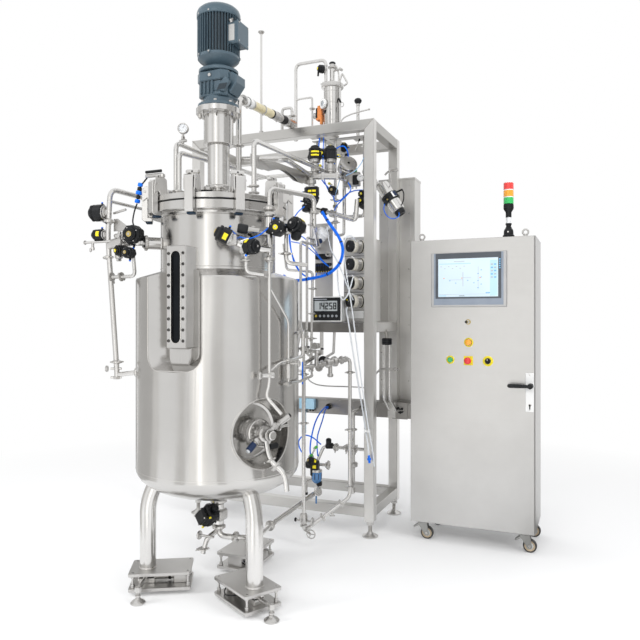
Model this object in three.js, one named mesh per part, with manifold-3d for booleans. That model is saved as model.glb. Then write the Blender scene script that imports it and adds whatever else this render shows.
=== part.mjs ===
// Pilot bioreactor: a jacketed stirred tank on three legs, its piping skid and its control cabinet.
// Millimetres, +Z up. X runs along the skid's front towards the cabinet, Y towards the back.
import * as THREE from "three";
import { mergeVertices } from "three/addons/utils/BufferGeometryUtils.js";
import Module from "manifold-3d";

const wasm = await Module();
wasm.setup();

// ---------------------------------------------------------------- driving dimensions
const gap = 0.3; // between pieces that touch
const turningFit = 1.2; // between a turning stem and its hole
const thinPipe = 13; // pipes below this radius have six sides, the rest eight
const vesselSides = 28; // facets round the tank, its lid and its cladding

// Vessel, around its own vertical axis
const vesselX = -490;
const vesselY = -920;
const tankRadius = 275;
const tankWall = 6;
const tankDish = 100; // depth of the dished bottom
const tankKnuckle = 620; // height where the dish meets the wall
const flangeRadius = 332;
const flangeBottom = 1785;
const flangeThickness = 42;
const gasketThickness = 4.4;
const lidFlangeThickness = 26;
const lidDome = 62; // rise of the dome over the lid flange
const lidWall = 6;
const jacketRadius = 390;
const jacketWall = 5;
const jacketDish = 152;
const jacketKnuckle = 597;
const jacketTop = 1490;
const shoulderRise = 34;
const windowRecessWidth = 305;
const windowRecessFloor = 190; // width of the recess where it meets the tank
const windowRecessBottom = 1066;
const portAngle = -27;
const portHeight = 790;
const portDishRadius = 160;
const portDishFloor = 128;
const portNozzleRadius = 45;
const portNozzleReach = 55;
const outletTop = 412;
const outletRadius = 26;
const outletWall = 6;
const lipReach = 14; // how far a clamp lip stands out from its pipe
const nozzles = [
  { angle: 225, height: 1654, radius: 28, reach: 60 },
  { angle: -54, height: 1660, radius: 22, reach: 55 },
  { angle: -30, height: 1600, radius: 20, reach: 60 },
]; // on the tank's neck, under its flange
const lidStub = 22;
const lidStubWall = 10;
const ventRadius = 12;
const exhaustRadius = 15;
const lidPorts = [
  { x: -250, y: 0, radius: ventRadius },
  { x: -210, y: -30, radius: ventRadius },
  { x: 196, y: 0, radius: ventRadius },
  { x: -15, y: 220, radius: exhaustRadius },
  { x: 120, y: 170, radius: 30 },
  { x: -120, y: -170, radius: 26 },
  { x: 110, y: -180, radius: 20 },
]; // from the vessel's axis; the last three are blanked off
const clampCount = 10;
const firstClampAngle = -43;
const clampWidth = 40;
const clampReach = 32; // how far the clamps stand out from the flange
const clampRise = 80; // over the lid flange

// Sight glass on the vessel's front
const sightWidth = 100;
const sightBottom = 1168;
const sightTop = 1621;
const sightReach = 78;
const slotWidth = 47;
const slotMargin = 24;
const glassThickness = 6;
const glassLip = 4;

// Drive
const collarRadius = 61;
const collarHeight = 24;
const stoolRadius = 53;
const stoolHeight = 200;
const lanternRadius = 71.5;
const lanternHeight = 146;
const stoolFlangeRadius = 108;
const stoolFlangeThickness = 30;
const stoolBore = 32;
const gearHeight = 169;
const gearWidth = 160;
const gearDepth = 150;
const bellHeight = 81;
const motorRadius = 100;
const motorHeight = 185;
const finCount = 12;
const finDepth = 8;
const fanCoverHeight = 56;
const shaftRadius = 17;
const shaftBottom = 640;
const impellerRadius = 92;
const bladeHeight = 36;
const lowerImpellerHeight = 720;
const upperImpellerHeight = 1100;

// Legs and weigh modules
const legRadius = 38;
const legCircle = 337;
const legAngles = [90, 210, 330];
const legBendHeight = 400;
const plateLength = 290;
const plateWidth = 190;
const plateThickness = 15;
const plateCentre = 272; // from the vessel axis
const lowerPlateBottom = 20;
const cellHeight = 55;
const footRadius = 34;
const footStem = 9;
const footPlaces = [
  [477, 0],
  [359, 165],
  [477, 0],
]; // along and across each leg's own radius

// Pipework between the vessel and the skid
const jacketInlet = 1030; // height of the left-hand connection to the jacket
const trainBack = 20; // how far back the left pipes run, into the skid's front
const headerY = -36; // the vent header, just in front of the skid
const trainReach = -60; // where the front train's arch ends, short of the skid's front

// Skid frame of square tube
const skidLength = 1270;
const skidDepth = 557;
const skidHeight = 2485;
const tube = 60;
const bottomRail = 120;
const shelfTop = 1277;
const shelfPlate = 3;
const skidFootRadius = 47;
const crossBarX = -373;
const mastX = -764;
const mastHeight = 655;

// Peristaltic pumps on the shelf
const pumpHeights = [462, 353, 240, 129].map((rise) => shelfTop + rise);
const pumpAngle = -125;
const pumpX = -163;
const pumpY = 42;
const rotorRadius = 36;
const rotorThickness = 24;
const pumpHeadLength = 98;
const spindleRadius = 6;

// Silicone tube that hangs from the lowest pump
const tubeRadius = 5;
const tubeRoute = [
  [-176, 24, 1366],
  [-170, 0, 1352],
  [-160, -16, 1320],
  [-146, -22, 1260],
  [-132, -26, 1180],
  [-114, -28, 1080],
  [-94, -30, 970],
  [-72, -32, 850],
  [-52, -34, 740],
  [-34, -36, 630],
  [-22, -38, 560],
  [-16, -38, 500],
];

// Cable trunking between skid and cabinet
const trunkFront = 380;
const trunkDepth = 90;
const trunkBottom = 660;
const trunkHeight = 100;
const glandHeight = 712;
const riserLeft = -144;
const riserRight = 102;
const riserDepth = 157;
const riserTop = 2239;

// Cabinet
const cabinetX = 202;
const cabinetY = 74;
const cabinetWidth = 700;
const cabinetDepth = 400;
const cabinetHeight = 1650;
const cabinetBottom = 108;
const sheet = 3;
const doorThickness = 25;
const doorMargin = 3;
const panelWidth = 425;
const panelHeight = 312;
const panelLeft = 127;
const panelBottom = 1366;
const panelReach = 8;
const stemRadius = 8; // of the door's buttons and switches
const buttonTravel = 6;
const controls = [
  { name: "key_switch", across: 338, height: 1281, radius: 11, reach: 26, look: () => steel() },
  { name: "lamp_button", across: 341, height: 1165, radius: 18, reach: 30, look: () => plain(0xf2a11b) },
  { name: "start_button", across: 237, height: 1064, radius: 14, reach: 18, look: () => plain(0x1f9d4a) },
  { name: "stop_button", across: 339, height: 1061, radius: 20, reach: 34, look: () => plain(0xd3202b) },
  { name: "selector_switch", across: 448, height: 1061, radius: 15, reach: 28, look: () => black() },
]; // across is from the cabinet's left side, reach is out from the door
const leverHeight = 931;
const leverInset = 22; // from the cabinet's right side
const leverLength = 120;
const leverStem = 9;
const leverPlateReach = 8;
const wheelRadius = 37.5;
const wheelWidth = 26;
const casterInset = 60;
const casterTrail = 28;
const towerInset = 147; // from the cabinet's right side
const towerRadius = 28;
const towerHeight = 310;

// ---------------------------------------------------------------- derived heights
const flangeTop = flangeBottom + flangeThickness;
const lidBottom = flangeTop + gasketThickness + 2 * gap;
const lidRim = lidBottom + lidFlangeThickness;
const lidTop = lidRim + lidDome;
const collarTop = lidTop + collarHeight;
const stoolBottom = collarTop + gap;
const stoolTop = stoolBottom + stoolHeight + lanternHeight + stoolFlangeThickness;
const gearBottom = stoolTop + gap;
const gearTop = gearBottom + gearHeight;
const motorBottom = gearTop + gap;
const jacketNeck = tankRadius + gap;
const upperPlateBottom = lowerPlateBottom + plateThickness + cellHeight;
const legBottom = upperPlateBottom + plateThickness;
const shelfSurface = shelfTop + shelfPlate + gap;
const cabinetTop = cabinetBottom + cabinetHeight;
const leverX = cabinetX + cabinetWidth - leverInset;
const caseFront = cabinetY + doorThickness + gap;

// ---------------------------------------------------------------- shape helpers
const V = (x, y, z) => new THREE.Vector3(x, y, z);
const radians = (degrees) => (degrees * Math.PI) / 180;

// A closed three.js geometry as a solid that can be cut and joined.
function solid(geometry) {
  const bare = geometry.clone();
  bare.deleteAttribute("normal");
  bare.deleteAttribute("uv");
  const merged = mergeVertices(bare, 1e-3);
  const corners = merged.index.array;
  const triangles = [];
  for (let i = 0; i < corners.length; i += 3) {
    const [a, b, c] = corners.slice(i, i + 3);
    if (a !== b && b !== c && c !== a) triangles.push(a, b, c);
  }
  const mesh = new wasm.Mesh({
    numProp: 3,
    vertProperties: merged.attributes.position.array,
    triVerts: new Uint32Array(triangles),
  });
  return new wasm.Manifold(mesh);
}

const join = (parts) => parts.reduce((whole, part) => whole.add(part));
const cut = (body, tools) => tools.reduce((rest, tool) => rest.subtract(tool), body);

function block(x0, x1, y0, y1, z0, z1) {
  const box = new THREE.BoxGeometry(x1 - x0, y1 - y0, z1 - z0);
  return solid(box.translate((x0 + x1) / 2, (y0 + y1) / 2, (z0 + z1) / 2));
}

// A round bar or cone from one point to another.
function rod(from, to, radius, sides = 8, endRadius = radius) {
  const axis = to.clone().sub(from);
  const bar = new THREE.CylinderGeometry(endRadius, radius, axis.length(), sides);
  bar.applyQuaternion(new THREE.Quaternion().setFromUnitVectors(V(0, 1, 0), axis.normalize()));
  return solid(bar.translate(...from.clone().add(to).multiplyScalar(0.5)));
}

// A profile of [radius, height] pairs turned about a vertical axis; open profiles start and end on it.
function revolve(profile, sides = 24, x = 0, y = 0) {
  const points = profile.map(([radius, height]) => new THREE.Vector2(radius, height));
  const onAxis = profile[0][0] === 0 && profile.at(-1)[0] === 0;
  if (!onAxis) points.push(points[0].clone());
  const turned = new THREE.LatheGeometry(points, sides).rotateX(Math.PI / 2);
  return solid(turned.translate(x, y, 0));
}

// A flat outline of [x, y] pairs raised along Z.
function raise(outline, bottom, top) {
  const shape = new THREE.Shape(outline.map(([x, y]) => new THREE.Vector2(x, y)));
  const body = new THREE.ExtrudeGeometry(shape, { depth: top - bottom, bevelEnabled: false });
  return body.translate(0, 0, bottom);
}

// A centre line with its corners already rounded; every point of it carries one section of the tube.
class Route extends THREE.Curve {
  constructor(points) {
    super();
    this.points = points;
  }
  getPointAt(u, target = new THREE.Vector3()) {
    const s = u * (this.points.length - 1);
    const i = Math.min(Math.floor(s + 1e-6), this.points.length - 2);
    return target.lerpVectors(this.points[i], this.points[i + 1], s - i);
  }
  getTangentAt(u, target = new THREE.Vector3()) {
    const i = Math.round(u * (this.points.length - 1));
    target.set(0, 0, 0);
    for (const k of [i - 1, i]) {
      if (k < 0 || k + 1 >= this.points.length) continue;
      target.add(this.points[k + 1].clone().sub(this.points[k]).normalize());
    }
    return target.normalize();
  }
}

function tubeAlong(points, radius, sides) {
  const section = [];
  for (let i = 0; i < sides; i++) {
    const turn = (2 * Math.PI * i) / sides;
    section.push(new THREE.Vector2(radius * Math.cos(turn), radius * Math.sin(turn)));
  }
  const options = { steps: points.length - 1, extrudePath: new Route(points) };
  return solid(new THREE.ExtrudeGeometry(new THREE.Shape(section), options));
}

// A pipe through the given corners, each corner swept with a bend.
function pipe(corners, radius, bend = 3 * radius, sides = radius < thinPipe ? 6 : 8) {
  const route = [corners[0]];
  for (let i = 1; i < corners.length - 1; i++) {
    const back = corners[i - 1].clone().sub(corners[i]);
    const ahead = corners[i + 1].clone().sub(corners[i]);
    const sweep = Math.min(bend, 0.45 * back.length(), 0.45 * ahead.length());
    const steps = back.angleTo(ahead) > radians(130) ? 1 : 2;
    const start = corners[i].clone().addScaledVector(back.normalize(), sweep);
    const end = corners[i].clone().addScaledVector(ahead.normalize(), sweep);
    route.push(...new THREE.QuadraticBezierCurve3(start, corners[i], end).getPoints(steps));
  }
  route.push(corners.at(-1));
  return tubeAlong(route, radius, sides);
}

// A hygienic clamp: a short disc round a pipe.
function ferrule(at, direction, radius, width = 16) {
  const half = direction.clone().normalize().multiplyScalar(width / 2);
  return rod(at.clone().sub(half), at.clone().add(half), radius + lipReach);
}

// A pneumatic valve head: bonnet and drum in a row.
function valveHead(at, direction, radius, length, bonnet = 40) {
  const along = (distance) => at.clone().addScaledVector(direction.clone().normalize(), distance);
  return join([
    rod(at, along(bonnet + 2), radius * 0.45, 6),
    rod(along(bonnet), along(bonnet + length + 10), radius),
  ]);
}

// Points on a dished end, from the given radius out to the wall.
function dish(radius, depth, knuckle, from = 0) {
  const start = Math.asin(from / radius);
  const steps = 4;
  const points = [];
  for (let i = 0; i <= steps; i++) {
    const turn = start + ((Math.PI / 2 - start) * i) / steps;
    points.push([radius * Math.sin(turn), knuckle - depth * Math.cos(turn)]);
  }
  return points;
}

// A point at a height, so many degrees round a vertical axis.
function around(radius, degrees, height, x = vesselX, y = vesselY) {
  return V(x + radius * Math.cos(radians(degrees)), y + radius * Math.sin(radians(degrees)), height);
}

// ---------------------------------------------------------------- the group and its materials
const root = new THREE.Group();

const steel = () => new THREE.MeshStandardMaterial({ color: 0xc9c8c5, roughness: 0.3, metalness: 1 });
const polished = () => new THREE.MeshStandardMaterial({ color: 0xd8d7d4, roughness: 0.15, metalness: 1 });
const darkPaint = () => new THREE.MeshStandardMaterial({ color: 0x62727f, roughness: 0.5, metalness: 0.2 });
const black = () => new THREE.MeshStandardMaterial({ color: 0x17181a, roughness: 0.5, metalness: 0 });
const cream = () => new THREE.MeshStandardMaterial({ color: 0xe8e6df, roughness: 0.4, metalness: 0.1 });
const rubber = () => new THREE.MeshStandardMaterial({ color: 0x1d1d1f, roughness: 0.8, metalness: 0 });
const plain = (color) => new THREE.MeshStandardMaterial({ color, roughness: 0.4, metalness: 0 });

// Adds one named piece to the group.
function add(name, body, material) {
  const { vertProperties, triVerts } = body.getMesh();
  const geometry = new THREE.BufferGeometry();
  geometry.setAttribute("position", new THREE.BufferAttribute(vertProperties, 3));
  geometry.setIndex(new THREE.BufferAttribute(triVerts, 1));
  geometry.computeVertexNormals();
  const mesh = new THREE.Mesh(geometry, material);
  mesh.name = name;
  root.add(mesh);
}

// ---------------------------------------------------------------- vessel
function slotOutline(width, bottom, top) {
  const half = width / 2;
  const points = [];
  for (let i = 0; i <= 5; i++) {
    const turn = (Math.PI * i) / 5;
    points.push([half * Math.cos(turn), top - half + half * Math.sin(turn)]);
  }
  for (let i = 0; i <= 5; i++) {
    const turn = Math.PI + (Math.PI * i) / 5;
    points.push([half * Math.cos(turn), bottom + half + half * Math.sin(turn)]);
  }
  return points;
}

// A slot seen from the front, cut from one depth of the vessel to another.
function slot(width, bottom, top, front, back) {
  const body = raise(slotOutline(width, bottom, top), -back, -front);
  return solid(body.rotateX(Math.PI / 2).translate(vesselX, vesselY, 0));
}

function tankShell() {
  const bore = tankRadius - tankWall;
  const wall = revolve(
    [
      ...dish(tankRadius, tankDish, tankKnuckle),
      [tankRadius, flangeBottom],
      [flangeRadius, flangeBottom],
      [flangeRadius, flangeTop],
      [bore, flangeTop],
      ...dish(bore, tankDish - tankWall, tankKnuckle).reverse(),
    ],
    vesselSides,
    vesselX,
    vesselY,
  );
  const floor = tankKnuckle - tankDish;
  const outlet = rod(V(vesselX, vesselY, outletTop), V(vesselX, vesselY, floor + 4), outletRadius, 12);
  const lipTop = V(vesselX, vesselY, outletTop + 8);
  const outletLip = rod(V(vesselX, vesselY, outletTop), lipTop, outletRadius + lipReach, 12);
  const portEnd = tankRadius + portNozzleReach;
  const port = rod(
    around(bore + 1, portAngle, portHeight),
    around(portEnd, portAngle, portHeight),
    portNozzleRadius,
    12,
  );
  const stubs = nozzles.map(({ angle, height, radius, reach }) =>
    rod(around(bore + 1, angle, height), around(tankRadius + reach, angle, height), radius),
  );
  const bores = [
    rod(V(vesselX, vesselY, outletTop - 1), V(vesselX, vesselY, floor + 30), outletRadius - outletWall, 12),
    rod(
      around(bore - 20, portAngle, portHeight),
      around(portEnd + 1, portAngle, portHeight),
      portNozzleRadius - 8,
      12,
    ),
    slot(slotWidth, sightBottom + slotMargin, sightTop - slotMargin, -tankRadius - 20, -tankRadius + 40),
  ];
  return cut(join([wall, outlet, outletLip, port, ...stubs]), bores);
}

// The sight glass recess: a tapered pocket with a rounded foot, open at the shoulder.
function windowRecess(grow) {
  const face = jacketRadius + 20;
  const outer = windowRecessWidth / 2 + grow;
  const inner = windowRecessFloor / 2 + grow;
  const plan = raise(
    [
      [-outer - 8, -face],
      [outer + 8, -face],
      [inner, -tankRadius + 30],
      [-inner, -tankRadius + 30],
    ],
    windowRecessBottom - grow - 10,
    jacketTop + 200,
  );
  const corner = 70;
  const front = [];
  for (const [side, from] of [
    [-1, Math.PI],
    [1, 1.5 * Math.PI],
  ]) {
    for (let i = 0; i <= 3; i++) {
      const turn = from + (Math.PI / 6) * i;
      front.push([
        side * (outer - corner) + corner * Math.cos(turn),
        windowRecessBottom - grow + corner + corner * Math.sin(turn),
      ]);
    }
  }
  front.push([outer, jacketTop + 190], [-outer, jacketTop + 190]);
  const view = raise(front, tankRadius - 40, face + 10).rotateX(Math.PI / 2);
  return solid(plan.translate(vesselX, vesselY, 0)).intersect(solid(view.translate(vesselX, vesselY, 0)));
}

function portDish(grow) {
  return rod(
    around(tankRadius + 1 - grow, portAngle, portHeight),
    around(jacketRadius + 60, portAngle, portHeight),
    portDishFloor + grow,
    24,
    portDishRadius + 12 + grow,
  );
}

function jacketBody(inset) {
  const radius = jacketRadius - inset;
  return revolve(
    [
      ...dish(radius, jacketDish - inset, jacketKnuckle),
      [radius, jacketTop - inset],
      [tankRadius - 20, jacketTop + shoulderRise - inset],
      [0, jacketTop + shoulderRise - inset],
    ],
    vesselSides,
    vesselX,
    vesselY,
  );
}

function jacketCladding() {
  const outside = cut(jacketBody(0), [windowRecess(0), portDish(0)]);
  const inside = cut(jacketBody(jacketWall), [windowRecess(jacketWall), portDish(jacketWall)]);
  const neck = rod(
    V(vesselX, vesselY, tankKnuckle),
    V(vesselX, vesselY, flangeBottom),
    jacketNeck,
    vesselSides,
  );
  const drain = rod(V(vesselX, vesselY, 300), V(vesselX, vesselY, tankKnuckle), outletRadius + 10, 16);
  const port = rod(
    around(tankRadius - 20, portAngle, portHeight),
    around(tankRadius + portNozzleReach, portAngle, portHeight),
    portNozzleRadius + gap,
    12,
  );
  return cut(outside, [inside, neck, drain, port]);
}

// One swing clamp: a C-shaped claw round both flanges with a T-screw on top.
function lidClamp(angle) {
  const out = flangeRadius + clampReach;
  const web = flangeRadius + 4;
  const top = lidRim + clampRise;
  const claw = [
    [flangeRadius - 16, flangeBottom - 18],
    [out, flangeBottom - 18],
    [out, top - 13],
    [out - 14, top],
    [flangeRadius - 32, top],
    [flangeRadius - 40, top - 12],
    [flangeRadius - 40, lidRim - 6],
    [flangeRadius - 14, lidRim - 6],
    [flangeRadius - 14, lidRim + 37],
    [web, lidRim + 37],
    [web, flangeBottom - gap],
    [flangeRadius - 16, flangeBottom - gap],
  ];
  const body = raise(claw, -clampWidth / 2, clampWidth / 2).rotateX(Math.PI / 2);
  const screwX = flangeRadius - 18;
  const handle = block(screwX - 9, screwX + 9, -34, 34, top - 1, top + 20);
  const whole = solid(body).add(handle);
  return whole.rotate([0, 0, angle]).translate([vesselX, vesselY, 0]);
}

// Height of the lid's dome at a distance from the axis.
function domeHeight(radius) {
  const reach = tankRadius;
  return lidRim + lidDome * Math.cos((Math.PI / 2) * Math.min(radius / reach, 1));
}

function vesselLid() {
  const steps = [0.85, 0.6, 0.3];
  const dome = steps.map((share) => [tankRadius * share, domeHeight(tankRadius * share)]);
  const under = dome.map(([radius, height]) => [radius, height - lidWall]).reverse();
  const shell = revolve(
    [
      [tankRadius, lidBottom],
      [flangeRadius, lidBottom],
      [flangeRadius, lidRim],
      [tankRadius - 4, lidRim],
      ...dome,
      [collarRadius, lidTop - 3],
      [collarRadius, collarTop],
      [stoolBore, collarTop],
      [stoolBore, lidTop - 3 - lidWall],
      ...under,
      [tankRadius - tankWall, lidRim - lidWall],
    ],
    vesselSides,
    vesselX,
    vesselY,
  );
  const stubs = lidPorts.map(({ x, y, radius }) => {
    const height = domeHeight(Math.hypot(x, y));
    const foot = V(vesselX + x, vesselY + y, height - lidWall);
    const head = V(vesselX + x, vesselY + y, height + lidStub);
    return rod(foot, head, radius + lidStubWall);
  });
  const clamps = [];
  for (let i = 0; i < clampCount; i++) clamps.push(lidClamp(firstClampAngle + (360 / clampCount) * i));
  return join([shell, ...stubs, ...clamps]);
}

function lidGasket() {
  const bottom = flangeTop + gap;
  const inner = tankRadius - tankWall + 2;
  const outer = flangeRadius - 2;
  return revolve(
    [
      [inner, bottom],
      [outer, bottom],
      [outer, bottom + gasketThickness],
      [inner, bottom + gasketThickness],
    ],
    vesselSides,
    vesselX,
    vesselY,
  );
}

add("tank_shell", tankShell(), polished());
add("jacket_cladding", jacketCladding(), polished());
add("vessel_lid", vesselLid(), polished());
add("lid_gasket", lidGasket(), rubber());

// ---------------------------------------------------------------- sight glass
function sightFrame() {
  const back = -tankRadius + 30;
  const front = -tankRadius - sightReach;
  const body = block(
    vesselX - sightWidth / 2,
    vesselX + sightWidth / 2,
    vesselY + front,
    vesselY + back,
    sightBottom,
    sightTop,
  );
  const wall = rod(
    V(vesselX, vesselY, sightBottom - 1),
    V(vesselX, vesselY, sightTop + 1),
    jacketNeck,
    vesselSides,
  );
  const low = sightBottom + slotMargin;
  const high = sightTop - slotMargin;
  const opening = slot(slotWidth, low, high, front - 1, back + 1);
  const pocket = slot(slotWidth + 2 * glassLip, low - glassLip, high + glassLip, front + 8, back + 1);
  return cut(body, [wall, opening, pocket]);
}

function sightGlass() {
  const front = -tankRadius - sightReach + 8 + gap;
  const side = glassLip - gap;
  return slot(
    slotWidth + 2 * side,
    sightBottom + slotMargin - side,
    sightTop - slotMargin + side,
    front,
    front + glassThickness,
  );
}

add("sight_frame", sightFrame(), steel());
add("sight_glass", sightGlass(), plain(0x101214));

// ---------------------------------------------------------------- drive
function driveStool() {
  const waist = stoolBottom + stoolHeight;
  const flange = waist + lanternHeight;
  return revolve(
    [
      [stoolRadius, stoolBottom],
      [stoolRadius, waist],
      [lanternRadius, waist],
      [lanternRadius, flange],
      [stoolFlangeRadius, flange],
      [stoolFlangeRadius, stoolTop],
      [stoolBore, stoolTop],
      [stoolBore, stoolBottom],
    ],
    20,
    vesselX,
    vesselY,
  );
}

// A three-stage helical gearbox: bolting flange, ribbed case and an offset housing at one side.
function gearbox() {
  const base = gearBottom + 30;
  const halfWidth = gearWidth / 2;
  const halfDepth = gearDepth / 2;
  const flange = rod(V(vesselX, vesselY, gearBottom), V(vesselX, vesselY, base + 2), 100, 16);
  const throat = rod(V(vesselX, vesselY, base), V(vesselX, vesselY, base + 40), 80, 12);
  const body = block(
    vesselX - halfWidth,
    vesselX + halfWidth,
    vesselY - halfDepth,
    vesselY + halfDepth,
    base + 20,
    gearTop,
  );
  const ribs = [-0.6, -0.2, 0.2, 0.6].map((share) =>
    block(
      vesselX + share * halfWidth - 4,
      vesselX + share * halfWidth + 4,
      vesselY - halfDepth - 10,
      vesselY - halfDepth + 2,
      base + 24,
      gearTop - 12,
    ),
  );
  const wedge = [
    [vesselX + halfWidth - 4, base + 50],
    [vesselX + halfWidth + 44, base + 78],
    [vesselX + halfWidth + 44, gearTop - 22],
    [vesselX + halfWidth - 4, gearTop - 6],
  ];
  const side = solid(raise(wedge, -45, 45).rotateX(Math.PI / 2).translate(0, vesselY, 0));
  const socketTop = V(vesselX, vesselY, gearBottom + 26);
  const socket = rod(V(vesselX, vesselY, gearBottom - 1), socketTop, shaftRadius + 6, 12);
  return cut(join([flange, throat, body, side, ...ribs]), [socket]);
}

// Bell, finned barrel with terminal box, and the domed fan cover.
function motor() {
  const barrelBottom = motorBottom + bellHeight;
  const barrelTop = barrelBottom + motorHeight;
  const body = revolve(
    [
      [0, motorBottom],
      [96, motorBottom],
      [96, motorBottom + 16],
      [72, motorBottom + 34],
      [72, barrelBottom - 18],
      [motorRadius, barrelBottom - 6],
      [motorRadius - finDepth, barrelBottom],
      [motorRadius - finDepth, barrelTop],
      [motorRadius + 6, barrelTop],
      [motorRadius + 6, barrelTop + fanCoverHeight * 0.5],
      [motorRadius - 22, barrelTop + fanCoverHeight * 0.9],
      [40, barrelTop + fanCoverHeight],
      [0, barrelTop + fanCoverHeight],
    ],
    18,
    vesselX,
    vesselY,
  );
  const fins = [];
  for (let i = 0; i < finCount; i++) {
    const finRoot = motorRadius - finDepth - 4;
    const fin = block(finRoot, motorRadius + 6, -2.5, 2.5, barrelBottom - 4, barrelTop + 2);
    fins.push(fin.rotate([0, 0, (360 / finCount) * i]).translate([vesselX, vesselY, 0]));
  }
  const boxMiddle = barrelBottom + motorHeight * 0.5;
  const terminalBox = block(
    vesselX + motorRadius * 0.5,
    vesselX + motorRadius + 38,
    vesselY - 50,
    vesselY + 50,
    boxMiddle - 52,
    boxMiddle + 52,
  );
  return join([body, terminalBox, ...fins]);
}

function agitatorShaft() {
  return rod(V(vesselX, vesselY, shaftBottom), V(vesselX, vesselY, gearBottom + 24), shaftRadius, 10);
}

// A disc turbine: hub, disc and six upright blades.
function impeller(height) {
  const hub = rod(V(vesselX, vesselY, height - 30), V(vesselX, vesselY, height + 30), shaftRadius + 12, 8);
  const discRadius = impellerRadius * 0.72;
  const disc = rod(V(vesselX, vesselY, height - 3), V(vesselX, vesselY, height + 3), discRadius, 10);
  const blades = [];
  for (let i = 0; i < 6; i++) {
    const blade = block(
      impellerRadius * 0.45,
      impellerRadius,
      -2,
      2,
      height - bladeHeight / 2,
      height + bladeHeight / 2,
    );
    blades.push(blade.rotate([0, 0, 60 * i]).translate([vesselX, vesselY, 0]));
  }
  const onAxis = (rise) => V(vesselX, vesselY, height + rise);
  const bore = rod(onAxis(-40), onAxis(40), shaftRadius + gap, 10);
  return cut(join([hub, disc, ...blades]), [bore]);
}

add("drive_stool", driveStool(), polished());
add("gearbox", gearbox(), darkPaint());
add("motor", motor(), darkPaint());
add("agitator_shaft", agitatorShaft(), steel());
add("impeller_lower", impeller(lowerImpellerHeight), steel());
add("impeller_upper", impeller(upperImpellerHeight), steel());

// ---------------------------------------------------------------- legs and weigh modules
function leg(angle) {
  const post = pipe(
    [V(legCircle, 0, legBottom - 2), V(legCircle, 0, legBendHeight + 60), V(legCircle - 130, 0, 620)],
    legRadius,
    90,
    12,
  );
  const plate = block(
    plateCentre - plateLength / 2,
    plateCentre + plateLength / 2,
    -plateWidth / 2,
    plateWidth / 2,
    upperPlateBottom + gap,
    legBottom,
  );
  const standing = join([post, plate]).rotate([0, 0, angle]).translate([vesselX, vesselY, 0]);
  return cut(standing, [jacketBody(-gap)]);
}

// Lower plate, load cell, spacer, bolts and a levelling foot.
function weighModule(angle, [footAlong, footAcross]) {
  const low = lowerPlateBottom;
  const top = low + plateThickness;
  const inner = plateCentre - plateLength / 2;
  const outer = plateCentre + plateLength / 2;
  const half = plateWidth / 2;
  const plate = block(inner, outer, -half, half, low, top);
  const cell = block(outer - 117, outer - 37, -30, 30, top - 1, upperPlateBottom);
  const spacer = block(inner + 25, inner + 85, -40, 40, top - 1, upperPlateBottom);
  const armZ = top + cellHeight / 2;
  const arm = rod(V(outer - 77, 0, armZ), V(footAlong, footAcross, armZ), 11, 8);
  const foot = revolve(
    [
      [0, 0],
      [footRadius, 0],
      [footRadius, 8],
      [footStem + 4, 22],
      [footStem, 30],
      [footStem, armZ + 14],
      [0, armZ + 14],
    ],
    12,
    footAlong,
    footAcross,
  );
  const bolts = [
    [outer - 20, half - 20],
    [outer - 20, 20 - half],
    [inner + 16, half - 20],
    [inner + 16, 20 - half],
  ].map(([x, y]) => block(x - 6, x + 6, y - 6, y + 6, top - 1, upperPlateBottom));
  const whole = join([plate, cell, spacer, arm, foot, ...bolts]);
  return whole.rotate([0, 0, angle]).translate([vesselX, vesselY, 0]);
}

legAngles.forEach((angle, i) => {
  add(`leg_${i + 1}`, leg(angle), polished());
  add(`weigh_module_${i + 1}`, weighModule(angle, footPlaces[i]), steel());
});

// ---------------------------------------------------------------- bottom outlet valve and its drain
function outletValve() {
  const top = outletTop - gap;
  const body = rod(V(vesselX, vesselY, top - 110), V(vesselX, vesselY, top), outletRadius, 12);
  const lip = rod(V(vesselX, vesselY, top - 12), V(vesselX, vesselY, top), outletRadius + lipReach, 12);
  const elbowZ = 240;
  const low = V(vesselX + 60, vesselY + 428, elbowZ - 70);
  const run = pipe(
    [
      V(vesselX, vesselY, top - 100),
      V(vesselX, vesselY, elbowZ),
      V(vesselX + 90, vesselY + 10, elbowZ),
      V(vesselX + 170, vesselY + 60, elbowZ - 10),
      low,
      V(-330, -130, elbowZ + 22),
    ],
    14,
  );
  const head = valveHead(V(vesselX, vesselY, top - 60), V(-0.35, -1, 0.05), 52, 85, 30);
  const tail = pipe(
    [
      V(vesselX, vesselY, elbowZ + 30),
      V(vesselX - 30, vesselY - 60, elbowZ),
      V(vesselX - 45, vesselY - 70, elbowZ - 70),
    ],
    12,
  );
  return join([
    body,
    lip,
    run,
    head,
    tail,
    ferrule(V(vesselX + 90, vesselY + 10, elbowZ), V(1, 0, 0), 14),
    ferrule(low, V(0, 1, 0), 14),
  ]);
}

// Sample valve and sensors on the side port.
function portValve() {
  const face = tankRadius + portNozzleReach + gap;
  const port = (reach, height = portHeight) => around(reach, portAngle, height);
  const cap = rod(port(face), port(face + 26), portNozzleRadius + 16, 12);
  const body = rod(port(face + 20), port(face + 90), 24);
  const head = rod(port(face + 70), port(face + 125), 34);
  const drainTop = port(face + 56);
  const drain = pipe(
    [
      drainTop,
      V(drainTop.x + 22, drainTop.y + 8, portHeight - 120),
      V(drainTop.x + 101, drainTop.y + 5, portHeight - 170),
      V(drainTop.x + 106, drainTop.y + 10, portHeight - 245),
    ],
    12,
    30,
  );
  const probeEnd = around(face + 60, portAngle - 12, portHeight - 66);
  const probe = rod(port(face + 40, portHeight - 4), probeEnd, 15);
  const probeUp = rod(port(face + 60, portHeight), around(face + 110, portAngle + 14, portHeight + 74), 17);
  return join([cap, body, head, drain, probe, probeUp]);
}

add("outlet_valve", outletValve(), steel());
add("port_valve", portValve(), steel());

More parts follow.
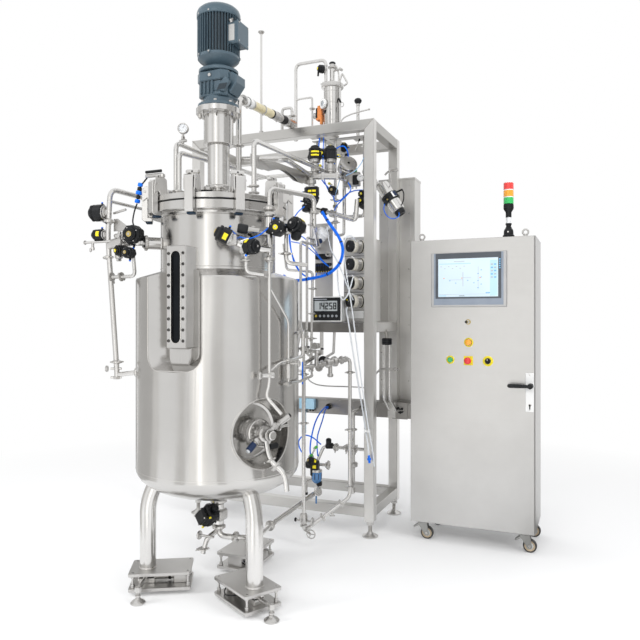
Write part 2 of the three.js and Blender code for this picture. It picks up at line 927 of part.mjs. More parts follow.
// ---------------------------------------------------------------- valve trains round the vessel
// Left: the inlet pipe and its valves, carried by a side nozzle and a short pipe to the jacket.
function leftValveTrain() {
  const x = vesselX - jacketRadius - 83;
  const y = vesselY - 240;
  const dropX = x + 54;
  const at = (across, forward, rise) => V(x + across, y + forward, flangeBottom + rise);
  const main = pipe(
    [
      V(x + 14, trainBack, flangeBottom + 140),
      at(14, 0, 140),
      at(0, 0, -85),
      at(6, 0, -163),
      V(dropX, y, jacketInlet + 20),
      V(dropX, y, jacketInlet - 20),
    ],
    12.5,
    60,
  );
  const branch = pipe([at(8, 4, 82), V(x + 10, trainBack, flangeBottom + 82)], 9);
  const cross = pipe([at(-130, -10, -113), at(148, -10, -113)], 7);
  const feed = pipe([at(18, 0, -285), at(167, -6, -285), at(167, -20, -185)], 9, 30);
  const { angle, height, reach } = nozzles[0];
  const mouth = around(tankRadius + reach + gap, angle, height);
  const elbow = around(tankRadius + reach + 70, angle, height);
  const link = pipe([mouth, elbow, at(113, 0, -130), at(3, 0, -130)], 14, 20);
  const foot = rod(V(dropX - 3, y, jacketInlet), V(vesselX - 280, y, jacketInlet + 18), 11);
  const train = join([
    main,
    branch,
    cross,
    feed,
    link,
    foot,
    ferrule(mouth.clone().lerp(elbow, 0.14), elbow.clone().sub(mouth), 20),
    ferrule(at(0, 0, -20), V(0, 0, 1), 13),
    ferrule(at(25, 0, -285), V(0, 0, 1), 12),
    valveHead(at(0, 0, 27), V(-1, -0.15, 0), 42, 70, 22),
    valveHead(at(0, 0, -79), V(-1, -0.1, 0), 28, 62, 24),
    valveHead(at(179, 6, -95), V(0.12, -1, 0), 46, 66, 20),
    valveHead(at(167, -14, -179), V(0.1, -1, 0), 27, 56, 20),
    rod(at(3, 0, -135), at(179, 0, -95), 22),
    rod(at(83, -20, -153), at(183, -12, -163), 32),
    rod(V(dropX, y - 34, jacketInlet + 36), V(dropX, y + 30, jacketInlet + 36), 22),
    rod(at(-85, -10, -113), at(-85, -10, -155), 8),
  ]);
  return cut(train, [jacketBody(-gap)]);
}

// Front right: valves on the tank's front nozzles, the riser to the side port and the arched pipe.
function frontValveTrain() {
  const x = vesselX + jacketRadius - 8;
  const y = vesselY - 198;
  const at = (across, forward, rise) => V(x + across, y + forward, flangeBottom + rise);
  const arch = pipe(
    [
      at(0, 0, -225),
      at(0, 0, 86),
      at(98, 262, 86),
      at(98, 262, -45),
      V(x - 222, trainReach, flangeBottom - 45),
    ],
    11,
    40,
  );
  const down = pipe(
    [
      at(0, 0, -223),
      V(x, y, portHeight + 220),
      V(x - 10, y - 14, portHeight + 170),
      around(tankRadius + portNozzleReach + 160, portAngle + 2, portHeight + 96),
    ],
    8,
    40,
  );
  const spot = ({ angle, height, reach }, more = gap) => around(tankRadius + reach + more, angle, height);
  const first = spot(nozzles[1]);
  const firstEnd = spot(nozzles[1], 60);
  const second = spot(nozzles[2]);
  const secondEnd = spot(nozzles[2], 40);
  const link = pipe([first, firstEnd, at(-82, -82, -175), at(0, 0, -185)], 16, 20);
  const side = pipe([second, secondEnd, at(0, 0, -145)], 13);
  const crossover = pipe([at(0, 0, -95), at(62, 40, -95), at(62, 40, -240), at(148, 78, -250)], 9, 30);
  const drop = pipe([at(-72, -78, -185), at(-72, -78, -285), at(-12, -32, -295)], 8, 24);
  return join([
    arch,
    down,
    link,
    side,
    crossover,
    drop,
    ferrule(first.clone().lerp(firstEnd, 0.16), firstEnd.clone().sub(first), 18),
    ferrule(at(0, 0, -5), V(0, 0, 1), 14),
    ferrule(at(0, 0, -225), V(0, 0, 1), 12),
    valveHead(firstEnd, V(-0.75, -0.5, 0.45), 36, 66, 20),
    valveHead(at(-82, -82, -179), V(1, -0.35, 0), 34, 62, 24),
    valveHead(at(40, 26, -95), V(0.2, -1, 0), 36, 62, 22),
    valveHead(at(128, 58, -95), V(-0.2, -0.9, 0.25), 38, 66, 14),
    rod(at(62, 40, -105), at(138, 68, -91), 13),
    rod(at(0, 0, -85), at(0, 0, -40), 22),
    rod(V(x - 22, y - 30, portHeight + 262), V(x + 20, y + 8, portHeight + 262), 16),
    rod(at(-70, -10, -113), at(0, 0, -117), 20),
  ]);
}

// Vent and feed pipes from the lid back to a header on the skid.
function ventPipes() {
  const header = flangeTop + 359;
  const [first, second, third] = lidPorts;
  const riser = ({ x, y }, top) => [
    V(vesselX + x, vesselY + y, domeHeight(Math.hypot(x, y)) + lidStub + gap),
    V(vesselX + x, vesselY + y, top),
    V(vesselX + x, headerY, header),
  ];
  const gaugeX = vesselX + first.x;
  const gaugeY = vesselY + first.y + 60;
  return join([
    pipe(riser(first, header), ventRadius, 40),
    pipe(riser(second, header - 60), ventRadius, 40),
    pipe(riser(third, header - 34), ventRadius, 40),
    pipe([V(gaugeX - 20, headerY, header), V(vesselX + third.x + 20, headerY, header)], ventRadius),
    rod(V(gaugeX, gaugeY, header), V(gaugeX, gaugeY, header + 66), 6, 8),
    rod(V(gaugeX, gaugeY - 16, header + 88), V(gaugeX, gaugeY + 14, header + 88), 28, 14),
  ]);
}

// The exhaust riser and the sloping condenser tube that rests on the skid's top rail.
function exhaustCondenser() {
  const { x, y } = lidPorts[3];
  const start = V(vesselX + x, vesselY + y, domeHeight(Math.hypot(x, y)) + lidStub + gap);
  const knee = V(vesselX + x, vesselY + y, skidHeight - 37);
  const end = V(vesselX - 64, tube + 14, skidHeight + 45);
  const run = end.clone().sub(knee).normalize();
  const from = knee.clone().addScaledVector(run, 40);
  return join([
    pipe([start, knee, end], exhaustRadius, 40),
    rod(from, knee.clone().addScaledVector(run, 640), 27, 16),
    rod(end.clone().addScaledVector(run, -150), end.clone().addScaledVector(run, -20), 33, 14),
  ]);
}

// The air manifold: a pipe from behind the drive to the valve row above the skid's front.
function airManifold() {
  const level = flangeTop + 319;
  const left = V(-347, -126, level);
  const right = V(-205, -65, level);
  const start = V(vesselX - 37, vesselY + 270, level);
  const turn = V(vesselX + 181, vesselY + 363, level);
  const run = pipe([start, turn, left, right, V(right.x, tube + 6, level)], 13, 60);
  const body = rod(left, right, 22, 12);
  const heads = [0.15, 0.75].map((share) => {
    const at = left.clone().lerp(right, share);
    return valveHead(at, V(0, 0, 1), 38, 84, 96);
  });
  const low = valveHead(left, V(0, 0.12, -1), 44, 92, 66);
  return join([run, body, ...heads, low]);
}

add("left_valve_train", leftValveTrain(), steel());
add("front_valve_train", frontValveTrain(), steel());
add("vent_pipes", ventPipes(), polished());
add("exhaust_condenser", exhaustCondenser(), polished());
add("air_manifold", airManifold(), steel());

// ---------------------------------------------------------------- skid
function skidFrame() {
  const left = -skidLength;
  const parts = [];
  const railHeights = [bottomRail, shelfTop - tube, skidHeight - tube];
  for (const x of [left, -tube]) {
    for (const y of [0, skidDepth - tube]) {
      parts.push(block(x, x + tube, y, y + tube, bottomRail - 20, skidHeight));
      parts.push(skidFoot(x + tube / 2, y + tube / 2));
    }
    for (const z of railHeights) {
      parts.push(block(x, x + tube, tube / 2, skidDepth - tube / 2, z, z + tube));
    }
  }
  for (const y of [0, skidDepth - tube]) {
    for (const z of railHeights) {
      parts.push(block(left + tube / 2, -tube / 2, y, y + tube, z, z + tube));
    }
  }
  parts.push(block(left + 10, -10, 10, skidDepth - 10, shelfTop - 10, shelfTop + shelfPlate));
  const barTop = skidHeight;
  parts.push(block(crossBarX - 20, crossBarX + 20, tube / 2, skidDepth - tube / 2, barTop - tube, barTop));
  parts.push(rod(V(mastX, tube / 2, barTop - 10), V(mastX, tube / 2, barTop + mastHeight - 4), 7));
  parts.push(rod(V(mastX, tube / 2, barTop + mastHeight - 8), V(mastX, tube / 2, barTop + mastHeight), 20));
  return join(parts);
}

function skidFoot(x, y) {
  return revolve(
    [
      [0, 0],
      [skidFootRadius, 0],
      [skidFootRadius, 10],
      [12, 32],
      [12, 70],
      [22, 74],
      [22, bottomRail - 10],
      [0, bottomRail - 10],
    ],
    12,
    x,
    y,
  );
}

// The trunking across the skid to the cabinet and the riser behind its back post.
function wireway() {
  const back = trunkFront + trunkDepth;
  const top = trunkBottom + trunkHeight;
  const riserFront = skidDepth + 3;
  const glands = [-437, -200].map((x) =>
    rod(V(x, trunkFront - 24, glandHeight), V(x, trunkFront + 1, glandHeight), 20, 12),
  );
  return join([
    block(tube - skidLength, cabinetX - gap, trunkFront, back, trunkBottom, top),
    block(5, riserRight, back - 1, riserFront + 1, trunkBottom, top),
    block(riserLeft, riserRight, riserFront, riserFront + riserDepth, trunkBottom - 10, riserTop),
    block(-tube, 0, back - 1, skidDepth - tube - gap, trunkBottom + 30, top - 30),
    block(-640, -535, trunkFront - 36, trunkFront + 1, 690, 762),
    block(-24, 30, trunkFront - 20, trunkFront + 1, trunkBottom, top + 4),
    ...glands,
  ]);
}

// Inlet-air filter housing on the top cross bar, with its vent tube and looped pipe.
function filterHousing() {
  const y = skidDepth / 2;
  const x = crossBarX;
  const foot = skidHeight + gap;
  const top = foot + 315;
  const body = revolve(
    [
      [0, foot],
      [40, foot],
      [56, foot + 40],
      [56, top],
      [70, top],
      [70, top + 26],
      [24, top + 44],
      [17, top + 50],
      [17, top + 140],
      [26, top + 142],
      [26, top + 172],
      [0, top + 172],
    ],
    16,
    x,
    y,
  );
  const loopX = x - 263;
  const loopTop = top + 196;
  const loop = pipe(
    [V(loopX, y, foot), V(loopX, y, loopTop), V(x - 46, y, loopTop), V(x - 46, y, top + 20)],
    11,
    40,
  );
  const box = block(x - 110, x - 50, y - 30, y + 30, foot + 110, foot + 210);
  const head = valveHead(V(x - 46, y, top + 130), V(-0.7, -0.7, 0), 27, 40, 16);
  return join([body, loop, box, head]);
}

// Steam pipes, valve and transmitter drum in the skid's upper bay, hung from the front post.
function steamManifold() {
  const y = 120;
  const ceiling = skidHeight - tube - 5 - gap;
  const run = pipe([V(-230, y, 2340), V(-230, y, 1930), V(-96, y, 1930), V(-96, y, ceiling)], 11, 30);
  const second = pipe([V(-290, y, ceiling), V(-290, y, 1820), V(-232, y, 1820), V(-232, y, 1950)], 9, 24);
  const drum = valveHead(V(-230, y, 2200), V(0.55, -0.7, 0.45), 56, 74, 30);
  const low = valveHead(V(-96, y, 1990), V(0, -1, 0.2), 30, 74, 20);
  const clip = rod(V(-96, y, 2060), V(-tube - 1, y, 2060), 8);
  return join([run, second, drum, low, clip]);
}

// The slanted control valve at the skid's right side.
function controlActuator() {
  const y = 280;
  const from = V(-40, y, 2150);
  const to = V(92, y, 1950);
  const at = (share) => from.clone().lerp(to, share);
  const nozzle = rod(V(-100, y, 2150), V(-30, y, 2150), 14);
  const post = pipe([V(-100, y, 2140), V(-100, y, skidHeight - tube - 5 - gap)], 14);
  return join([
    nozzle,
    post,
    rod(from, at(0.4), 44, 12),
    rod(at(0.36), at(0.58), 54, 12),
    rod(at(0.55), at(0.88), 44, 12),
    rod(at(0.85), to, 33, 12),
  ]);
}

// Four stacked peristaltic pumps on one housing.
const pumpFacing = V(Math.cos(radians(pumpAngle)), Math.sin(radians(pumpAngle)), 0);
const pumpAt = (height, forward) => V(pumpX, pumpY, height).addScaledVector(pumpFacing, forward);

function pumpCase() {
  const half = rotorThickness / 2;
  const heads = pumpHeights.map((height) =>
    rod(pumpAt(height, -half - 1), pumpAt(height, -half - pumpHeadLength), rotorRadius + 4, 12),
  );
  const spindles = pumpHeights.map((height) =>
    rod(pumpAt(height, half - 6), pumpAt(height, -half - 8), spindleRadius, 8),
  );
  const left = pumpX - 65;
  const front = pumpY + 62;
  const top = pumpHeights[0] + 61;
  const box = block(left, -tube - 2, front, front + 226, shelfSurface, top);
  return join([box, ...heads, ...spindles]);
}

function pumpRotor(height) {
  const half = rotorThickness / 2;
  const disc = rod(pumpAt(height, half), pumpAt(height, -half), rotorRadius, 12);
  const bore = rod(pumpAt(height, half - 6 + gap), pumpAt(height, -half - 2), spindleRadius + turningFit);
  return cut(disc, [bore]);
}

function weighDisplay() {
  return block(-395, -205, 8, 90, shelfSurface, shelfSurface + 154);
}

// Condensate line in front of the skid: down the right, back along the floor and up the left.
function condensateLine() {
  const right = V(-137, -30, 0);
  const left = V(-334, -260, 0);
  const at = (spot, height) => V(spot.x, spot.y, height);
  const line = pipe(
    [
      V(-340, 20, shelfTop - tube - gap),
      V(-340, 20, 1090),
      at(left, 1040),
      at(left, 80),
      at(right, 240),
      at(right, 1064),
      V(-232, -10, 1046),
    ],
    11,
    36,
  );
  const trapFrom = at(left, 1018).lerp(at(right, 1064), 0.25);
  const trapTo = at(left, 1018).lerp(at(right, 1064), 0.95);
  return join([
    line,
    rod(trapFrom, trapTo, 14),
    rod(trapFrom.clone().lerp(trapTo, 0.3), trapFrom.clone().lerp(trapTo, 0.6), 30),
    rod(at(left, 1018), trapFrom, 12),
    rod(at(left, 130), at(left, 190), 20),
    ferrule(at(left, 980), V(0, 0, 1), 12),
    ferrule(at(right, 300), V(0, 0, 1), 12),
    rod(V(left.x - 50, left.y, 150), V(left.x + 58, left.y, 150), 13),
  ]);
}

// Drain valves between the skid's front and the pipe from the trunking.
function drainLine() {
  const y = -60;
  const level = 516;
  const main = pipe(
    [V(-tube - 2, 30, level), V(-330, 30, level), V(-345, y, 420), V(-322, y, 280), V(-322, y - 50, 266)],
    10,
    30,
  );
  const fromTrunk = pipe(
    [
      V(-200, trunkFront - 24 - gap, glandHeight),
      V(-200, 200, glandHeight),
      V(-200, 200, 190),
      V(-200, 120, level),
      V(-200, 30, level),
    ],
    12,
    30,
  );
  return join([
    main,
    fromTrunk,
    ferrule(V(-200, 200, 380), V(0, 0, 1), 18),
    valveHead(V(-345, y, 430), V(-0.4, -0.7, 0.35), 26, 50, 14),
    rod(V(-337, y - 4, 390), V(-337, y - 4, 310), 32),
    rod(V(-345, y, 424), V(-262, y, 424), 9, 8),
    rod(V(-270, y, 424), V(-258, y, 424), 26),
  ]);
}

// Solenoid-valve island and the capsule filter above it, on one upright plate.
function solenoidIsland() {
  const y = 96;
  const islandBottom = shelfTop + 313;
  const filterBottom = shelfTop + 523;
  return join([
    block(-430, -310, y + 30, y + 34, shelfSurface, shelfTop + 623),
    block(-420, -314, y - 14, y + 31, islandBottom, islandBottom + 60),
    rod(V(-402, y, filterBottom), V(-342, y, filterBottom + 52), 42, 12),
    block(-390, -350, y, y + 31, filterBottom + 10, filterBottom + 40),
  ]);
}

// The bundle of blue air hoses, tied from the valve row to the vessel's front valves.
function airHoseBundle() {
  const points = [
    V(-300, -70, 1940),
    V(-255, -70, 1870),
    V(-205, -66, 1802),
    V(-176, -62, 1740),
    V(-172, -60, 1690),
    V(-190, -60, 1630),
    V(-240, -62, 1580),
    V(-300, -66, 1555),
    V(-380, -76, 1540),
    V(-440, -110, 1530),
    V(-470, -180, 1530),
    V(-440, -300, 1545),
  ];
  const smooth = new THREE.CatmullRomCurve3(points).getPoints(22);
  return tubeAlong(smooth, 9, 8);
}

add("skid_frame", skidFrame(), steel());
add("wireway", wireway(), steel());
add("filter_housing", filterHousing(), polished());
add("steam_manifold", steamManifold(), steel());
add("control_actuator", controlActuator(), steel());
add("pump_case", pumpCase(), cream());
pumpHeights.forEach((height, i) => add(`pump_rotor_${i + 1}`, pumpRotor(height), black()));
add("weigh_display", weighDisplay(), black());
add("condensate_line", condensateLine(), steel());
add("drain_line", drainLine(), steel());
add("solenoid_island", solenoidIsland(), black());
add("air_hose_bundle", airHoseBundle(), plain(0x1c63d6));

// ---------------------------------------------------------------- hanging silicone tube
const tubeLine = new THREE.CatmullRomCurve3(tubeRoute.map((point) => V(...point))).getPoints(25);

// The connector carries on in the direction that the tube ends in.
function feedConnector() {
  const [before, end] = tubeLine.slice(-2);
  const along = (distance) => end.clone().addScaledVector(end.clone().sub(before).normalize(), distance);
  return join([rod(along(gap), along(46), 7), rod(along(18), along(28), 12)]);
}

add("feed_tube", tubeAlong(tubeLine, tubeRadius, 8), plain(0xeef0f2));
add("feed_connector", feedConnector(), plain(0x1c63d6));

// ---------------------------------------------------------------- cabinet
function cabinetCase() {
  const right = cabinetX + cabinetWidth;
  const back = cabinetY + cabinetDepth;
  const shell = block(cabinetX, right, caseFront, back, cabinetBottom, cabinetTop);
  const inside = block(
    cabinetX + sheet,
    right - sheet,
    caseFront - 1,
    back - sheet,
    cabinetBottom + sheet,
    cabinetTop - sheet,
  );
  const plate = block(
    cabinetX + 60,
    right - 60,
    back - 40,
    back - 1,
    cabinetBottom + 80,
    cabinetTop - 80,
  );
  const eyes = [cabinetX + 56, right - 56].map((x) => {
    const y = caseFront + 40;
    const shank = rod(V(x, y, cabinetTop - 1), V(x, y, cabinetTop + 12), 10, 10);
    const ring = new THREE.TorusGeometry(15, 5, 6, 10).rotateX(Math.PI / 2);
    ring.translate(x, y, cabinetTop + 26);
    return join([shank, solid(ring)]);
  });
  return join([cut(shell, [inside]), plate, ...eyes]);
}

function cabinetDoor() {
  const left = cabinetX + doorMargin;
  const right = cabinetX + cabinetWidth - doorMargin;
  const low = cabinetBottom + doorMargin;
  const high = cabinetTop - doorMargin;
  const back = caseFront - gap;
  const skin = block(left, right, cabinetY, back, low, high);
  const hollow = block(left + 20, right - 20, cabinetY + sheet, back + 1, low + 20, high - 20);
  const panelX = cabinetX + panelLeft;
  const opening = block(
    panelX + 12,
    panelX + panelWidth - 12,
    cabinetY - 1,
    back + 1,
    panelBottom + 12,
    panelBottom + panelHeight - 12,
  );
  const holes = controls.map(({ across, height }) => {
    const x = cabinetX + across;
    return rod(V(x, cabinetY - 5, height), V(x, back + 1, height), stemRadius + turningFit);
  });
  const plate = block(
    leverX - 28,
    leverX + 16,
    cabinetY - leverPlateReach,
    cabinetY + 1,
    leverHeight - 142,
    leverHeight + 71,
  );
  const leverHole = rod(
    V(leverX, cabinetY - 20, leverHeight),
    V(leverX, back + 1, leverHeight),
    leverStem + turningFit,
  );
  return cut(join([cut(skin, [hollow]), plate]), [opening, ...holes, leverHole]);
}

function operatorPanel() {
  const left = cabinetX + panelLeft;
  const bezel = block(
    left,
    left + panelWidth,
    cabinetY - panelReach,
    cabinetY - gap,
    panelBottom,
    panelBottom + panelHeight,
  );
  const body = block(
    left + 14,
    left + panelWidth - 14,
    cabinetY - 1,
    cabinetY + 50,
    panelBottom + 14,
    panelBottom + panelHeight - 14,
  );
  return join([bezel, body]);
}

function control({ across, height, radius, reach }) {
  const x = cabinetX + across;
  const face = cabinetY - buttonTravel - 2;
  const stem = rod(V(x, face - 1, height), V(x, cabinetY + 16, height), stemRadius);
  const head = rod(V(x, face, height), V(x, cabinetY - reach, height), radius, 10);
  return join([stem, head]);
}

function doorLever() {
  const face = cabinetY - leverPlateReach - gap;
  const camBack = cabinetY + doorThickness + 15;
  const stem = rod(V(leverX, face - 30, leverHeight), V(leverX, camBack, leverHeight), leverStem);
  const hub = rod(V(leverX, face, leverHeight), V(leverX, face - 34, leverHeight), 14, 10);
  const grip = block(
    leverX - leverLength,
    leverX,
    face - 42,
    face - 26,
    leverHeight - 11,
    leverHeight + 11,
  );
  const cam = block(leverX - 12, leverX + 12, camBack - 6, camBack, leverHeight - 12, leverHeight + 50);
  return join([stem, hub, grip, cam]);
}

function signalTower() {
  const x = cabinetX + cabinetWidth - towerInset;
  const y = caseFront + 36;
  const foot = cabinetTop + gap;
  return revolve(
    [
      [0, foot],
      [towerRadius + 6, foot],
      [towerRadius + 6, foot + 12],
      [towerRadius - 2, foot + 16],
      [towerRadius - 2, foot + 60],
      [towerRadius, foot + 62],
      [towerRadius, foot + towerHeight - 8],
      [towerRadius - 8, foot + towerHeight],
      [0, foot + towerHeight],
    ],
    14,
    x,
    y,
  );
}

function casterFork(x, y) {
  const top = cabinetBottom - gap;
  const axleX = x + casterTrail;
  const half = wheelWidth / 2 + 2;
  const crown = wheelRadius * 2 + 4;
  const cheek = [
    [x - 24, top - 8],
    [x - 24, top - 14],
    [axleX - 12, wheelRadius - 8],
    [axleX + 12, wheelRadius - 8],
    [x + 30, top - 14],
    [x + 30, top - 8],
  ];
  const cheeks = [-half - 3, half].map((side) => {
    const plate = raise(cheek, -side - 3, -side).rotateX(Math.PI / 2);
    return solid(plate.translate(0, y, 0));
  });
  const bridge = block(x - 24, x + 30, y - half - 3, y + half + 3, crown + 14, top - 8);
  const plate = block(x - 34, x + 34, y - 30, y + 30, top - 10, top);
  const axle = rod(V(axleX, y - half - 5, wheelRadius), V(axleX, y + half + 5, wheelRadius), 5, 6);
  return join([plate, bridge, ...cheeks, axle]);
}

function casterWheel(x, y) {
  const axleX = x + casterTrail;
  const half = wheelWidth / 2;
  const tyre = rod(V(axleX, y - half, wheelRadius), V(axleX, y + half, wheelRadius), wheelRadius, 16);
  const bore = rod(V(axleX, y - half - 1, wheelRadius), V(axleX, y + half + 1, wheelRadius), 6, 8);
  return cut(tyre, [bore]);
}

add("cabinet_case", cabinetCase(), steel());
add("cabinet_door", cabinetDoor(), steel());
add("operator_panel", operatorPanel(), plain(0x53565a));
add("door_lever", doorLever(), black());
for (const item of controls) add(item.name, control(item), item.look());
add("signal_tower", signalTower(), black());
const casterXs = [cabinetX + casterInset, cabinetX + cabinetWidth - casterInset];
const casterYs = [cabinetY + casterInset, cabinetY + cabinetDepth - casterInset];
casterYs
  .flatMap((y) => casterXs.map((x) => [x, y]))
  .forEach(([x, y], i) => {
    add(`caster_fork_${i + 1}`, casterFork(x, y), steel());
    add(`caster_wheel_${i + 1}`, casterWheel(x, y), rubber());
  });

// ---------------------------------------------------------------- origin under the middle of the whole
const bounds = new THREE.Box3().setFromObject(root);
const middle = bounds.getCenter(V(0, 0, 0));
root.position.set(-middle.x, -middle.y, -bounds.min.z);

export default root;
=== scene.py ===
# Pilot bioreactor: the finished looks of a jacketed stirred tank, its piping skid and its control cabinet,
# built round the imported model. Lengths are millimetres in the plant's own layout unless a name says metres.
import math

import bmesh
import bpy
from mathutils import Matrix, Quaternion, Vector


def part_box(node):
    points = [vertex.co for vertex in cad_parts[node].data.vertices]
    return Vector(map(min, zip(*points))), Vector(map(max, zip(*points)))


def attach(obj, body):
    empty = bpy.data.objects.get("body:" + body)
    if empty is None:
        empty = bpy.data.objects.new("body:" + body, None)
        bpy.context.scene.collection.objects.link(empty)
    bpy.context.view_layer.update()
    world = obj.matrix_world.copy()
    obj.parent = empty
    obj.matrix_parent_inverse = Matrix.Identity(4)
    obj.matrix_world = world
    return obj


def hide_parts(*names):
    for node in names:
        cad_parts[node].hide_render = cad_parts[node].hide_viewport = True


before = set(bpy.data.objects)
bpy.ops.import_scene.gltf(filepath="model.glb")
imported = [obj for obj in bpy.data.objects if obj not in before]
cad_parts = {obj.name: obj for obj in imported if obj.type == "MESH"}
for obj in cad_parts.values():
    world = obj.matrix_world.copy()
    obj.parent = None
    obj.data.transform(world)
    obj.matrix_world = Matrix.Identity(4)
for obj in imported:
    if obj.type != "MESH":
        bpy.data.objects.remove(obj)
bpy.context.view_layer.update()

# ------------------------------------------------------------------ camera and studio
# A level camera at standing eye height looks along the skid from its left front. The room is a white
# cove: soft panels overhead and at both sides, and a floor that keeps only a faint shadow.
MM = 0.001
SKID_FOOT = 17  # the skid's feet stand out this far past its tubes
skid_low, skid_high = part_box("skid_frame")
corner = Vector((skid_high.x - SKID_FOOT * MM, skid_low.y + SKID_FOOT * MM, 0))


def place(x, y, z):
    """A point of the layout, measured from the skid's front right corner, in the row frame in metres."""
    return corner + Vector((x, y, z)) * MM


def nodes_of(owner):
    owner.use_nodes = True
    owner.node_tree.nodes.clear()
    return owner.node_tree


def sees_backdrop(tree):
    """One for rays from the camera and for those mirrored or let through, else nought."""
    path = tree.nodes.new("ShaderNodeLightPath")
    largest = path.outputs["Is Camera Ray"]
    for kind in ("Is Glossy Ray", "Is Transmission Ray"):
        larger = tree.nodes.new("ShaderNodeMath")
        larger.operation = "MAXIMUM"
        tree.links.new(largest, larger.inputs[0])
        tree.links.new(path.outputs[kind], larger.inputs[1])
        largest = larger.outputs[0]
    return largest


camera_data = bpy.data.cameras.new("camera")
camera_data.sensor_width = 36
camera_data.lens = 36.33
camera_data.shift_y = -0.0022
camera = bpy.data.objects.new("camera", camera_data)
camera.location = place(1199, -3632, 1300)
camera.rotation_euler = (math.radians(90), 0, math.radians(23))
bpy.context.scene.collection.objects.link(camera)
bpy.context.scene.camera = camera
bpy.context.scene.view_settings.view_transform = "Standard"

world = bpy.data.worlds.new("studio")
bpy.context.scene.world = world
sky = nodes_of(world)
sky_out = sky.nodes.new("ShaderNodeOutputWorld")
sky_mix = sky.nodes.new("ShaderNodeMixShader")
sky_seen = sky.nodes.new("ShaderNodeBackground")
sky_lit = sky.nodes.new("ShaderNodeBackground")
sky_seen.inputs["Color"].default_value = (1, 1, 1, 1)
sky_seen.inputs["Strength"].default_value = 1.0
sky_lit.inputs["Color"].default_value = (0.97, 0.98, 1, 1)
sky_lit.inputs["Strength"].default_value = 0.62
sky.links.new(sees_backdrop(sky), sky_mix.inputs["Fac"])
sky.links.new(sky_lit.outputs[0], sky_mix.inputs[1])
sky.links.new(sky_seen.outputs[0], sky_mix.inputs[2])
sky.links.new(sky_mix.outputs[0], sky_out.inputs["Surface"])


def soft_panel(name, spot, target, width, height, watts):
    data = bpy.data.lights.new(name, "AREA")
    data.shape = "RECTANGLE"
    data.size = width
    data.size_y = height
    data.energy = watts
    lamp = bpy.data.objects.new(name, data)
    lamp.location = place(*spot)
    lamp.rotation_euler = (place(*target) - lamp.location).to_track_quat("-Z", "Y").to_euler()
    lamp.visible_glossy = False
    bpy.context.scene.collection.objects.link(lamp)


soft_panel("panel_left", (-3600, -3400, 2900), (-450, -500, 1200), 1.3, 3.2, 95)
soft_panel("panel_front", (500, -4600, 3600), (-300, -400, 1200), 2.4, 1.2, 70)
soft_panel("panel_right", (3300, -1500, 2400), (0, -300, 1200), 1.0, 3.0, 60)
soft_panel("panel_top", (-300, 300, 5200), (-300, -300, 1000), 3.0, 3.0, 60)

def grey_card(name, bearing, width, level, distance=4.2):
    """A cloth beside the set, swept forward over the floor at its foot, that only bare steel mirrors."""
    turn = math.radians(bearing)
    way = Vector((math.sin(turn), -math.cos(turn), 0))
    side = Vector((math.cos(turn), math.sin(turn), 0)) * math.tan(math.radians(width / 2))
    corners = []
    for reach, height in ((1.3, 2 + 2 * level), (distance, 2 + 2 * level), (distance, 3900)):
        for edge in (-1, 1):
            corners.append(place(*(Vector((-450, -700, height)) + (way + side * edge) * (1000 * reach))))
    data = bpy.data.meshes.new(name)
    data.from_pydata(corners, [], [(0, 1, 3, 2), (2, 3, 5, 4)])
    finish = bpy.data.materials.new(name)
    tree = nodes_of(finish)
    out = tree.nodes.new("ShaderNodeOutputMaterial")
    face = tree.nodes.new("ShaderNodeEmission")
    face.inputs["Color"].default_value = (level, level * 0.99, level * 0.97, 1)
    face.inputs["Strength"].default_value = 1.0
    tree.links.new(face.outputs[0], out.inputs["Surface"])
    data.materials.append(finish)
    cloth = bpy.data.objects.new(name, data)
    cloth.visible_camera = False
    cloth.visible_diffuse = False
    cloth.visible_shadow = False
    cloth.visible_transmission = False
    bpy.context.scene.collection.objects.link(cloth)


grey_card("card_left", -84, 44, 0.60)
grey_card("card_far_left", -126, 24, 0.38)
grey_card("card_left_edge", -56, 12, 0.84)
grey_card("card_front_left", -16, 11, 0.80)
grey_card("card_soft_front", 7, 24, 1.2, 4.6)
grey_card("card_bright", 7, 8, 2.1)
grey_card("card_front_right", 29, 12, 0.80)
grey_card("card_right", 94, 50, 0.48)
grey_card("card_dark", 127, 14, 0.22)
grey_card("card_back_right", 182, 32, 0.50)

floor_mesh = bpy.data.meshes.new("floor")
reach = 14.0
floor_corners = [(-reach, -reach, 0), (reach, -reach, 0), (reach, reach, 0), (-reach, reach, 0)]
floor_mesh.from_pydata(floor_corners, [], [(0, 1, 2, 3)])
floor = bpy.data.objects.new("floor", floor_mesh)
bpy.context.scene.collection.objects.link(floor)
floor_finish = bpy.data.materials.new("pale_floor")
tree = nodes_of(floor_finish)
floor_out = tree.nodes.new("ShaderNodeOutputMaterial")
floor_mix = tree.nodes.new("ShaderNodeMixShader")
floor_paint = tree.nodes.new("ShaderNodeBsdfDiffuse")
floor_glow = tree.nodes.new("ShaderNodeEmission")
floor_seen = tree.nodes.new("ShaderNodeMath")
floor_seen.operation = "MULTIPLY"
floor_distance = tree.nodes.new("ShaderNodeVectorMath")
floor_distance.operation = "LENGTH"
floor_where = tree.nodes.new("ShaderNodeTexCoord")
floor_share = tree.nodes.new("ShaderNodeMapRange")
floor_share.inputs["From Min"].default_value = 1.3
floor_share.inputs["From Max"].default_value = 4.0
floor_share.inputs["To Min"].default_value = 0.14
floor_share.inputs["To Max"].default_value = 1.0
tree.links.new(floor_where.outputs["Object"], floor_distance.inputs[0])
tree.links.new(floor_distance.outputs["Value"], floor_share.inputs["Value"])
tree.links.new(floor_share.outputs[0], floor_seen.inputs[1])
floor_paint.inputs["Color"].default_value = (0.98, 0.98, 0.98, 1)
floor_glow.inputs["Color"].default_value = (1, 1, 1, 1)
tree.links.new(sees_backdrop(tree), floor_seen.inputs[0])
tree.links.new(floor_seen.outputs[0], floor_mix.inputs["Fac"])
tree.links.new(floor_paint.outputs[0], floor_mix.inputs[1])
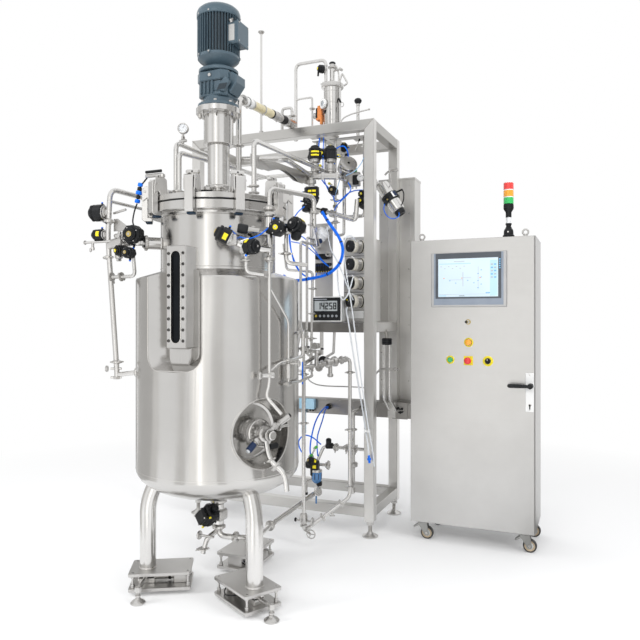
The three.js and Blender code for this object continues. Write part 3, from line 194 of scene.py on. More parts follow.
tree.links.new(floor_glow.outputs[0], floor_mix.inputs[2])
tree.links.new(floor_mix.outputs[0], floor_out.inputs["Surface"])
floor_mesh.materials.append(floor_finish)


# ------------------------------------------------------------------ hoses
# The clear silicone feed tube is pushed over the lowest pump's outlet and hangs to its quick connector;
# extruded silicone is milky, soft and slightly tacky, so it is cloudy at its edges.
def blank(name):
    """A new material with its shader, ready to be wired."""
    finish = bpy.data.materials.new(name)
    tree = nodes_of(finish)
    shader = tree.nodes.new("ShaderNodeBsdfPrincipled")
    out = tree.nodes.new("ShaderNodeOutputMaterial")
    tree.links.new(shader.outputs[0], out.inputs["Surface"])
    return finish, tree, shader


def noise(tree, scale, stretch=(1, 1, 1), detail=4.0):
    """Noise over the piece's own coordinates, stretched along an axis by a small scale there."""
    where = tree.nodes.new("ShaderNodeTexCoord")
    mapping = tree.nodes.new("ShaderNodeMapping")
    mapping.inputs["Scale"].default_value = stretch
    texture = tree.nodes.new("ShaderNodeTexNoise")
    texture.inputs["Scale"].default_value = scale
    texture.inputs["Detail"].default_value = detail
    tree.links.new(where.outputs["Object"], mapping.inputs["Vector"])
    tree.links.new(mapping.outputs["Vector"], texture.inputs["Vector"])
    return texture.outputs["Fac"]


def spread(tree, value, low, high, start=0.3, end=0.7):
    """Turns a noise value into a range of numbers."""
    node = tree.nodes.new("ShaderNodeMapRange")
    node.inputs["From Min"].default_value = start
    node.inputs["From Max"].default_value = end
    node.inputs["To Min"].default_value = low
    node.inputs["To Max"].default_value = high
    tree.links.new(value, node.inputs["Value"])
    return node.outputs["Result"]


def tone(tree, value, first, second, start=0.3, end=0.7):
    """Turns a noise value into a colour between two."""
    ramp = tree.nodes.new("ShaderNodeValToRGB")
    ramp.color_ramp.elements[0].position = start
    ramp.color_ramp.elements[0].color = (*first, 1)
    ramp.color_ramp.elements[1].position = end
    ramp.color_ramp.elements[1].color = (*second, 1)
    tree.links.new(value, ramp.inputs["Fac"])
    return ramp.outputs["Color"]


def relief(tree, shader, value, strength, depth, under=None):
    bump = tree.nodes.new("ShaderNodeBump")
    if under:
        tree.links.new(under, bump.inputs["Normal"])
    bump.inputs["Strength"].default_value = strength
    bump.inputs["Distance"].default_value = depth
    tree.links.new(value, bump.inputs["Height"])
    tree.links.new(bump.outputs["Normal"], shader.inputs["Normal"])
    return bump.outputs["Normal"]


def coated(name, colour, other, roughness, grain=900, relief_depth=0.00008, metal=0.0, coat=0.0, gloss=0.5):
    """Plastic, paint or rubber: two close tones in soft clouds under a fine grain."""
    finish, tree, shader = blank(name)
    shader.inputs["Metallic"].default_value = metal
    shader.inputs["Coat Weight"].default_value = coat
    shader.inputs["Specular IOR Level"].default_value = gloss
    clouds = noise(tree, 9, detail=5)
    fine = noise(tree, grain, detail=2)
    tree.links.new(tone(tree, clouds, colour, other), shader.inputs["Base Color"])
    tree.links.new(spread(tree, clouds, roughness * 0.85, roughness * 1.2), shader.inputs["Roughness"])
    relief(tree, shader, fine, 0.35, relief_depth)
    return finish


def rounded(points, bend, steps=6):
    """A line through the points with each corner swept round."""
    line = [Vector(points[0])]
    for before, here, after in zip(points, points[1:], points[2:]):
        here = Vector(here)
        back = Vector(before) - here
        ahead = Vector(after) - here
        sweep = min(bend, 0.47 * back.length, 0.47 * ahead.length)
        start = here + back.normalized() * sweep
        end = here + ahead.normalized() * sweep
        for i in range(steps + 1):
            t = i / steps
            line.append(start * (1 - t) ** 2 + here * 2 * t * (1 - t) + end * t * t)
    line.append(Vector(points[-1]))
    return line


def flowing(points, per_span=8):
    """A smooth line through the points, as a soft hose lies."""
    spots = [Vector(point) for point in points]
    ends = [spots[0] * 2 - spots[1], *spots, spots[-1] * 2 - spots[-2]]
    line = []
    for a, b, c, d in zip(ends, ends[1:], ends[2:], ends[3:]):
        for i in range(per_span):
            t = i / per_span
            line.append(
                0.5
                * (2 * b + (c - a) * t + (2 * a - 5 * b + 4 * c - d) * t**2 + (3 * b - a - 3 * c + d) * t**3)
            )
    line.append(spots[-1])
    return line


def upright(axis):
    """The turn that stands +Z up along an axis."""
    return Vector((0, 0, 1)).rotation_difference(Vector(axis).normalized()).to_matrix()


class Build:
    """Collects the shapes of one piece, each in its finish, and makes them one mesh in the row frame."""

    def __init__(self):
        self.corners = []
        self.faces = []
        self.finishes = []
        self.skins = []
        self.turn = Matrix.Identity(4)

    def shape(self, finish, corners, faces):
        if finish not in self.finishes:
            self.finishes.append(finish)
        first = len(self.corners)
        self.corners += [self.turn @ Vector(corner) for corner in corners]
        self.faces += [[first + i for i in face] for face in faces]
        self.skins += [self.finishes.index(finish)] * len(faces)

    def turned(self, finish, foot, axis, profile, sides=32):
        """A profile of (radius, height) pairs turned about an axis; an open one closes on itself."""
        frame_turn = upright(axis)
        corners = []
        rings = []
        for radius, height in profile:
            count = 1 if radius < 0.01 else sides
            rings.append(range(len(corners), len(corners) + count))
            for i in range(count):
                turn = 2 * math.pi * i / sides
                spot = Vector((radius * math.cos(turn), radius * math.sin(turn), height))
                corners.append(Vector(foot) + frame_turn @ spot)
        if profile[0][0] >= 0.01 and profile[-1][0] >= 0.01:
            rings.append(rings[0])
        faces = []
        for low, high in zip(rings, rings[1:]):
            if len(low) == len(high) == 1:
                continue
            for i in range(sides):
                k = (i + 1) % sides
                ring = [low[i % len(low)], low[k % len(low)], high[k % len(high)], high[i % len(high)]]
                faces.append(list(dict.fromkeys(ring)))
        self.shape(finish, corners, faces)

    def rod(self, finish, start, end, radius, sides=24, edge=0.8, end_radius=None):
        """A round bar with slightly broken edges."""
        length = (Vector(end) - Vector(start)).length
        far = radius if end_radius is None else end_radius
        edge = min(edge, length / 3, radius / 2, far / 2)
        profile = [(0, 0), (radius - edge, 0), (radius, edge), (far, length - edge), (far - edge, length),
                (0, length)]
        self.turned(finish, start, Vector(end) - Vector(start), profile, sides)

    def tube(self, finish, line, radius, sides=14):
        """A round section swept along a line of points."""
        line = [Vector(point) for point in line]
        corners = []
        across = None
        before = None
        for i, point in enumerate(line):
            ahead = (line[min(i + 1, len(line) - 1)] - line[max(i - 1, 0)]).normalized()
            if across is None:
                across = ahead.orthogonal().normalized()
            else:
                across = before.rotation_difference(ahead) @ across
            before = ahead
            up = ahead.cross(across)
            for k in range(sides):
                turn = 2 * math.pi * k / sides
                corners.append(point + (across * math.cos(turn) + up * math.sin(turn)) * radius)
        faces = [list(range(sides))[::-1], list(range(len(corners) - sides, len(corners)))]
        for i in range(len(line) - 1):
            for k in range(sides):
                n = (k + 1) % sides
                faces.append([i * sides + k, i * sides + n, (i + 1) * sides + n, (i + 1) * sides + k])
        self.shape(finish, corners, faces)

    def block(self, finish, low, high, edge=1.5):
        """A box with its edges chamfered."""
        low, high = Vector(low), Vector(high)
        edge = min(edge, *[(high[i] - low[i]) * 0.4 for i in range(3)])
        corners = []
        number = {}
        for key in [(a, b, c) for a in (0, 1) for b in (0, 1) for c in (0, 1)]:
            spot = Vector([high[i] if key[i] else low[i] for i in range(3)])
            for face in range(3):
                inset = Vector([0 if i == face else (-edge if key[i] else edge) for i in range(3)])
                number[key, face] = len(corners)
                corners.append(spot + inset)
        faces = []
        for axis in range(3):
            one, two = [i for i in range(3) if i != axis]
            for side in (0, 1):
                ring = []
                for a, b in [(0, 0), (1, 0), (1, 1), (0, 1)]:
                    key = [0, 0, 0]
                    key[axis], key[one], key[two] = side, a, b
                    ring.append(number[tuple(key), axis])
                faces.append(ring)
            for a in (0, 1):
                for b in (0, 1):
                    low_key = [0, 0, 0]
                    low_key[one], low_key[two] = a, b
                    high_key = list(low_key)
                    high_key[axis] = 1
                    low_key, high_key = tuple(low_key), tuple(high_key)
                    faces.append(
                        [number[low_key, one], number[low_key, two], number[high_key, two],
                            number[high_key, one]]
                    )
        for key in [(a, b, c) for a in (0, 1) for b in (0, 1) for c in (0, 1)]:
            faces.append([number[key, 0], number[key, 1], number[key, 2]])
        self.shape(finish, corners, faces)

    def prism(self, finish, outline, foot, axis, depth, upward=(0, 0, 1), edge=0.0):
        """A flat outline of (across, up) pairs raised along an axis, its two rims chamfered by the edge."""
        ahead = Vector(axis).normalized()
        across = Vector(upward).cross(ahead).normalized()
        up = ahead.cross(across)
        n = len(outline)
        area = sum(outline[i - 1][0] * outline[i][1] - outline[i][0] * outline[i - 1][1] for i in range(n))
        inset = []
        for i in range(n):
            here = Vector(outline[i])
            back = (here - Vector(outline[i - 1])).normalized()
            on = (Vector(outline[(i + 1) % n]) - here).normalized()
            inward = (Vector((-back.y, back.x)) + Vector((-on.y, on.x))).normalized()
            miter = max(0.4, abs(inward.dot(Vector((-on.y, on.x)))))
            inset.append(here + inward * (edge / miter * (1 if area > 0 else -1)))
        layers = [(outline, 0), (outline, depth)]
        if edge:
            layers = [(inset, 0), (outline, edge), (outline, depth - edge), (inset, depth)]
        corners = []
        for ring, rise in layers:
            corners += [Vector(foot) + across * a + up * b + ahead * rise for a, b in ring]
        last = len(corners) - n
        faces = [list(range(n))[::-1], list(range(last, last + n))]
        for first in range(0, last, n):
            faces += [[first + i, first + (i + 1) % n, first + n + (i + 1) % n, first + n + i]
                    for i in range(n)]
        self.shape(finish, corners, faces)

    def mesh(self, name, smooth=35):
        """The collected shapes as one mesh object in the row frame, with its sharp edges kept."""
        data = bpy.data.meshes.new(name)
        data.from_pydata([place(*corner) for corner in self.corners], [], self.faces)
        for finish in self.finishes:
            data.materials.append(finish)
        data.polygons.foreach_set("material_index", self.skins)
        return settled(data, name, smooth)


def settled(data, name, smooth=35):
    """Turns every face outwards, sets the smooth shading and links the object."""
    loose = bmesh.new()
    loose.from_mesh(data)
    bmesh.ops.recalc_face_normals(loose, faces=loose.faces)
    loose.to_mesh(data)
    loose.free()
    data.shade_smooth()
    data.set_sharp_from_angle(angle=math.radians(smooth))
    piece = bpy.data.objects.new(name, data)
    bpy.context.scene.collection.objects.link(piece)
    return piece


def fit(piece, body, slot, *nodes):
    """Fixes a finished piece to its body and hides the imported parts that it stands for; the slot is not
    used.
    """
    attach(piece, body)
    if nodes:
        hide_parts(*nodes)
    return piece


silicone, silicone_tree, silicone_shader = blank("milky_silicone")
silicone_shader.inputs["Roughness"].default_value = 0.28
silicone_shader.inputs["Transmission Weight"].default_value = 0.35
silicone_shader.inputs["IOR"].default_value = 1.41
silicone_tree.links.new(
    tone(silicone_tree, noise(silicone_tree, 14), (0.80, 0.84, 0.88), (0.93, 0.95, 0.97)),
    silicone_shader.inputs["Base Color"],
)
relief(silicone_tree, silicone_shader, noise(silicone_tree, 120), 0.2, 0.0004)
blue_nylon = coated("blue_nylon", (0.004, 0.13, 0.74), (0.010, 0.19, 0.88), 0.32, gloss=0.25)


def hose(name, finish, line, diameter, slot, far_end="object", stiffness="medium", body="plant", nodes=(),
        **facts):
    """One free hose: a tube swept along its line."""
    tube = Build()
    tube.tube(finish, line, diameter / 2, 10)
    piece = fit(tube.mesh(name), body, slot, *nodes)
    return piece


FEED_TUBE = 10
feed_route = [
    (-176, 24, 1366),
    (-170, 0, 1352),
    (-160, -16, 1320),
    (-146, -22, 1260),
    (-132, -26, 1180),
    (-114, -28, 1080),
    (-94, -30, 970),
    (-72, -32, 850),
    (-52, -34, 740),
    (-34, -36, 630),
    (-22, -38, 560),
    (-16, -38, 500),
]
feed_line = flowing(feed_route)
connector = Build()
feed_end = feed_line[-1]
feed_way = (feed_line[-1] - feed_line[-2]).normalized()
connector.turned(
    blue_nylon,
    feed_end + feed_way * 0.4,
    feed_way,
    [(0, 0), (6.5, 0), (6.5, 12), (7.5, 16), (12, 18), (12, 28), (8, 30), (7, 34), (7, 44), (5, 46),
        (0, 46)],
    20,
)
connector_piece = fit(connector.mesh("feed_connector_body"), "plant", "blue_hose", "feed_connector")
hose(
    "feed_hose",
    silicone,
    feed_line,
    FEED_TUBE,
    "clear_silicone",
    far_end="connector",
    stiffness="limp",
    nodes=["feed_tube"],
    lay="hanging",
    with_pieces=[connector_piece],
)


# ------------------------------------------------------------------ jacketed vessel
# The tank is rolled and welded from 6 mm stainless plate with a dished bottom, ground and polished; the
# cladding round it is thin sheet, seam-welded and brushed, with pockets for the sight glass and side port.
VESSEL = Vector((-490, -920, 0))
TANK = 275
JACKET = 390
FLANGE = 332
FLANGE_LOW, FLANGE_TOP = 1785, 1827
JACKET_TOP = 1490
UP = Vector((0, 0, 1))


def stainless(name, light, dark, smooth, rough, stretch=(1, 1, 1), grain=260, depth=0.00004, clouds=3.0,
        waves=0.0):
    """Stainless steel: fine grain along one way, with soft clouds from grinding and handling."""
    finish, tree, shader = blank(name)
    shader.inputs["Metallic"].default_value = 1.0
    cloud = noise(tree, clouds, detail=6)
    lines = noise(tree, grain, stretch, detail=3)
    mixed = tree.nodes.new("ShaderNodeMath")
    mixed.operation = "MULTIPLY_ADD"
    mixed.inputs[1].default_value = 0.45
    tree.links.new(lines, mixed.inputs[0])
    halved = tree.nodes.new("ShaderNodeMath")
    halved.operation = "MULTIPLY"
    halved.inputs[1].default_value = 0.55
    tree.links.new(cloud, halved.inputs[0])
    tree.links.new(halved.outputs[0], mixed.inputs[2])
    tree.links.new(tone(tree, cloud, dark, light), shader.inputs["Base Color"])
    tree.links.new(spread(tree, mixed.outputs[0], smooth, rough, 0.35, 0.65), shader.inputs["Roughness"])
    sheet = relief(tree, shader, noise(tree, 7, (1, 1, 0.12), detail=2), 1.0, waves) if waves else None
    relief(tree, shader, lines, 0.16, depth, sheet)
    return finish


hoop_brushed = stainless(
    "hoop_brushed_steel", (0.64, 0.63, 0.615), (0.57, 0.56, 0.545), 0.16, 0.24, (0.03, 0.03, 1), 420,
        0.00003, waves=0.006
)
polished_pipe = stainless("polished_pipe", (0.78, 0.77, 0.755), (0.66, 0.65, 0.635), 0.13, 0.24, grain=60)
bright_weld = stainless("bright_weld", (0.74, 0.73, 0.71), (0.62, 0.60, 0.575), 0.20, 0.34, grain=500,
        depth=0.0003)
turned_steel = stainless("turned_steel", (0.70, 0.69, 0.675), (0.55, 0.54, 0.525), 0.20, 0.34, grain=500)
# Near-black: painted shade in holes, sockets, slots, gaps and joints, and the real black of gauge pointers,
# scale marks and display digits.
painted_shade_and_black_marks = coated("painted_shade_and_black_marks", (0.006, 0.006, 0.007), (0.012, 0.012, 0.013), 0.5, gloss=0.2)


def bent(radius, depth, knuckle, inner=0.0, steps=14):
    """Profile points of a dished end from an inner radius out to the wall."""
    first = math.asin(inner / radius)
    return [
        (radius * math.sin(turn), knuckle - depth * math.cos(turn))
        for turn in [first + (math.pi / 2 - first) * i / steps for i in range(steps + 1)]
    ]


def round_vessel(distance, degrees, height):
    turn = math.radians(degrees)
    return VESSEL + Vector((distance * math.cos(turn), distance * math.sin(turn), height))


def boolean(piece, other, operation):
    """Cuts or joins a closed mesh with another, which is used up."""
    change = piece.modifiers.new(operation, "BOOLEAN")
    change.operation = operation
    change.solver = "EXACT"
    change.object = other
    bpy.context.view_layer.update()
    result = bpy.data.meshes.new_from_object(piece.evaluated_get(bpy.context.evaluated_depsgraph_get()))
    piece.modifiers.clear()
    piece.data = result
    bpy.data.objects.remove(other)
    return piece


def copies(name, template, finish, centre, count, step=(0, 0, 0), turn=0.0, first=0.0, smooth=35):
    """Copies of one shape, in a row or round an axis, made by Geometry Nodes and turned into a plain mesh."""
    shape = template.mesh(name + "_template", smooth)
    shape.data.transform(Matrix.Translation(-corner))
    tree = bpy.data.node_groups.new(name + "_copies", "GeometryNodeTree")
    sockets = {}
    for label, kind in [
        ("Template", "NodeSocketObject"),
        ("Copies", "NodeSocketInt"),
        ("Centre", "NodeSocketVector"),
        ("Step", "NodeSocketVector"),
        ("Turn", "NodeSocketFloat"),
        ("First turn", "NodeSocketFloat"),
        ("Finish", "NodeSocketMaterial"),
    ]:
        sockets[label] = tree.interface.new_socket(label, in_out="INPUT", socket_type=kind).identifier
    tree.interface.new_socket("Geometry", in_out="OUTPUT", socket_type="NodeSocketGeometry")
    given = tree.nodes.new("NodeGroupInput")
    out = tree.nodes.new("NodeGroupOutput")
    line = tree.nodes.new("GeometryNodeMeshLine")
    info = tree.nodes.new("GeometryNodeObjectInfo")
    index = tree.nodes.new("GeometryNodeInputIndex")
    angle = tree.nodes.new("ShaderNodeMath")
    angle.operation = "MULTIPLY_ADD"
    spin = tree.nodes.new("ShaderNodeCombineXYZ")
    put = tree.nodes.new("GeometryNodeInstanceOnPoints")
    real = tree.nodes.new("GeometryNodeRealizeInstances")
    paint = tree.nodes.new("GeometryNodeSetMaterial")
    slot_of = tree.nodes.new("GeometryNodeInputMaterialIndex")
    main_faces = tree.nodes.new("ShaderNodeMath")
    main_faces.operation = "LESS_THAN"
    main_faces.inputs[1].default_value = 0.5
    join = tree.links.new
    join(given.outputs["Copies"], line.inputs["Count"])
    join(given.outputs["Centre"], line.inputs["Start Location"])
    join(given.outputs["Step"], line.inputs["Offset"])
    join(given.outputs["Template"], info.inputs["Object"])
    join(index.outputs[0], angle.inputs[0])
    join(given.outputs["Turn"], angle.inputs[1])
    join(given.outputs["First turn"], angle.inputs[2])
    join(angle.outputs[0], spin.inputs["Z"])
    join(line.outputs["Mesh"], put.inputs["Points"])
    join(info.outputs["Geometry"], put.inputs["Instance"])
    join(spin.outputs[0], put.inputs["Rotation"])
    join(put.outputs["Instances"], real.inputs["Geometry"])
    join(real.outputs["Geometry"], paint.inputs["Geometry"])
    join(given.outputs["Finish"], paint.inputs["Material"])
    join(slot_of.outputs[0], main_faces.inputs[0])
    join(main_faces.outputs[0], paint.inputs["Selection"])
    join(paint.outputs["Geometry"], out.inputs["Geometry"])
    piece = bpy.data.objects.new(name, bpy.data.meshes.new(name))
    bpy.context.scene.collection.objects.link(piece)
    maker = piece.modifiers.new("copies", "NODES")
    maker.node_group = tree
    maker[sockets["Template"]] = shape
    maker[sockets["Copies"]] = count
    maker[sockets["Centre"]] = place(*centre)
    maker[sockets["Step"]] = Vector(step) * MM
    maker[sockets["Turn"]] = math.radians(turn)
    maker[sockets["First turn"]] = math.radians(first)
    maker[sockets["Finish"]] = finish
    bpy.context.view_layer.update()
    piece.data = bpy.data.meshes.new_from_object(piece.evaluated_get(bpy.context.evaluated_depsgraph_get()))
    piece.modifiers.clear()
    bpy.data.objects.remove(shape)
    bpy.data.node_groups.remove(tree)
    return piece


tank = Build()
tank.turned(
    hoop_brushed,
    VESSEL,
    UP,
    [
        (0, 520),
        *bent(TANK, 100, 620)[1:],
        (TANK, FLANGE_LOW - 8),
        (TANK + 6, FLANGE_LOW),
        (FLANGE - 3, FLANGE_LOW),
        (FLANGE, FLANGE_LOW + 3),
        (FLANGE, FLANGE_TOP - 3),
        (FLANGE - 3, FLANGE_TOP),
        (269, FLANGE_TOP),
        *bent(269, 94, 620)[:0:-1],
        (0, 526),
    ],
    144,
)
for height in (1536, 1771):
    ring = [round_vessel(TANK + 0.4, 2.5 * i, height) for i in range(145)]
    tank.tube(bright_weld, ring, 1.6, 6)
fit(tank.mesh("tank_body"), "plant", "polished_steel", "tank_shell")

gasket = Build()
gasket.turned(
    coated("black_gasket", (0.010, 0.010, 0.011), (0.022, 0.022, 0.022), 0.6, gloss=0.25),
    VESSEL,
    UP,
    [(271, 1827.3), (330, 1827.3), (331, 1829.5), (330, 1831.7), (271, 1831.7)],
    96,
)
fit(gasket.mesh("lid_seal"), "plant", "black_rubber", "lid_gasket")

NECK = TANK + 0.6
cladding_shape = Build()
cladding_shape.turned(
    hoop_brushed,
    VESSEL,
    UP,
    [
        (36, 446),
        *bent(JACKET, 152, 597, 36)[1:],
        (JACKET, JACKET_TOP - 10),
        (JACKET - 3, JACKET_TOP - 3),
        (JACKET - 10, JACKET_TOP),
        (NECK + 8, JACKET_TOP + 30),
        (NECK, JACKET_TOP + 34),
        (NECK, 640),
        (36, 530),
    ],
    160,
)
cladding = cladding_shape.mesh("cladding")

def recess_outline(half, foot, bend, forward):
    """The sight recess at one depth, from the vessel's axis: open above, rounded at its two lower corners."""
    line = [(-half, JACKET_TOP + 200), (-half, JACKET_TOP - 6)]
    for side, start in ((-1, math.pi), (1, 1.5 * math.pi)):
        for i in range(13):
            turn = start + math.pi / 24 * i
            line.append((side * (half - bend) + bend * math.cos(turn), foot + bend + bend * math.sin(turn)))
    line += [(half, JACKET_TOP - 6), (half, JACKET_TOP + 200)]
    return [Vector((across, forward, height)) for across, height in line]


mouth = recess_outline(183.5, 1058, 92, -410)
recess_floor = recess_outline(80, 1108, 40, -290)
count = len(mouth)
pocket_shape = Build()
pocket_shape.shape(
    hoop_brushed,
    [VESSEL + spot for spot in mouth + recess_floor],
    [
        list(range(count)),
        list(range(2 * count - 1, count - 1, -1)),
        *[[(i + 1) % count, i, count + i, count + (i + 1) % count] for i in range(count)],
    ],
)
pocket = pocket_shape.mesh("pocket")
boolean(cladding, pocket, "DIFFERENCE")

PORT_ANGLE, PORT_HEIGHT = -27, 790
port_way = round_vessel(1, PORT_ANGLE, 0) - VESSEL
dish = Build()
dish.turned(
    hoop_brushed,
    round_vessel(TANK + 1, PORT_ANGLE, PORT_HEIGHT),
    port_way,
    [(0, 0), (118, 0), (128, 6), (172, 180), (0, 180)],
    72,
)
boolean(cladding, dish.mesh("port_dish"), "DIFFERENCE")
cladding_mesh = settled(cladding.data, "vessel_cladding", 28)
bpy.data.objects.remove(cladding)
fit(cladding_mesh, "plant", "polished_steel", "jacket_cladding")

seams = Build()


recess_edge = []
for near, deep in zip(mouth[1:-1], recess_floor[1:-1]):
    while near.xy.length > JACKET + 0.2:
        near = near.lerp(deep, 0.01)
    recess_edge.append(VESSEL + near)
seams.tube(bright_weld, recess_edge, 2.2, 8)
seams.tube(bright_weld, [VESSEL + spot for spot in recess_floor[1:-1]], 1.6, 6)
port_side = UP.cross(port_way)
DISH_SEAM = 157
dish_edge = []
for i in range(73):
    turn = 2 * math.pi * i / 72
    across = DISH_SEAM * math.cos(turn)
    reach_out = math.sqrt(JACKET**2 - across**2)
    edge_height = PORT_HEIGHT + DISH_SEAM * math.sin(turn)
    dish_edge.append(VESSEL + port_way * reach_out + port_side * across + UP * edge_height)
seams.tube(bright_weld, dish_edge, 2.2, 8)
seams.tube(bright_weld, [round_vessel(JACKET - 0.3, 200 + 1.5 * i, 597) for i in range(214)], 1.0, 6)
fit(seams.mesh("cladding_seams"), "plant", "polished_steel")


# ------------------------------------------------------------------ lid with its swing clamps
# The domed lid is spun stainless with a machined flange; ten swing clamps of brushed bar, each drawn down by
# a screw with a crossbar, hold it. Short ports with hygienic clamps are welded in, and three are blanked off.
LID_BOTTOM, LID_RIM, LID_TOP = 1832, 1858, 1920
COLLAR, COLLAR_TOP, STOOL_BORE = 61, 1944, 32
LID_PORTS = [(-250, 0, 12), (-210, -30, 12), (196, 0, 12), (-15, 220, 15), (120, 170, 30), (-120, -170, 26),
        (110, -180, 20)]
bar_steel = stainless("bar_steel", (0.78, 0.77, 0.755), (0.68, 0.67, 0.655), 0.26, 0.38, (1, 1, 0.05), 480,
        0.00004)
blue_pad = coated("blue_pad", (0.012, 0.026, 0.048), (0.02, 0.038, 0.062), 0.5, gloss=0.25)


def triclamp(piece, at, axis, pipe, finish=None, width=16, bolt=0.0):
    """A hygienic clamp round a pipe: two flared lips, the band over them and its wing-nut bolt."""
    finish = finish or turned_steel
    axis = Vector(axis).normalized()
    lip = pipe + 12
    start = Vector(at) - axis * width
    half = width * 0.4
    profile = [(pipe, 0), (pipe + 1.2, 2), (lip - 4, width - half - 1.5), (lip, width - half)]
    profile += [(lip, width + half), (lip - 4, width + half + 1.5), (pipe + 1.2, 2 * width - 2),
            (pipe, 2 * width)]
    piece.turned(finish, start, axis, [(pipe - 1, 0), *profile, (pipe - 1, 2 * width)], 28)
    band = [(lip - 2, width - half), (lip + 2, width - half + 1.5), (lip + 2, width + half - 1.5),
            (lip - 2, width + half)]
    piece.turned(bright_weld, start, axis, band, 28)
    side = axis.orthogonal().normalized()
    side = Quaternion(axis, bolt) @ side
    across = axis.cross(side)
    for turn in (1, -1):
        lug = Vector(at) + side * turn * (lip + 4)
        piece.rod(finish, lug - across * 6, lug + across * 6, 4, 10)
    nut = Vector(at) + side * (lip + 5)
    piece.rod(finish, nut, nut + across * 17, 3, 10)
    piece.rod(finish, nut + across * 14 - side * 7, nut + across * 14 + side * 7, 2.6, 8)


def dome_height(radius):
    return LID_RIM + (LID_TOP - LID_RIM) * math.cos(math.pi / 2 * min(radius / TANK, 1))


lid = Build()
dome = [(r, dome_height(r)) for r in [TANK - 3 - (TANK - 3 - COLLAR) * i / 24 for i in range(25)]]
lid.turned(
    hoop_brushed,
    VESSEL,
    UP,
    [
        (TANK - 4, LID_BOTTOM),
        (FLANGE - 2, LID_BOTTOM),
        (FLANGE, LID_BOTTOM + 2),
        (FLANGE, LID_RIM - 3),
        (FLANGE - 3, LID_RIM),
        (TANK + 8, LID_RIM),
        *dome,
        (COLLAR, LID_TOP),
        (COLLAR, COLLAR_TOP - 3),
        (COLLAR - 3, COLLAR_TOP),
        (STOOL_BORE, COLLAR_TOP),
        (STOOL_BORE, LID_TOP - 9),
        (180, LID_RIM + 20),
        (TANK - 8, LID_BOTTOM + 8),
    ],
    144,
)
lid.tube(bright_weld, [VESSEL + Vector((63 * math.cos(t / 8), 63 * math.sin(t / 8), dome_height(61)))
        for t in range(51)], 2, 6)
for x, y, radius in LID_PORTS:
    foot = VESSEL + Vector((x, y, dome_height(math.hypot(x, y)) - 6))
    wall = radius + 4
    lid.rod(polished_pipe, foot, foot + Vector((0, 0, 22)), wall, 28)
    lid.turned(bright_weld, foot + Vector((0, 0, 6)), UP, [(wall, -4), (wall + 3, 0), (wall, 4)], 28)
    triclamp(lid, foot + Vector((0, 0, 20)), UP, wall - 4, width=8, bolt=x)
    if radius > 15:
        lid.turned(polished_pipe, foot + Vector((0, 0, 24)), UP,
                [(0, 3), (wall * 0.7, 3), (wall + 6, 0), (0, 0)], 28)
lens_port = VESSEL + Vector((30, -150, dome_height(153)))
lid.turned(turned_steel, lens_port - Vector((0, 0, 6)), UP,
        [(0, 0), (44, 0), (44, 14), (40, 18), (30, 18), (28, 14), (0, 14)], 40)
lid.turned(coated("lamp_glass", (0.05, 0.06, 0.065), (0.08, 0.09, 0.1), 0.06, coat=0.8), lens_port, UP,
        [(0, 9), (28, 9), (28, 8), (0, 8)], 32)
for angle in range(0, 360, 60):
    way = Vector((math.cos(math.radians(angle)), math.sin(math.radians(angle)), 0)) * 36
    lid.rod(turned_steel, lens_port + way + Vector((0, 0, 10)), lens_port + way + Vector((0, 0, 17)), 4, 6)
fit(lid.mesh("lid_dome"), "plant", "polished_steel", "vessel_lid")

CLAMPS, FIRST_CLAMP = 10, -43
claw = Build()
outer, screw = FLANGE + 32, FLANGE - 18
low, high = FLANGE_LOW - 18, LID_RIM + 80
claw.prism(
    bar_steel,
    [
        (FLANGE - 16, low),
        (outer - 10, low),
        (outer, low + 10),
        (outer, high - 20),
        (outer - 6, high - 12),
        (FLANGE + 4, high - 12),
        (FLANGE + 4, FLANGE_LOW - 0.4),
        (FLANGE - 16, FLANGE_LOW - 0.4),
    ],
    (0, 20, 0),
    (0, -1, 0),
    40,
    edge=1.5,
)
for side in (-1, 1):
    claw.prism(
        bar_steel,
        [
            (outer - 6, high - 44),
            (outer - 12, high - 6),
            (FLANGE - 26, high),
            (FLANGE - 36, high - 8),
            (FLANGE - 40, LID_RIM + 8),
            (FLANGE - 34, LID_RIM - 1),
            (FLANGE - 8, LID_RIM - 1),
            (FLANGE + 6, LID_RIM + 22),
            (outer - 6, LID_RIM + 4),
        ],
        (0, side * 25 + 3, 0),
        (0, -1, 0),
        6,
        edge=1,
    )
    claw.rod(turned_steel, (outer - 16, side * 27, high - 30), (outer - 16, side * 31, high - 30), 6, 6)
claw.block(bar_steel, (FLANGE - 34, -21, LID_RIM - 0.5), (FLANGE - 6, 21, LID_RIM + 20), 3)
claw.block(bar_steel, (FLANGE - 36, -21, high - 40), (FLANGE + 6, 21, high - 14), 3)
claw.rod(turned_steel, (screw, 0, LID_RIM + 18), (screw, 0, high + 4), 9, 20)
claw.rod(turned_steel, (screw, 0, high - 12), (screw, 0, high - 2), 15, 6)
claw.block(polished_pipe, (screw - 10, -32, high), (screw + 10, 32, high + 20), 5)
# Near-black discs in the screw's ends: painted shade in its sockets.
claw.rod(painted_shade_and_black_marks, (screw + 9.5, 0, high + 10), (screw + 10.4, 0, high + 10), 4.5, 6)
claw.rod(painted_shade_and_black_marks, (screw, 0, high + 19.5), (screw, 0, high + 20.3), 4.5, 6)
claw.block(blue_pad, (FLANGE - 14, -17, low - 10), (FLANGE + 14, 17, low + 1), 2)
clamps = copies("lid_clamps", claw, bar_steel, VESSEL, CLAMPS, turn=360 / CLAMPS, first=FIRST_CLAMP)
fit(clamps, "plant", "brushed_steel")


# ------------------------------------------------------------------ sight glass
# A long bevelled stainless housing is welded to the tank in the cladding's pocket. Two rows of socket screws
# draw its front frame down over a dark, round-ended strip of glass.
SIGHT_HALF, SIGHT_FRONT, SIGHT_LOW, SIGHT_HIGH = 50, -353, 1168, 1621
SLOT_HALF, SLOT_MARGIN = 23.5, 24
sight_grey = stainless("sight_housing", (0.66, 0.65, 0.635), (0.56, 0.55, 0.535), 0.26, 0.42, (1, 1, 0.04),
        420, 0.00004)


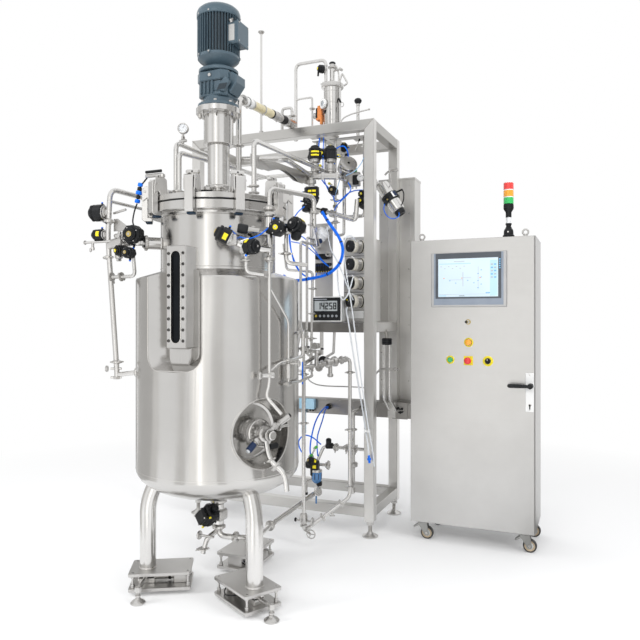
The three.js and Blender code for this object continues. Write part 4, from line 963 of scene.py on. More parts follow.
def slot_outline(half, low, high, steps=14):
    """An upright slot with round ends, as (across, up) pairs."""
    top = [(half * math.cos(math.pi * i / steps), high - half + half * math.sin(math.pi * i / steps))
            for i in range(steps + 1)]
    foot = [(-half * math.cos(math.pi * i / steps), low + half - half * math.sin(math.pi * i / steps))
            for i in range(steps + 1)]
    return top + foot


housing = Build()
housing.block(
    sight_grey,
    VESSEL + Vector((-SIGHT_HALF, SIGHT_FRONT, SIGHT_LOW)),
    VESSEL + Vector((SIGHT_HALF, -262, SIGHT_HIGH)),
    4,
)
cutter = Build()
front_way = (0, 1, 0)
cutter.prism(
    turned_steel,
    slot_outline(SLOT_HALF, SIGHT_LOW + SLOT_MARGIN, SIGHT_HIGH - SLOT_MARGIN),
    VESSEL + Vector((0, SIGHT_FRONT - 10, 0)),
    front_way,
    22,
)
sight_body = boolean(housing.mesh("sight_body"), cutter.mesh("sight_cutter"), "DIFFERENCE")
sight_piece = settled(sight_body.data, "sight_housing", 30)
bpy.data.objects.remove(sight_body)
fit(sight_piece, "plant", "brushed_steel", "sight_frame")

glass = Build()
glass.prism(
    coated("dark_glass", (0.003, 0.004, 0.005), (0.006, 0.008, 0.010), 0.05, gloss=0.12,
        relief_depth=0.000002),
    slot_outline(SLOT_HALF - 1, SIGHT_LOW + SLOT_MARGIN + 1, SIGHT_HIGH - SLOT_MARGIN - 1),
    VESSEL + Vector((0, SIGHT_FRONT + 8, 0)),
    front_way,
    3.5,
)
fit(glass.mesh("sight_pane"), "plant", "dark_glass", "sight_glass")

rim = Build()
for half, out in ((SLOT_HALF + 2.5, 2.5), (SLOT_HALF + 0.5, 1.2)):
    edge_line = slot_outline(half, SIGHT_LOW + SLOT_MARGIN - 2, SIGHT_HIGH - SLOT_MARGIN + 2)
    loop = [VESSEL + Vector((a, SIGHT_FRONT - 0.2, b)) for a, b in edge_line]
    # The inner, thinner loop is near-black: painted shade in the gap round the glass.
    rim.tube(bright_weld if out > 2 else painted_shade_and_black_marks, loop + loop[:1], out, 8)
seat = [(-58, 1122), (-48, 1096), (48, 1096), (58, 1122), (58, 1170), (-58, 1170)]
# A thin, lighter sheet over the housing's right side: painted light that makes that side brighter than the
# housing's steel.
lit_side_sheet = coated("lit_side_sheet", (0.60, 0.59, 0.575), (0.70, 0.69, 0.675), 0.32, grain=420, metal=0.35,
        gloss=0.6)
rim.block(lit_side_sheet, VESSEL + Vector((49.6, SIGHT_FRONT + 6, SIGHT_LOW + 5)),
        VESSEL + Vector((50.7, -266, SIGHT_HIGH - 5)), 0.3)
rim.prism(sight_grey, [(-a, b) for a, b in seat], VESSEL + Vector((0, -322, 0)), front_way, 60, edge=5)
for side in (-1, 1):
    rim.tube(bright_weld, [VESSEL + Vector((side * 51, -268 - 2 * i % 2, 1130 + 40 * i))
            for i in range(13)], 2.2, 8)
fit(rim.mesh("sight_rim"), "plant", "brushed_steel")

SCREWS = 9
screw_head = Build()
# The screw heads are steel painted dark, and each sits on a wider near-black disc: painted shade on the
# heads, a painted shadow ring round them and painted shade in the socket.
screw_steel_painted_shade = coated("screw_steel_painted_shade", (0.13, 0.125, 0.12), (0.20, 0.19, 0.18), 0.34, metal=1.0)
screw_head.rod(screw_steel_painted_shade, (0, 1, 0), (0, -4.6, 0), 5.8, 16, 1)
screw_head.rod(painted_shade_and_black_marks, (0, 1, 0), (0, -0.5, 0), 7.2, 20, 0.1)
screw_head.rod(painted_shade_and_black_marks, (0, -4.4, 0), (0, -4.9, 0), 3.6, 6, 0.1)
for side, label in ((-1, "left"), (1, "right")):
    first = VESSEL + Vector((side * 38, SIGHT_FRONT, SIGHT_LOW + 34))
    pitch = (0, 0, (SIGHT_HIGH - SIGHT_LOW - 68) / (SCREWS - 1))
    fit(copies("sight_screws_" + label, screw_head, screw_steel_painted_shade, first, SCREWS, pitch), "plant",
            "brushed_steel")


# ------------------------------------------------------------------ top drive and agitator
# A turned stainless stool carries the cast gearbox and the finned motor, both in blue-grey enamel over a
# fine casting skin. The shaft and its two disc turbines hang inside the tank.
STOOL_FOOT, STOOL_WAIST, STOOL_FLANGE, STOOL_TOP = 1944.3, 2144.3, 2290.3, 2320.3
GEAR_LOW, GEAR_TOP, MOTOR_LOW = 2320.6, 2489.6, 2489.9
BARREL_LOW, BARREL_TOP, FAN_TOP = 2570.9, 2755.9, 2811.9
enamel = coated("blue_grey_enamel", (0.050, 0.083, 0.108), (0.066, 0.103, 0.130), 0.36, 520, 0.0005,
        coat=0.25)
# Near-black enamel: painted shade between the motor's fins, in the fan cover's grooves and under the
# gearbox's wide top; it also darkens a small plate on the gearbox brace.
fin_shadow = coated("painted_fin_shade", (0.014, 0.023, 0.031), (0.022, 0.033, 0.042), 0.55)
name_plate = coated("plain_plate", (0.50, 0.50, 0.49), (0.58, 0.58, 0.56), 0.35, metal=0.6)

stool = Build()
stool.turned(
    polished_pipe,
    VESSEL,
    UP,
    [
        (STOOL_BORE, STOOL_FOOT),
        (53, STOOL_FOOT),
        (53, STOOL_WAIST - 4),
        (56, STOOL_WAIST),
        (70, STOOL_WAIST),
        (71.5, STOOL_WAIST + 2),
        (71.5, STOOL_FLANGE - 4),
        (76, STOOL_FLANGE),
        (105, STOOL_FLANGE),
        (108, STOOL_FLANGE + 3),
        (108, STOOL_TOP - 3),
        (105, STOOL_TOP),
        (STOOL_BORE, STOOL_TOP),
    ],
    96,
)
for radius, height, bead in ((53, STOOL_FOOT + 2, 2.4), (71, STOOL_WAIST + 1, 1.6),
        (54, STOOL_WAIST - 3, 2.0)):
    ring = [VESSEL + Vector((radius * math.cos(t / 9), radius * math.sin(t / 9), height))
            for t in range(58)]
    stool.tube(bright_weld, ring, bead, 6)
fit(stool.mesh("drive_stool_body"), "plant", "polished_steel", "drive_stool")

flange_bolt = Build()
flange_bolt.rod(turned_steel, (92, 0, STOOL_FLANGE - 9), (92, 0, STOOL_FLANGE + 1), 9, 6)
flange_bolt.rod(turned_steel, (92, 0, STOOL_FLANGE - 15), (92, 0, STOOL_FLANGE - 8), 5, 12)
flange_bolt.rod(turned_steel, (92, 0, GEAR_LOW + 15), (92, 0, GEAR_LOW + 24), 8, 6)
fit(copies("stool_bolts", flange_bolt, turned_steel, VESSEL, 8, turn=45, first=22), "plant",
        "brushed_steel")

gear = Build()
gear.turned(
    enamel,
    VESSEL,
    UP,
    [
        (23, GEAR_LOW),
        (98, GEAR_LOW),
        (100, GEAR_LOW + 2),
        (100, GEAR_LOW + 15),
        (94, GEAR_LOW + 17),
        (78, GEAR_LOW + 20),
        (74, GEAR_LOW + 56),
        (23, GEAR_LOW + 56),
    ],
    64,
)
GEAR_HALF, GEAR_DEEP = 80, 75
corner_cut = 26
plan = [
    (GEAR_HALF, -GEAR_DEEP + corner_cut),
    (GEAR_HALF, GEAR_DEEP - corner_cut),
    (GEAR_HALF - corner_cut, GEAR_DEEP),
    (corner_cut - GEAR_HALF, GEAR_DEEP),
    (-GEAR_HALF, GEAR_DEEP - corner_cut),
    (-GEAR_HALF, corner_cut - GEAR_DEEP),
    (corner_cut - GEAR_HALF, -GEAR_DEEP),
    (GEAR_HALF - corner_cut, -GEAR_DEEP),
]
gear.prism(enamel, plan, VESSEL + Vector((0, 0, GEAR_LOW + 46)), UP, GEAR_TOP - GEAR_LOW - 94, (0, 1, 0), 5)
wide = [(a * 1.07, b * 1.07) for a, b in plan]
gear.prism(enamel, wide, VESSEL + Vector((0, 0, GEAR_TOP - 52)), UP, 50, (0, 1, 0), 5)
gear.prism(fin_shadow, plan, VESSEL + Vector((0, 0, GEAR_TOP - 56)), UP, 6, (0, 1, 0))
for share in (-0.62, -0.36, -0.1, 0.16):
    x = share * GEAR_HALF
    gear.block(
        enamel,
        VESSEL + Vector((x - 4, -GEAR_DEEP - 9, GEAR_LOW + 56)),
        VESSEL + Vector((x + 4, -GEAR_DEEP + 4, GEAR_TOP - 54)),
        2.5,
    )
wedge = [(74, 72), (88, 58), (124, 104), (124, 142), (100, 158), (74, 160)]
gear.prism(enamel, [(a, GEAR_LOW + b) for a, b in wedge], VESSEL + Vector((0, 45, 0)), (0, -1, 0), 90,
        edge=5)
brace = [(20, 66), (74, 58), (108, 100), (86, 128), (44, 92)]
gear.prism(enamel, [(a, GEAR_LOW + b) for a, b in brace], VESSEL + Vector((0, -60, 0)), (0, -1, 0), 22,
        edge=4)
plate = [(40, 66), (84, 66), (98, 92), (54, 92)]
gear.prism(fin_shadow, [(a, GEAR_LOW + b) for a, b in plate], VESSEL + Vector((0, -82, 0)), (0, -1, 0), 1.6)
for x, y in ((-92, 0), (92, 0), (0, -86)):
    gear.rod(turned_steel, VESSEL + Vector((x * 0.8, y * 0.86, GEAR_TOP - 26)),
            VESSEL + Vector((x, y, GEAR_TOP - 26)), 9, 6)
fit(gear.mesh("gearbox_body", 28), "plant", "drive_paint", "gearbox")

drive = Build()
drive.turned(
    enamel,
    VESSEL,
    UP,
    [
        (0, MOTOR_LOW),
        (94, MOTOR_LOW),
        (96, MOTOR_LOW + 2),
        (96, MOTOR_LOW + 14),
        (88, MOTOR_LOW + 18),
        (60, MOTOR_LOW + 26),
        (56, MOTOR_LOW + 34),
        (66, MOTOR_LOW + 40),
        (94, MOTOR_LOW + 62),
        (101, MOTOR_LOW + 70),
        (101, BARREL_LOW + 2),
        (90, BARREL_LOW + 4),
        (90, BARREL_TOP - 2),
        (104, BARREL_TOP),
        (106, BARREL_TOP + 4),
        (106, BARREL_TOP + 24),
        (101, BARREL_TOP + 38),
        (88, BARREL_TOP + 50),
        (66, FAN_TOP - 1),
        (0, FAN_TOP),
    ],
    96,
)
drive.turned(fin_shadow, VESSEL, UP, [(90.4, BARREL_LOW + 3), (91, BARREL_LOW + 3), (91, BARREL_TOP - 1),
        (90.4, BARREL_TOP - 1)], 72)
for ring_radius in (24, 40, 56):
    drive.turned(fin_shadow, VESSEL, UP, [(ring_radius, FAN_TOP - 2), (ring_radius + 6, FAN_TOP - 2),
            (ring_radius + 6, FAN_TOP + 0.3), (ring_radius, FAN_TOP + 0.3)], 48)
BOX_LOW, BOX_HIGH = BARREL_LOW + 40, BARREL_LOW + 145
drive.block(enamel, VESSEL + Vector((62, -50, BOX_LOW)), VESSEL + Vector((134, 50, BOX_HIGH)), 6)
drive.block(enamel, VESSEL + Vector((128, -52, BOX_LOW - 2)), VESSEL + Vector((138, 52, BOX_HIGH + 2)), 3)
drive.block(name_plate, VESSEL + Vector((84, -51.4, BOX_LOW + 12)),
        VESSEL + Vector((118, -49.6, BOX_HIGH - 16)), 0.5)
for y in (-42, 42):
    for z in (BOX_LOW + 9, BOX_HIGH - 9):
        drive.rod(turned_steel, VESSEL + Vector((137, y, z)), VESSEL + Vector((140.5, y, z)), 4, 12)
gland = VESSEL + Vector((104, -48, BOX_HIGH - 4))
drive.rod(turned_steel, gland, gland + Vector((0, -10, 12)), 10, 6)
for degrees in (-122, -85, 25, 150):
    boss = VESSEL + Vector((97 * math.cos(math.radians(degrees)), 97 * math.sin(math.radians(degrees)), 0))
    out_way = (boss - VESSEL).normalized()
    for height in (BARREL_LOW - 3, BARREL_TOP + 7):
        foot = boss + Vector((0, 0, height))
        drive.rod(enamel, foot - out_way * 8, foot + out_way * 7, 9, 20)
        drive.rod(turned_steel, foot + out_way * 6, foot + out_way * 11, 5, 6)
eye_line = [
    VESSEL + Vector((106 + 12 * math.sin(t * math.pi / 10), -14 + 12 * math.cos(t * math.pi / 10),
        BARREL_TOP - 40))
    for t in range(21)
]
drive.tube(turned_steel, eye_line, 3.5, 8)
fit(drive.mesh("motor_body", 30), "plant", "drive_paint", "motor")

FINS = 44
fin = Build()
fin.block(enamel, (88, -1.5, BARREL_LOW + 2), (103, 1.5, BARREL_TOP + 1), 0.7)
fit(copies("motor_fins", fin, enamel, VESSEL, FINS, turn=360 / FINS), "plant", "drive_paint")

shaft = Build()
shaft.rod(polished_pipe, VESSEL + Vector((0, 0, 640)), VESSEL + Vector((0, 0, GEAR_LOW + 24)), 17, 32, 2)
fit(shaft.mesh("mixer_shaft"), "agitator", "brushed_steel", "agitator_shaft")
for height, node in ((720, "impeller_lower"), (1100, "impeller_upper")):
    turbine = Build()
    middle = VESSEL + Vector((0, 0, height))
    turbine.turned(turned_steel, middle, UP, [(17.3, -30), (27, -30), (29, -28), (29, 28), (27, 30),
            (17.3, 30)], 32)
    turbine.turned(turned_steel, middle, UP, [(20, -3), (65, -3), (66.2, -1.5), (66.2, 1.5), (65, 3),
            (20, 3)], 48)
    for i in range(6):
        turbine.turn = Matrix.Translation(middle) @ Matrix.Rotation(math.pi / 3 * i, 4, "Z")
        turbine.block(polished_pipe, (42, -2, -18), (92, 2, 18), 0.6)
    turbine.turn = Matrix.Identity(4)
    turbine.rod(turned_steel, middle + Vector((26, 0, 16)), middle + Vector((32, 0, 16)), 4, 6)
    fit(turbine.mesh(node + "_turbine"), "agitator", "brushed_steel", node)


# ------------------------------------------------------------------ legs and weigh modules
# Three legs of bent 76 mm stainless tube stand on ground plates. Under each, a load cell, a spacer and guard
# bolts part the plate from a second one, which an arm and a ball-jointed levelling foot carry.
LEG, LEG_CIRCLE, PLATE_MIDDLE, PLATE_LONG, PLATE_WIDE = 38, 337, 272, 290, 190
LOW_PLATE, HIGH_PLATE, PLATE = 20, 90.3, 14.7
plate_steel = stainless("plate_steel", (0.66, 0.65, 0.635), (0.54, 0.53, 0.515), 0.32, 0.46, (0.08, 1, 1),
        420, 0.00005)
black_paint = coated("black_plastic", (0.006, 0.007, 0.008), (0.014, 0.015, 0.017), 0.36, 700, 0.0003,
        gloss=0.3)
cable_black = coated("cable_black", (0.010, 0.010, 0.011), (0.018, 0.018, 0.019), 0.5, gloss=0.25)


def rounded_plate(half_long, half_wide, corner_radius, middle=0.0, steps=5):
    """A plate's outline with round corners, as (across, up) pairs round a middle."""
    ring = []
    for quarter, (a, b) in enumerate([(1, 1), (-1, 1), (-1, -1), (1, -1)]):
        for i in range(steps + 1):
            turn = math.pi / 2 * (quarter + i / steps)
            ring.append(
                (
                    middle + a * (half_long - corner_radius) + corner_radius * math.cos(turn),
                    b * (half_wide - corner_radius) + corner_radius * math.sin(turn),
                )
            )
    return ring


plate_shape = rounded_plate(PLATE_LONG / 2, PLATE_WIDE / 2, 12, PLATE_MIDDLE)
plate_in, plate_out, plate_side = PLATE_MIDDLE - PLATE_LONG / 2, PLATE_MIDDLE + PLATE_LONG / 2, PLATE_WIDE / 2
for number, (angle, foot_along, foot_across) in enumerate([(90, 477, 0), (210, 359, 165), (330, 477, 0)],
        1):
    stand = Matrix.Translation(VESSEL) @ Matrix.Rotation(math.radians(angle), 4, "Z")
    post = Build()
    post.turn = stand
    bend = rounded([(LEG_CIRCLE, 0, 104), (LEG_CIRCLE, 0, 460), (207, 0, 620)], 130, 14)
    post.tube(polished_pipe, bend, LEG, 48)
    post.turned(bright_weld, (LEG_CIRCLE, 0, 105), (0, 0, 1),
            [(36, 0), (42.5, 0), (41, 3), (38, 6), (36, 6)], 48)
    post.prism(plate_steel, plate_shape, (0, 0, HIGH_PLATE), UP, PLATE, (0, 1, 0), 1.5)
    for x in (plate_in + 16, plate_out - 20):
        for y in (-plate_side + 20, plate_side - 20):
            post.rod(turned_steel, (x, y, HIGH_PLATE + PLATE - 2), (x, y, HIGH_PLATE + PLATE + 0.8), 9, 20)
            # A near-black disc in each bolt head: painted shade in its socket.
            post.rod(painted_shade_and_black_marks, (x, y, HIGH_PLATE + PLATE + 0.5), (x, y, HIGH_PLATE + PLATE + 1.0), 4, 6,
                    0.1)
    fit(post.mesh(f"leg_{number}_tube"), "plant", "polished_steel", f"leg_{number}")

    module = Build()
    module.turn = stand
    arm_height = LOW_PLATE + 15 + 27.5
    module.prism(plate_steel, plate_shape, (0, 0, LOW_PLATE), UP, 15, (0, 1, 0), 1.5)
    module.block(polished_pipe, (plate_out - 117, -30, 34), (plate_out - 37, 30, 60), 3)
    module.block(polished_pipe, (plate_out - 112, -26, 62), (plate_out - 42, 26, 90), 3)
    # A near-black strip between the two blocks: painted shade in the gap.
    module.block(painted_shade_and_black_marks, (plate_out - 110, -24, 59), (plate_out - 44, 24, 63), 0.5)
    module.block(sight_grey, (plate_in + 25, -40, 34), (plate_in + 85, 40, 90), 3)
    module.rod(painted_shade_and_black_marks, (plate_in + 55, -40.5, 62), (plate_in + 55, -39.5, 62), 12, 24)
    module.rod(polished_pipe, (plate_in + 84, 0, arm_height), (plate_out - 110, 0, arm_height), 19, 28, 2)
    module.rod(black_paint, (plate_in + 100, 0, arm_height), (plate_in + 112, 0, arm_height), 22, 28, 2)
    for x in (plate_in + 16, plate_out - 20):
        for y in (-plate_side + 20, plate_side - 20):
            module.rod(turned_steel, (x, y, 34), (x, y, 90), 5.5, 14)
            for low in (35, 44, 78):
                module.rod(turned_steel, (x, y, low), (x, y, low + 8), 9.5, 6)
    out = Vector((foot_along, foot_across, arm_height))
    module.rod(turned_steel, (plate_out - 77, 0, arm_height), out, 10, 20)
    module.turned(
        turned_steel,
        (foot_along, foot_across, 0),
        (0, 0, 1),
        [(0, 0.2), (33, 0.2), (34, 1.5), (34, 6), (31, 10), (20, 17), (13, 21), (11, 26), (8, 28), (8, 76),
            (0, 77)],
        40,
    )
    module.rod(turned_steel, out - Vector((0, 0, 14)), out + Vector((0, 0, 12)), 15, 6, 2)
    module.rod(turned_steel, (foot_along, foot_across, 30), (foot_along, foot_across, 38), 13, 6)
    for ring in range(6):
        low = 39 + 1.6 * ring
        module.turned(turned_steel, (foot_along, foot_across, low), (0, 0, 1), [(7, 0), (9, 0.8), (7, 1.6)],
                20)
    cell_cable = rounded(
        [
            (plate_out - 112, -30, 74),
            (plate_out - 130, -62, 60),
            (plate_in + 90, -84, 44),
            (plate_in + 40, -60, 42),
            (plate_in + 30, -38, 60),
        ],
        22,
    )
    module.tube(cable_black, cell_cable, 3, 8)
    fit(module.mesh(f"weigh_module_{number}_body"), "plant", "brushed_steel", f"weigh_module_{number}")


# ------------------------------------------------------------------ bottom outlet and side port
# The clamped outlet valve has a black cast actuator with yellow position marks, and drains through a welded
# line to the skid. The side port carries a sampling valve and screwed-in sensors with dark caps.
OUTLET_TOP = 411.7
yellow_mark = coated("yellow_mark", (0.80, 0.66, 0.01), (0.88, 0.74, 0.02), 0.42)
brass_cap = coated("brass_cap", (0.52, 0.40, 0.14), (0.66, 0.53, 0.22), 0.26, metal=0.9)
navy_cap = coated("navy_cap", (0.010, 0.022, 0.06), (0.02, 0.035, 0.085), 0.4, gloss=0.3)
white_plastic = coated("white_plastic", (0.76, 0.76, 0.75), (0.84, 0.84, 0.83), 0.35)
TOWARDS_VIEW = Vector((0.4, -0.92, 0.1))


def elbow_line(start, bend, *corners):
    return rounded([Vector(start), *[Vector(c) for c in corners]], bend)


def drum_patch(piece, finish, foot, axis, radius, low, high, facing, span=0.8, thick=0.8):
    """A thin plate that lies round a drum's side, turned towards a direction."""
    axis = Vector(axis).normalized()
    facing = Vector(facing)
    out = (facing - axis * facing.dot(axis)).normalized()
    side = axis.cross(out)
    corners = []
    steps = 8
    for layer in (0, thick):
        for height in (low, high):
            for i in range(steps + 1):
                turn = span * (i / steps - 0.5)
                way = out * math.cos(turn) + side * math.sin(turn)
                corners.append(Vector(foot) + axis * height + way * (radius + layer))
    n = steps + 1
    faces = []
    for i in range(steps):
        faces.append([2 * n + i, 2 * n + i + 1, 3 * n + i + 1, 3 * n + i])
        faces.append([i, n + i, n + i + 1, i + 1])
        faces.append([i, i + 1, 2 * n + i + 1, 2 * n + i])
        faces.append([n + i, 3 * n + i, 3 * n + i + 1, n + i + 1])
    faces.append([0, 2 * n, 3 * n, n])
    faces.append([steps, n + steps, 3 * n + steps, 2 * n + steps])
    piece.shape(finish, corners, faces)


def actuator(piece, foot, axis, radius, length, bonnet, cap=None, facing=None, mark=True, span=0.8):
    """A pneumatic valve head: bonnet, lobed black drum, stepped cover, indicator and air fitting."""
    cap = cap or brass_cap
    axis = Vector(axis).normalized()
    foot = Vector(foot)
    facing = Vector(facing or TOWARDS_VIEW)
    side = axis.cross(facing).normalized()
    out = side.cross(axis).normalized()
    top = bonnet + length + 4
    piece.rod(turned_steel, foot - axis * 4, foot + axis * (bonnet + 2), radius * 0.42, 24)
    piece.turned(
        turned_steel,
        foot,
        axis,
        [(radius * 0.4, bonnet * 0.35), (radius * 0.66, bonnet * 0.4), (radius * 0.66, bonnet * 0.7),
            (radius * 0.4, bonnet * 0.75)],
        24,
    )
    piece.rod(turned_steel, foot + axis * (bonnet - 5), foot + axis * (bonnet + 1), radius * 0.84, 32)
    lobes = []
    for i in range(64):
        turn = 2 * math.pi * i / 64
        swell = radius * (0.965 + 0.035 * math.cos(8 * turn))
        lobes.append((swell * math.cos(turn), swell * math.sin(turn)))
    seam = bonnet + length * 0.62
    piece.prism(black_paint, lobes, foot + axis * bonnet, axis, length * 0.6, side, radius * 0.06)
    lid_lobes = [(a * 0.985, b * 0.985) for a, b in lobes]
    piece.prism(black_paint, lid_lobes, foot + axis * (seam + 1.5), axis, length * 0.24, side, radius * 0.1)
    piece.rod(black_paint, foot + axis * (seam - 3), foot + axis * (seam + 3), radius * 0.88, 32, 0.2)
    piece.rod(black_paint, foot + axis * (seam + length * 0.2), foot + axis * (top - 2), radius * 0.66, 32,
            2.5)
    piece.turned(
        black_paint,
        foot + axis * (top - 3),
        axis,
        [(radius * 0.36, 0), (radius * 0.5, 0), (radius * 0.5, 3.2), (radius * 0.36, 3.2)],
        32,
    )
    piece.rod(cap, foot + axis * (top - 4), foot + axis * (top + 4), radius * 0.3, 24, 2)
    piece.rod(turned_steel, foot + axis * (top + 3), foot + axis * (top + 6), radius * 0.13, 12, 1)
    for i in range(4):
        turn = math.pi / 4 + math.pi / 2 * i
        spot = foot + (out * math.cos(turn) + side * math.sin(turn)) * radius * 0.76
        piece.rod(turned_steel, spot + axis * (seam + length * 0.22), spot + axis * (seam + length * 0.27),
                radius * 0.08, 8)
    if mark:
        drum_patch(piece, yellow_mark, foot, axis, radius * 0.99, bonnet + length * 0.16,
                bonnet + length * 0.46, facing, span)
    fitting = foot + axis * (bonnet + length * 0.3) - out * radius * 0.3 + side * radius * 0.85
    piece.rod(black_paint, fitting, fitting + side * radius * 0.35, 5.5, 12)
    piece.rod(blue_nylon, fitting + side * radius * 0.33, fitting + side * (radius * 0.33 + 7), 4.6, 12)


outlet = Build()
outlet.rod(polished_pipe, VESSEL + Vector((0, 0, 300)), VESSEL + Vector((0, 0, 466)), 25, 36)
triclamp(outlet, VESSEL + Vector((0, 0, OUTLET_TOP)), UP, 26, bolt=0.5)
outlet.block(turned_steel, VESSEL + Vector((-34, -34, 318)), VESSEL + Vector((34, 34, 372)), 8)
outlet_axis = Vector((-0.35, -1, 0.05)).normalized()
outlet_foot = VESSEL + Vector((0, 0, OUTLET_TOP - 60))
outlet.rod(turned_steel, outlet_foot, outlet_foot + outlet_axis * 34, 26, 28)
box_turn = Matrix.Translation(outlet_foot + outlet_axis * 30) @ upright(outlet_axis).to_4x4()
outlet.turn = box_turn @ Matrix.Rotation(math.radians(24), 4, "Z")
outlet.block(black_paint, (-46, -38, 0), (46, 38, 62), 9)
outlet.block(black_paint, (-40, -44, 14), (40, 44, 50), 8)
outlet.block(black_paint, (-36, -30, 60), (36, 30, 86), 7)
outlet.rod(black_paint, (46, 0, 26), (66, 0, 26), 17, 24, 3)
outlet.block(painted_shade_and_black_marks, (-24, -44.8, 20), (14, -43.6, 44), 0.4)
for x, y, z in ((-44, 40, 8), (44, 40, 8), (-40, -36, 60), (40, -34, 62)):
    outlet.rod(yellow_mark, (x, y, z - 4), (x, y, z + 5), 5, 14, 1)
for x in (-30, 30):
    for y in (-24, 24):
        outlet.rod(turned_steel, (x, y, 84), (x, y, 88.5), 4, 10)
outlet.turn = Matrix.Identity(4)
elbow_z = 240
low_corner = VESSEL + Vector((60, 428, elbow_z - 70))
outlet.tube(
    polished_pipe,
    elbow_line(
        VESSEL + Vector((0, 0, 320)),
        42,
        VESSEL + Vector((0, 0, elbow_z)),
        VESSEL + Vector((90, 10, elbow_z)),
        VESSEL + Vector((170, 60, elbow_z - 10)),
        low_corner,
        (-330, -130, elbow_z + 22),
    ),
    14,
    24,
)
outlet.tube(
    polished_pipe,
    elbow_line(VESSEL + Vector((0, 0, elbow_z + 30)), 26, VESSEL + Vector((-30, -60, elbow_z)),
        VESSEL + Vector((-45, -70, elbow_z - 70))),
    12,
    20,
)
triclamp(outlet, VESSEL + Vector((90, 10, elbow_z)), (1, 0, 0), 14, bolt=2)
triclamp(outlet, VESSEL + Vector((170, 60, elbow_z - 10)), (0.3, 1, -0.1), 14, bolt=1)
triclamp(outlet, low_corner, (0, 1, 0), 14, bolt=0)
triclamp(outlet, VESSEL + Vector((0, 0, 286)), UP, 20, bolt=1)
tail_end = VESSEL + Vector((-45, -70, elbow_z - 70))
triclamp(outlet, tail_end + Vector((0, 0, 22)), UP, 12, width=9, bolt=3)
outlet.rod(turned_steel, VESSEL + Vector((-62, -66, elbow_z + 14)),
        VESSEL + Vector((14, -66, elbow_z + 14)), 6, 14)
outlet.turned(turned_steel, VESSEL + Vector((-72, -66, elbow_z + 14)), (1, 0, 0),
        [(6, 0), (20, 1), (22, 5), (20, 9), (6, 10)], 28)
fit(outlet.mesh("outlet_valve_body"), "plant", "brushed_steel", "outlet_valve")

PORT_FACE = 330.3


def at_port(reach, height=PORT_HEIGHT, more=0.0):
    return round_vessel(reach, PORT_ANGLE + more, height)


port = Build()
port.turned(
    turned_steel,
    at_port(TANK + 1),
    port_way,
    [(45, 0), (52, 2), (46, 8), (45, 40), (59, 46), (61, 48), (61, 62), (59, 64), (45, 66)],
    56,
)
# A near-black disc between the port and its cover: painted shade in the joint.
port.rod(painted_shade_and_black_marks, at_port(PORT_FACE - 1), at_port(PORT_FACE + 2), 55, 48)
port.turned(turned_steel, at_port(PORT_FACE + 2), port_way,
        [(0, 0), (60, 0), (61, 2), (61, 20), (57, 24), (34, 25), (30, 32), (0, 32)], 56)
for i in range(10):
    turn = 2 * math.pi * i / 10
    spot = at_port(PORT_FACE + 20) + port_side * 51 * math.cos(turn) + UP * 51 * math.sin(turn)
    port.rod(turned_steel, spot, spot + port_way * 12, 6, 6)
    port.rod(turned_steel, spot, spot + port_way * 17, 3, 8)
port.rod(polished_pipe, at_port(PORT_FACE + 28), at_port(PORT_FACE + 72), 22, 32)
triclamp(port, at_port(PORT_FACE + 64), port_way, 20, width=10, bolt=1.2)
port.rod(turned_steel, at_port(PORT_FACE + 70), at_port(PORT_FACE + 104), 28, 8, 3)
port.rod(polished_pipe, at_port(PORT_FACE + 104), at_port(PORT_FACE + 124), 20, 28, 4)
drain_top = at_port(PORT_FACE + 56)
drain = elbow_line(
    drain_top,
    44,
    (drain_top.x + 22, drain_top.y + 8, PORT_HEIGHT - 120),
    (drain_top.x + 101, drain_top.y + 5, PORT_HEIGHT - 170),
    (drain_top.x + 106, drain_top.y + 10, PORT_HEIGHT - 245),
)
port.tube(polished_pipe, drain, 12, 24)
triclamp(port, Vector((drain_top.x + 24, drain_top.y + 8, PORT_HEIGHT - 118)), (0.5, 0, -1), 10, width=8,
        bolt=0.6)
triclamp(port, Vector((drain_top.x + 56, drain_top.y + 7, PORT_HEIGHT - 143)), (0.8, 0, -0.6), 10, width=8,
        bolt=2.1)
for start, end, wide, cap_finish in (
    (at_port(PORT_FACE + 40, PORT_HEIGHT - 4), round_vessel(PORT_FACE + 60, PORT_ANGLE - 12,
        PORT_HEIGHT - 66), 15, navy_cap),
    (at_port(PORT_FACE + 60), round_vessel(PORT_FACE + 110, PORT_ANGLE + 14, PORT_HEIGHT + 74), 15,
        turned_steel),
):
    way = (end - start).normalized()
    reach_out = (end - start).length
    port.rod(turned_steel, start, start + way * reach_out * 0.6, wide * 0.62, 20)
    port.rod(turned_steel, start + way * reach_out * 0.35, start + way * reach_out * 0.5, wide * 1.05, 6)
    port.rod(cap_finish, start + way * reach_out * 0.58, end, wide, 24, 3)
    port.rod(silicone if cap_finish == navy_cap else black_paint, end - way * 3, end + way * 8, wide * 0.6,
            18, 2)
sensor_start = at_port(PORT_FACE + 66, PORT_HEIGHT + 18)
sensor_end = at_port(PORT_FACE + 82, PORT_HEIGHT + 26, 19)
port.rod(turned_steel, sensor_start, sensor_end, 6, 16)
port.turned(turned_steel, sensor_start.lerp(sensor_end, 0.5), sensor_end - sensor_start,
        [(6, 0), (17, 2), (18, 8), (14, 14), (6, 15)], 28)
side_probe = at_port(PORT_FACE + 20, PORT_HEIGHT - 72, 9)
port.rod(black_paint, side_probe, at_port(PORT_FACE + 26, PORT_HEIGHT - 70, 17), 13, 20, 3)
port.rod(turned_steel, at_port(PORT_FACE - 20, PORT_HEIGHT - 66, 2), side_probe, 8, 16)
fit(port.mesh("port_valve_body"), "plant", "brushed_steel", "port_valve")


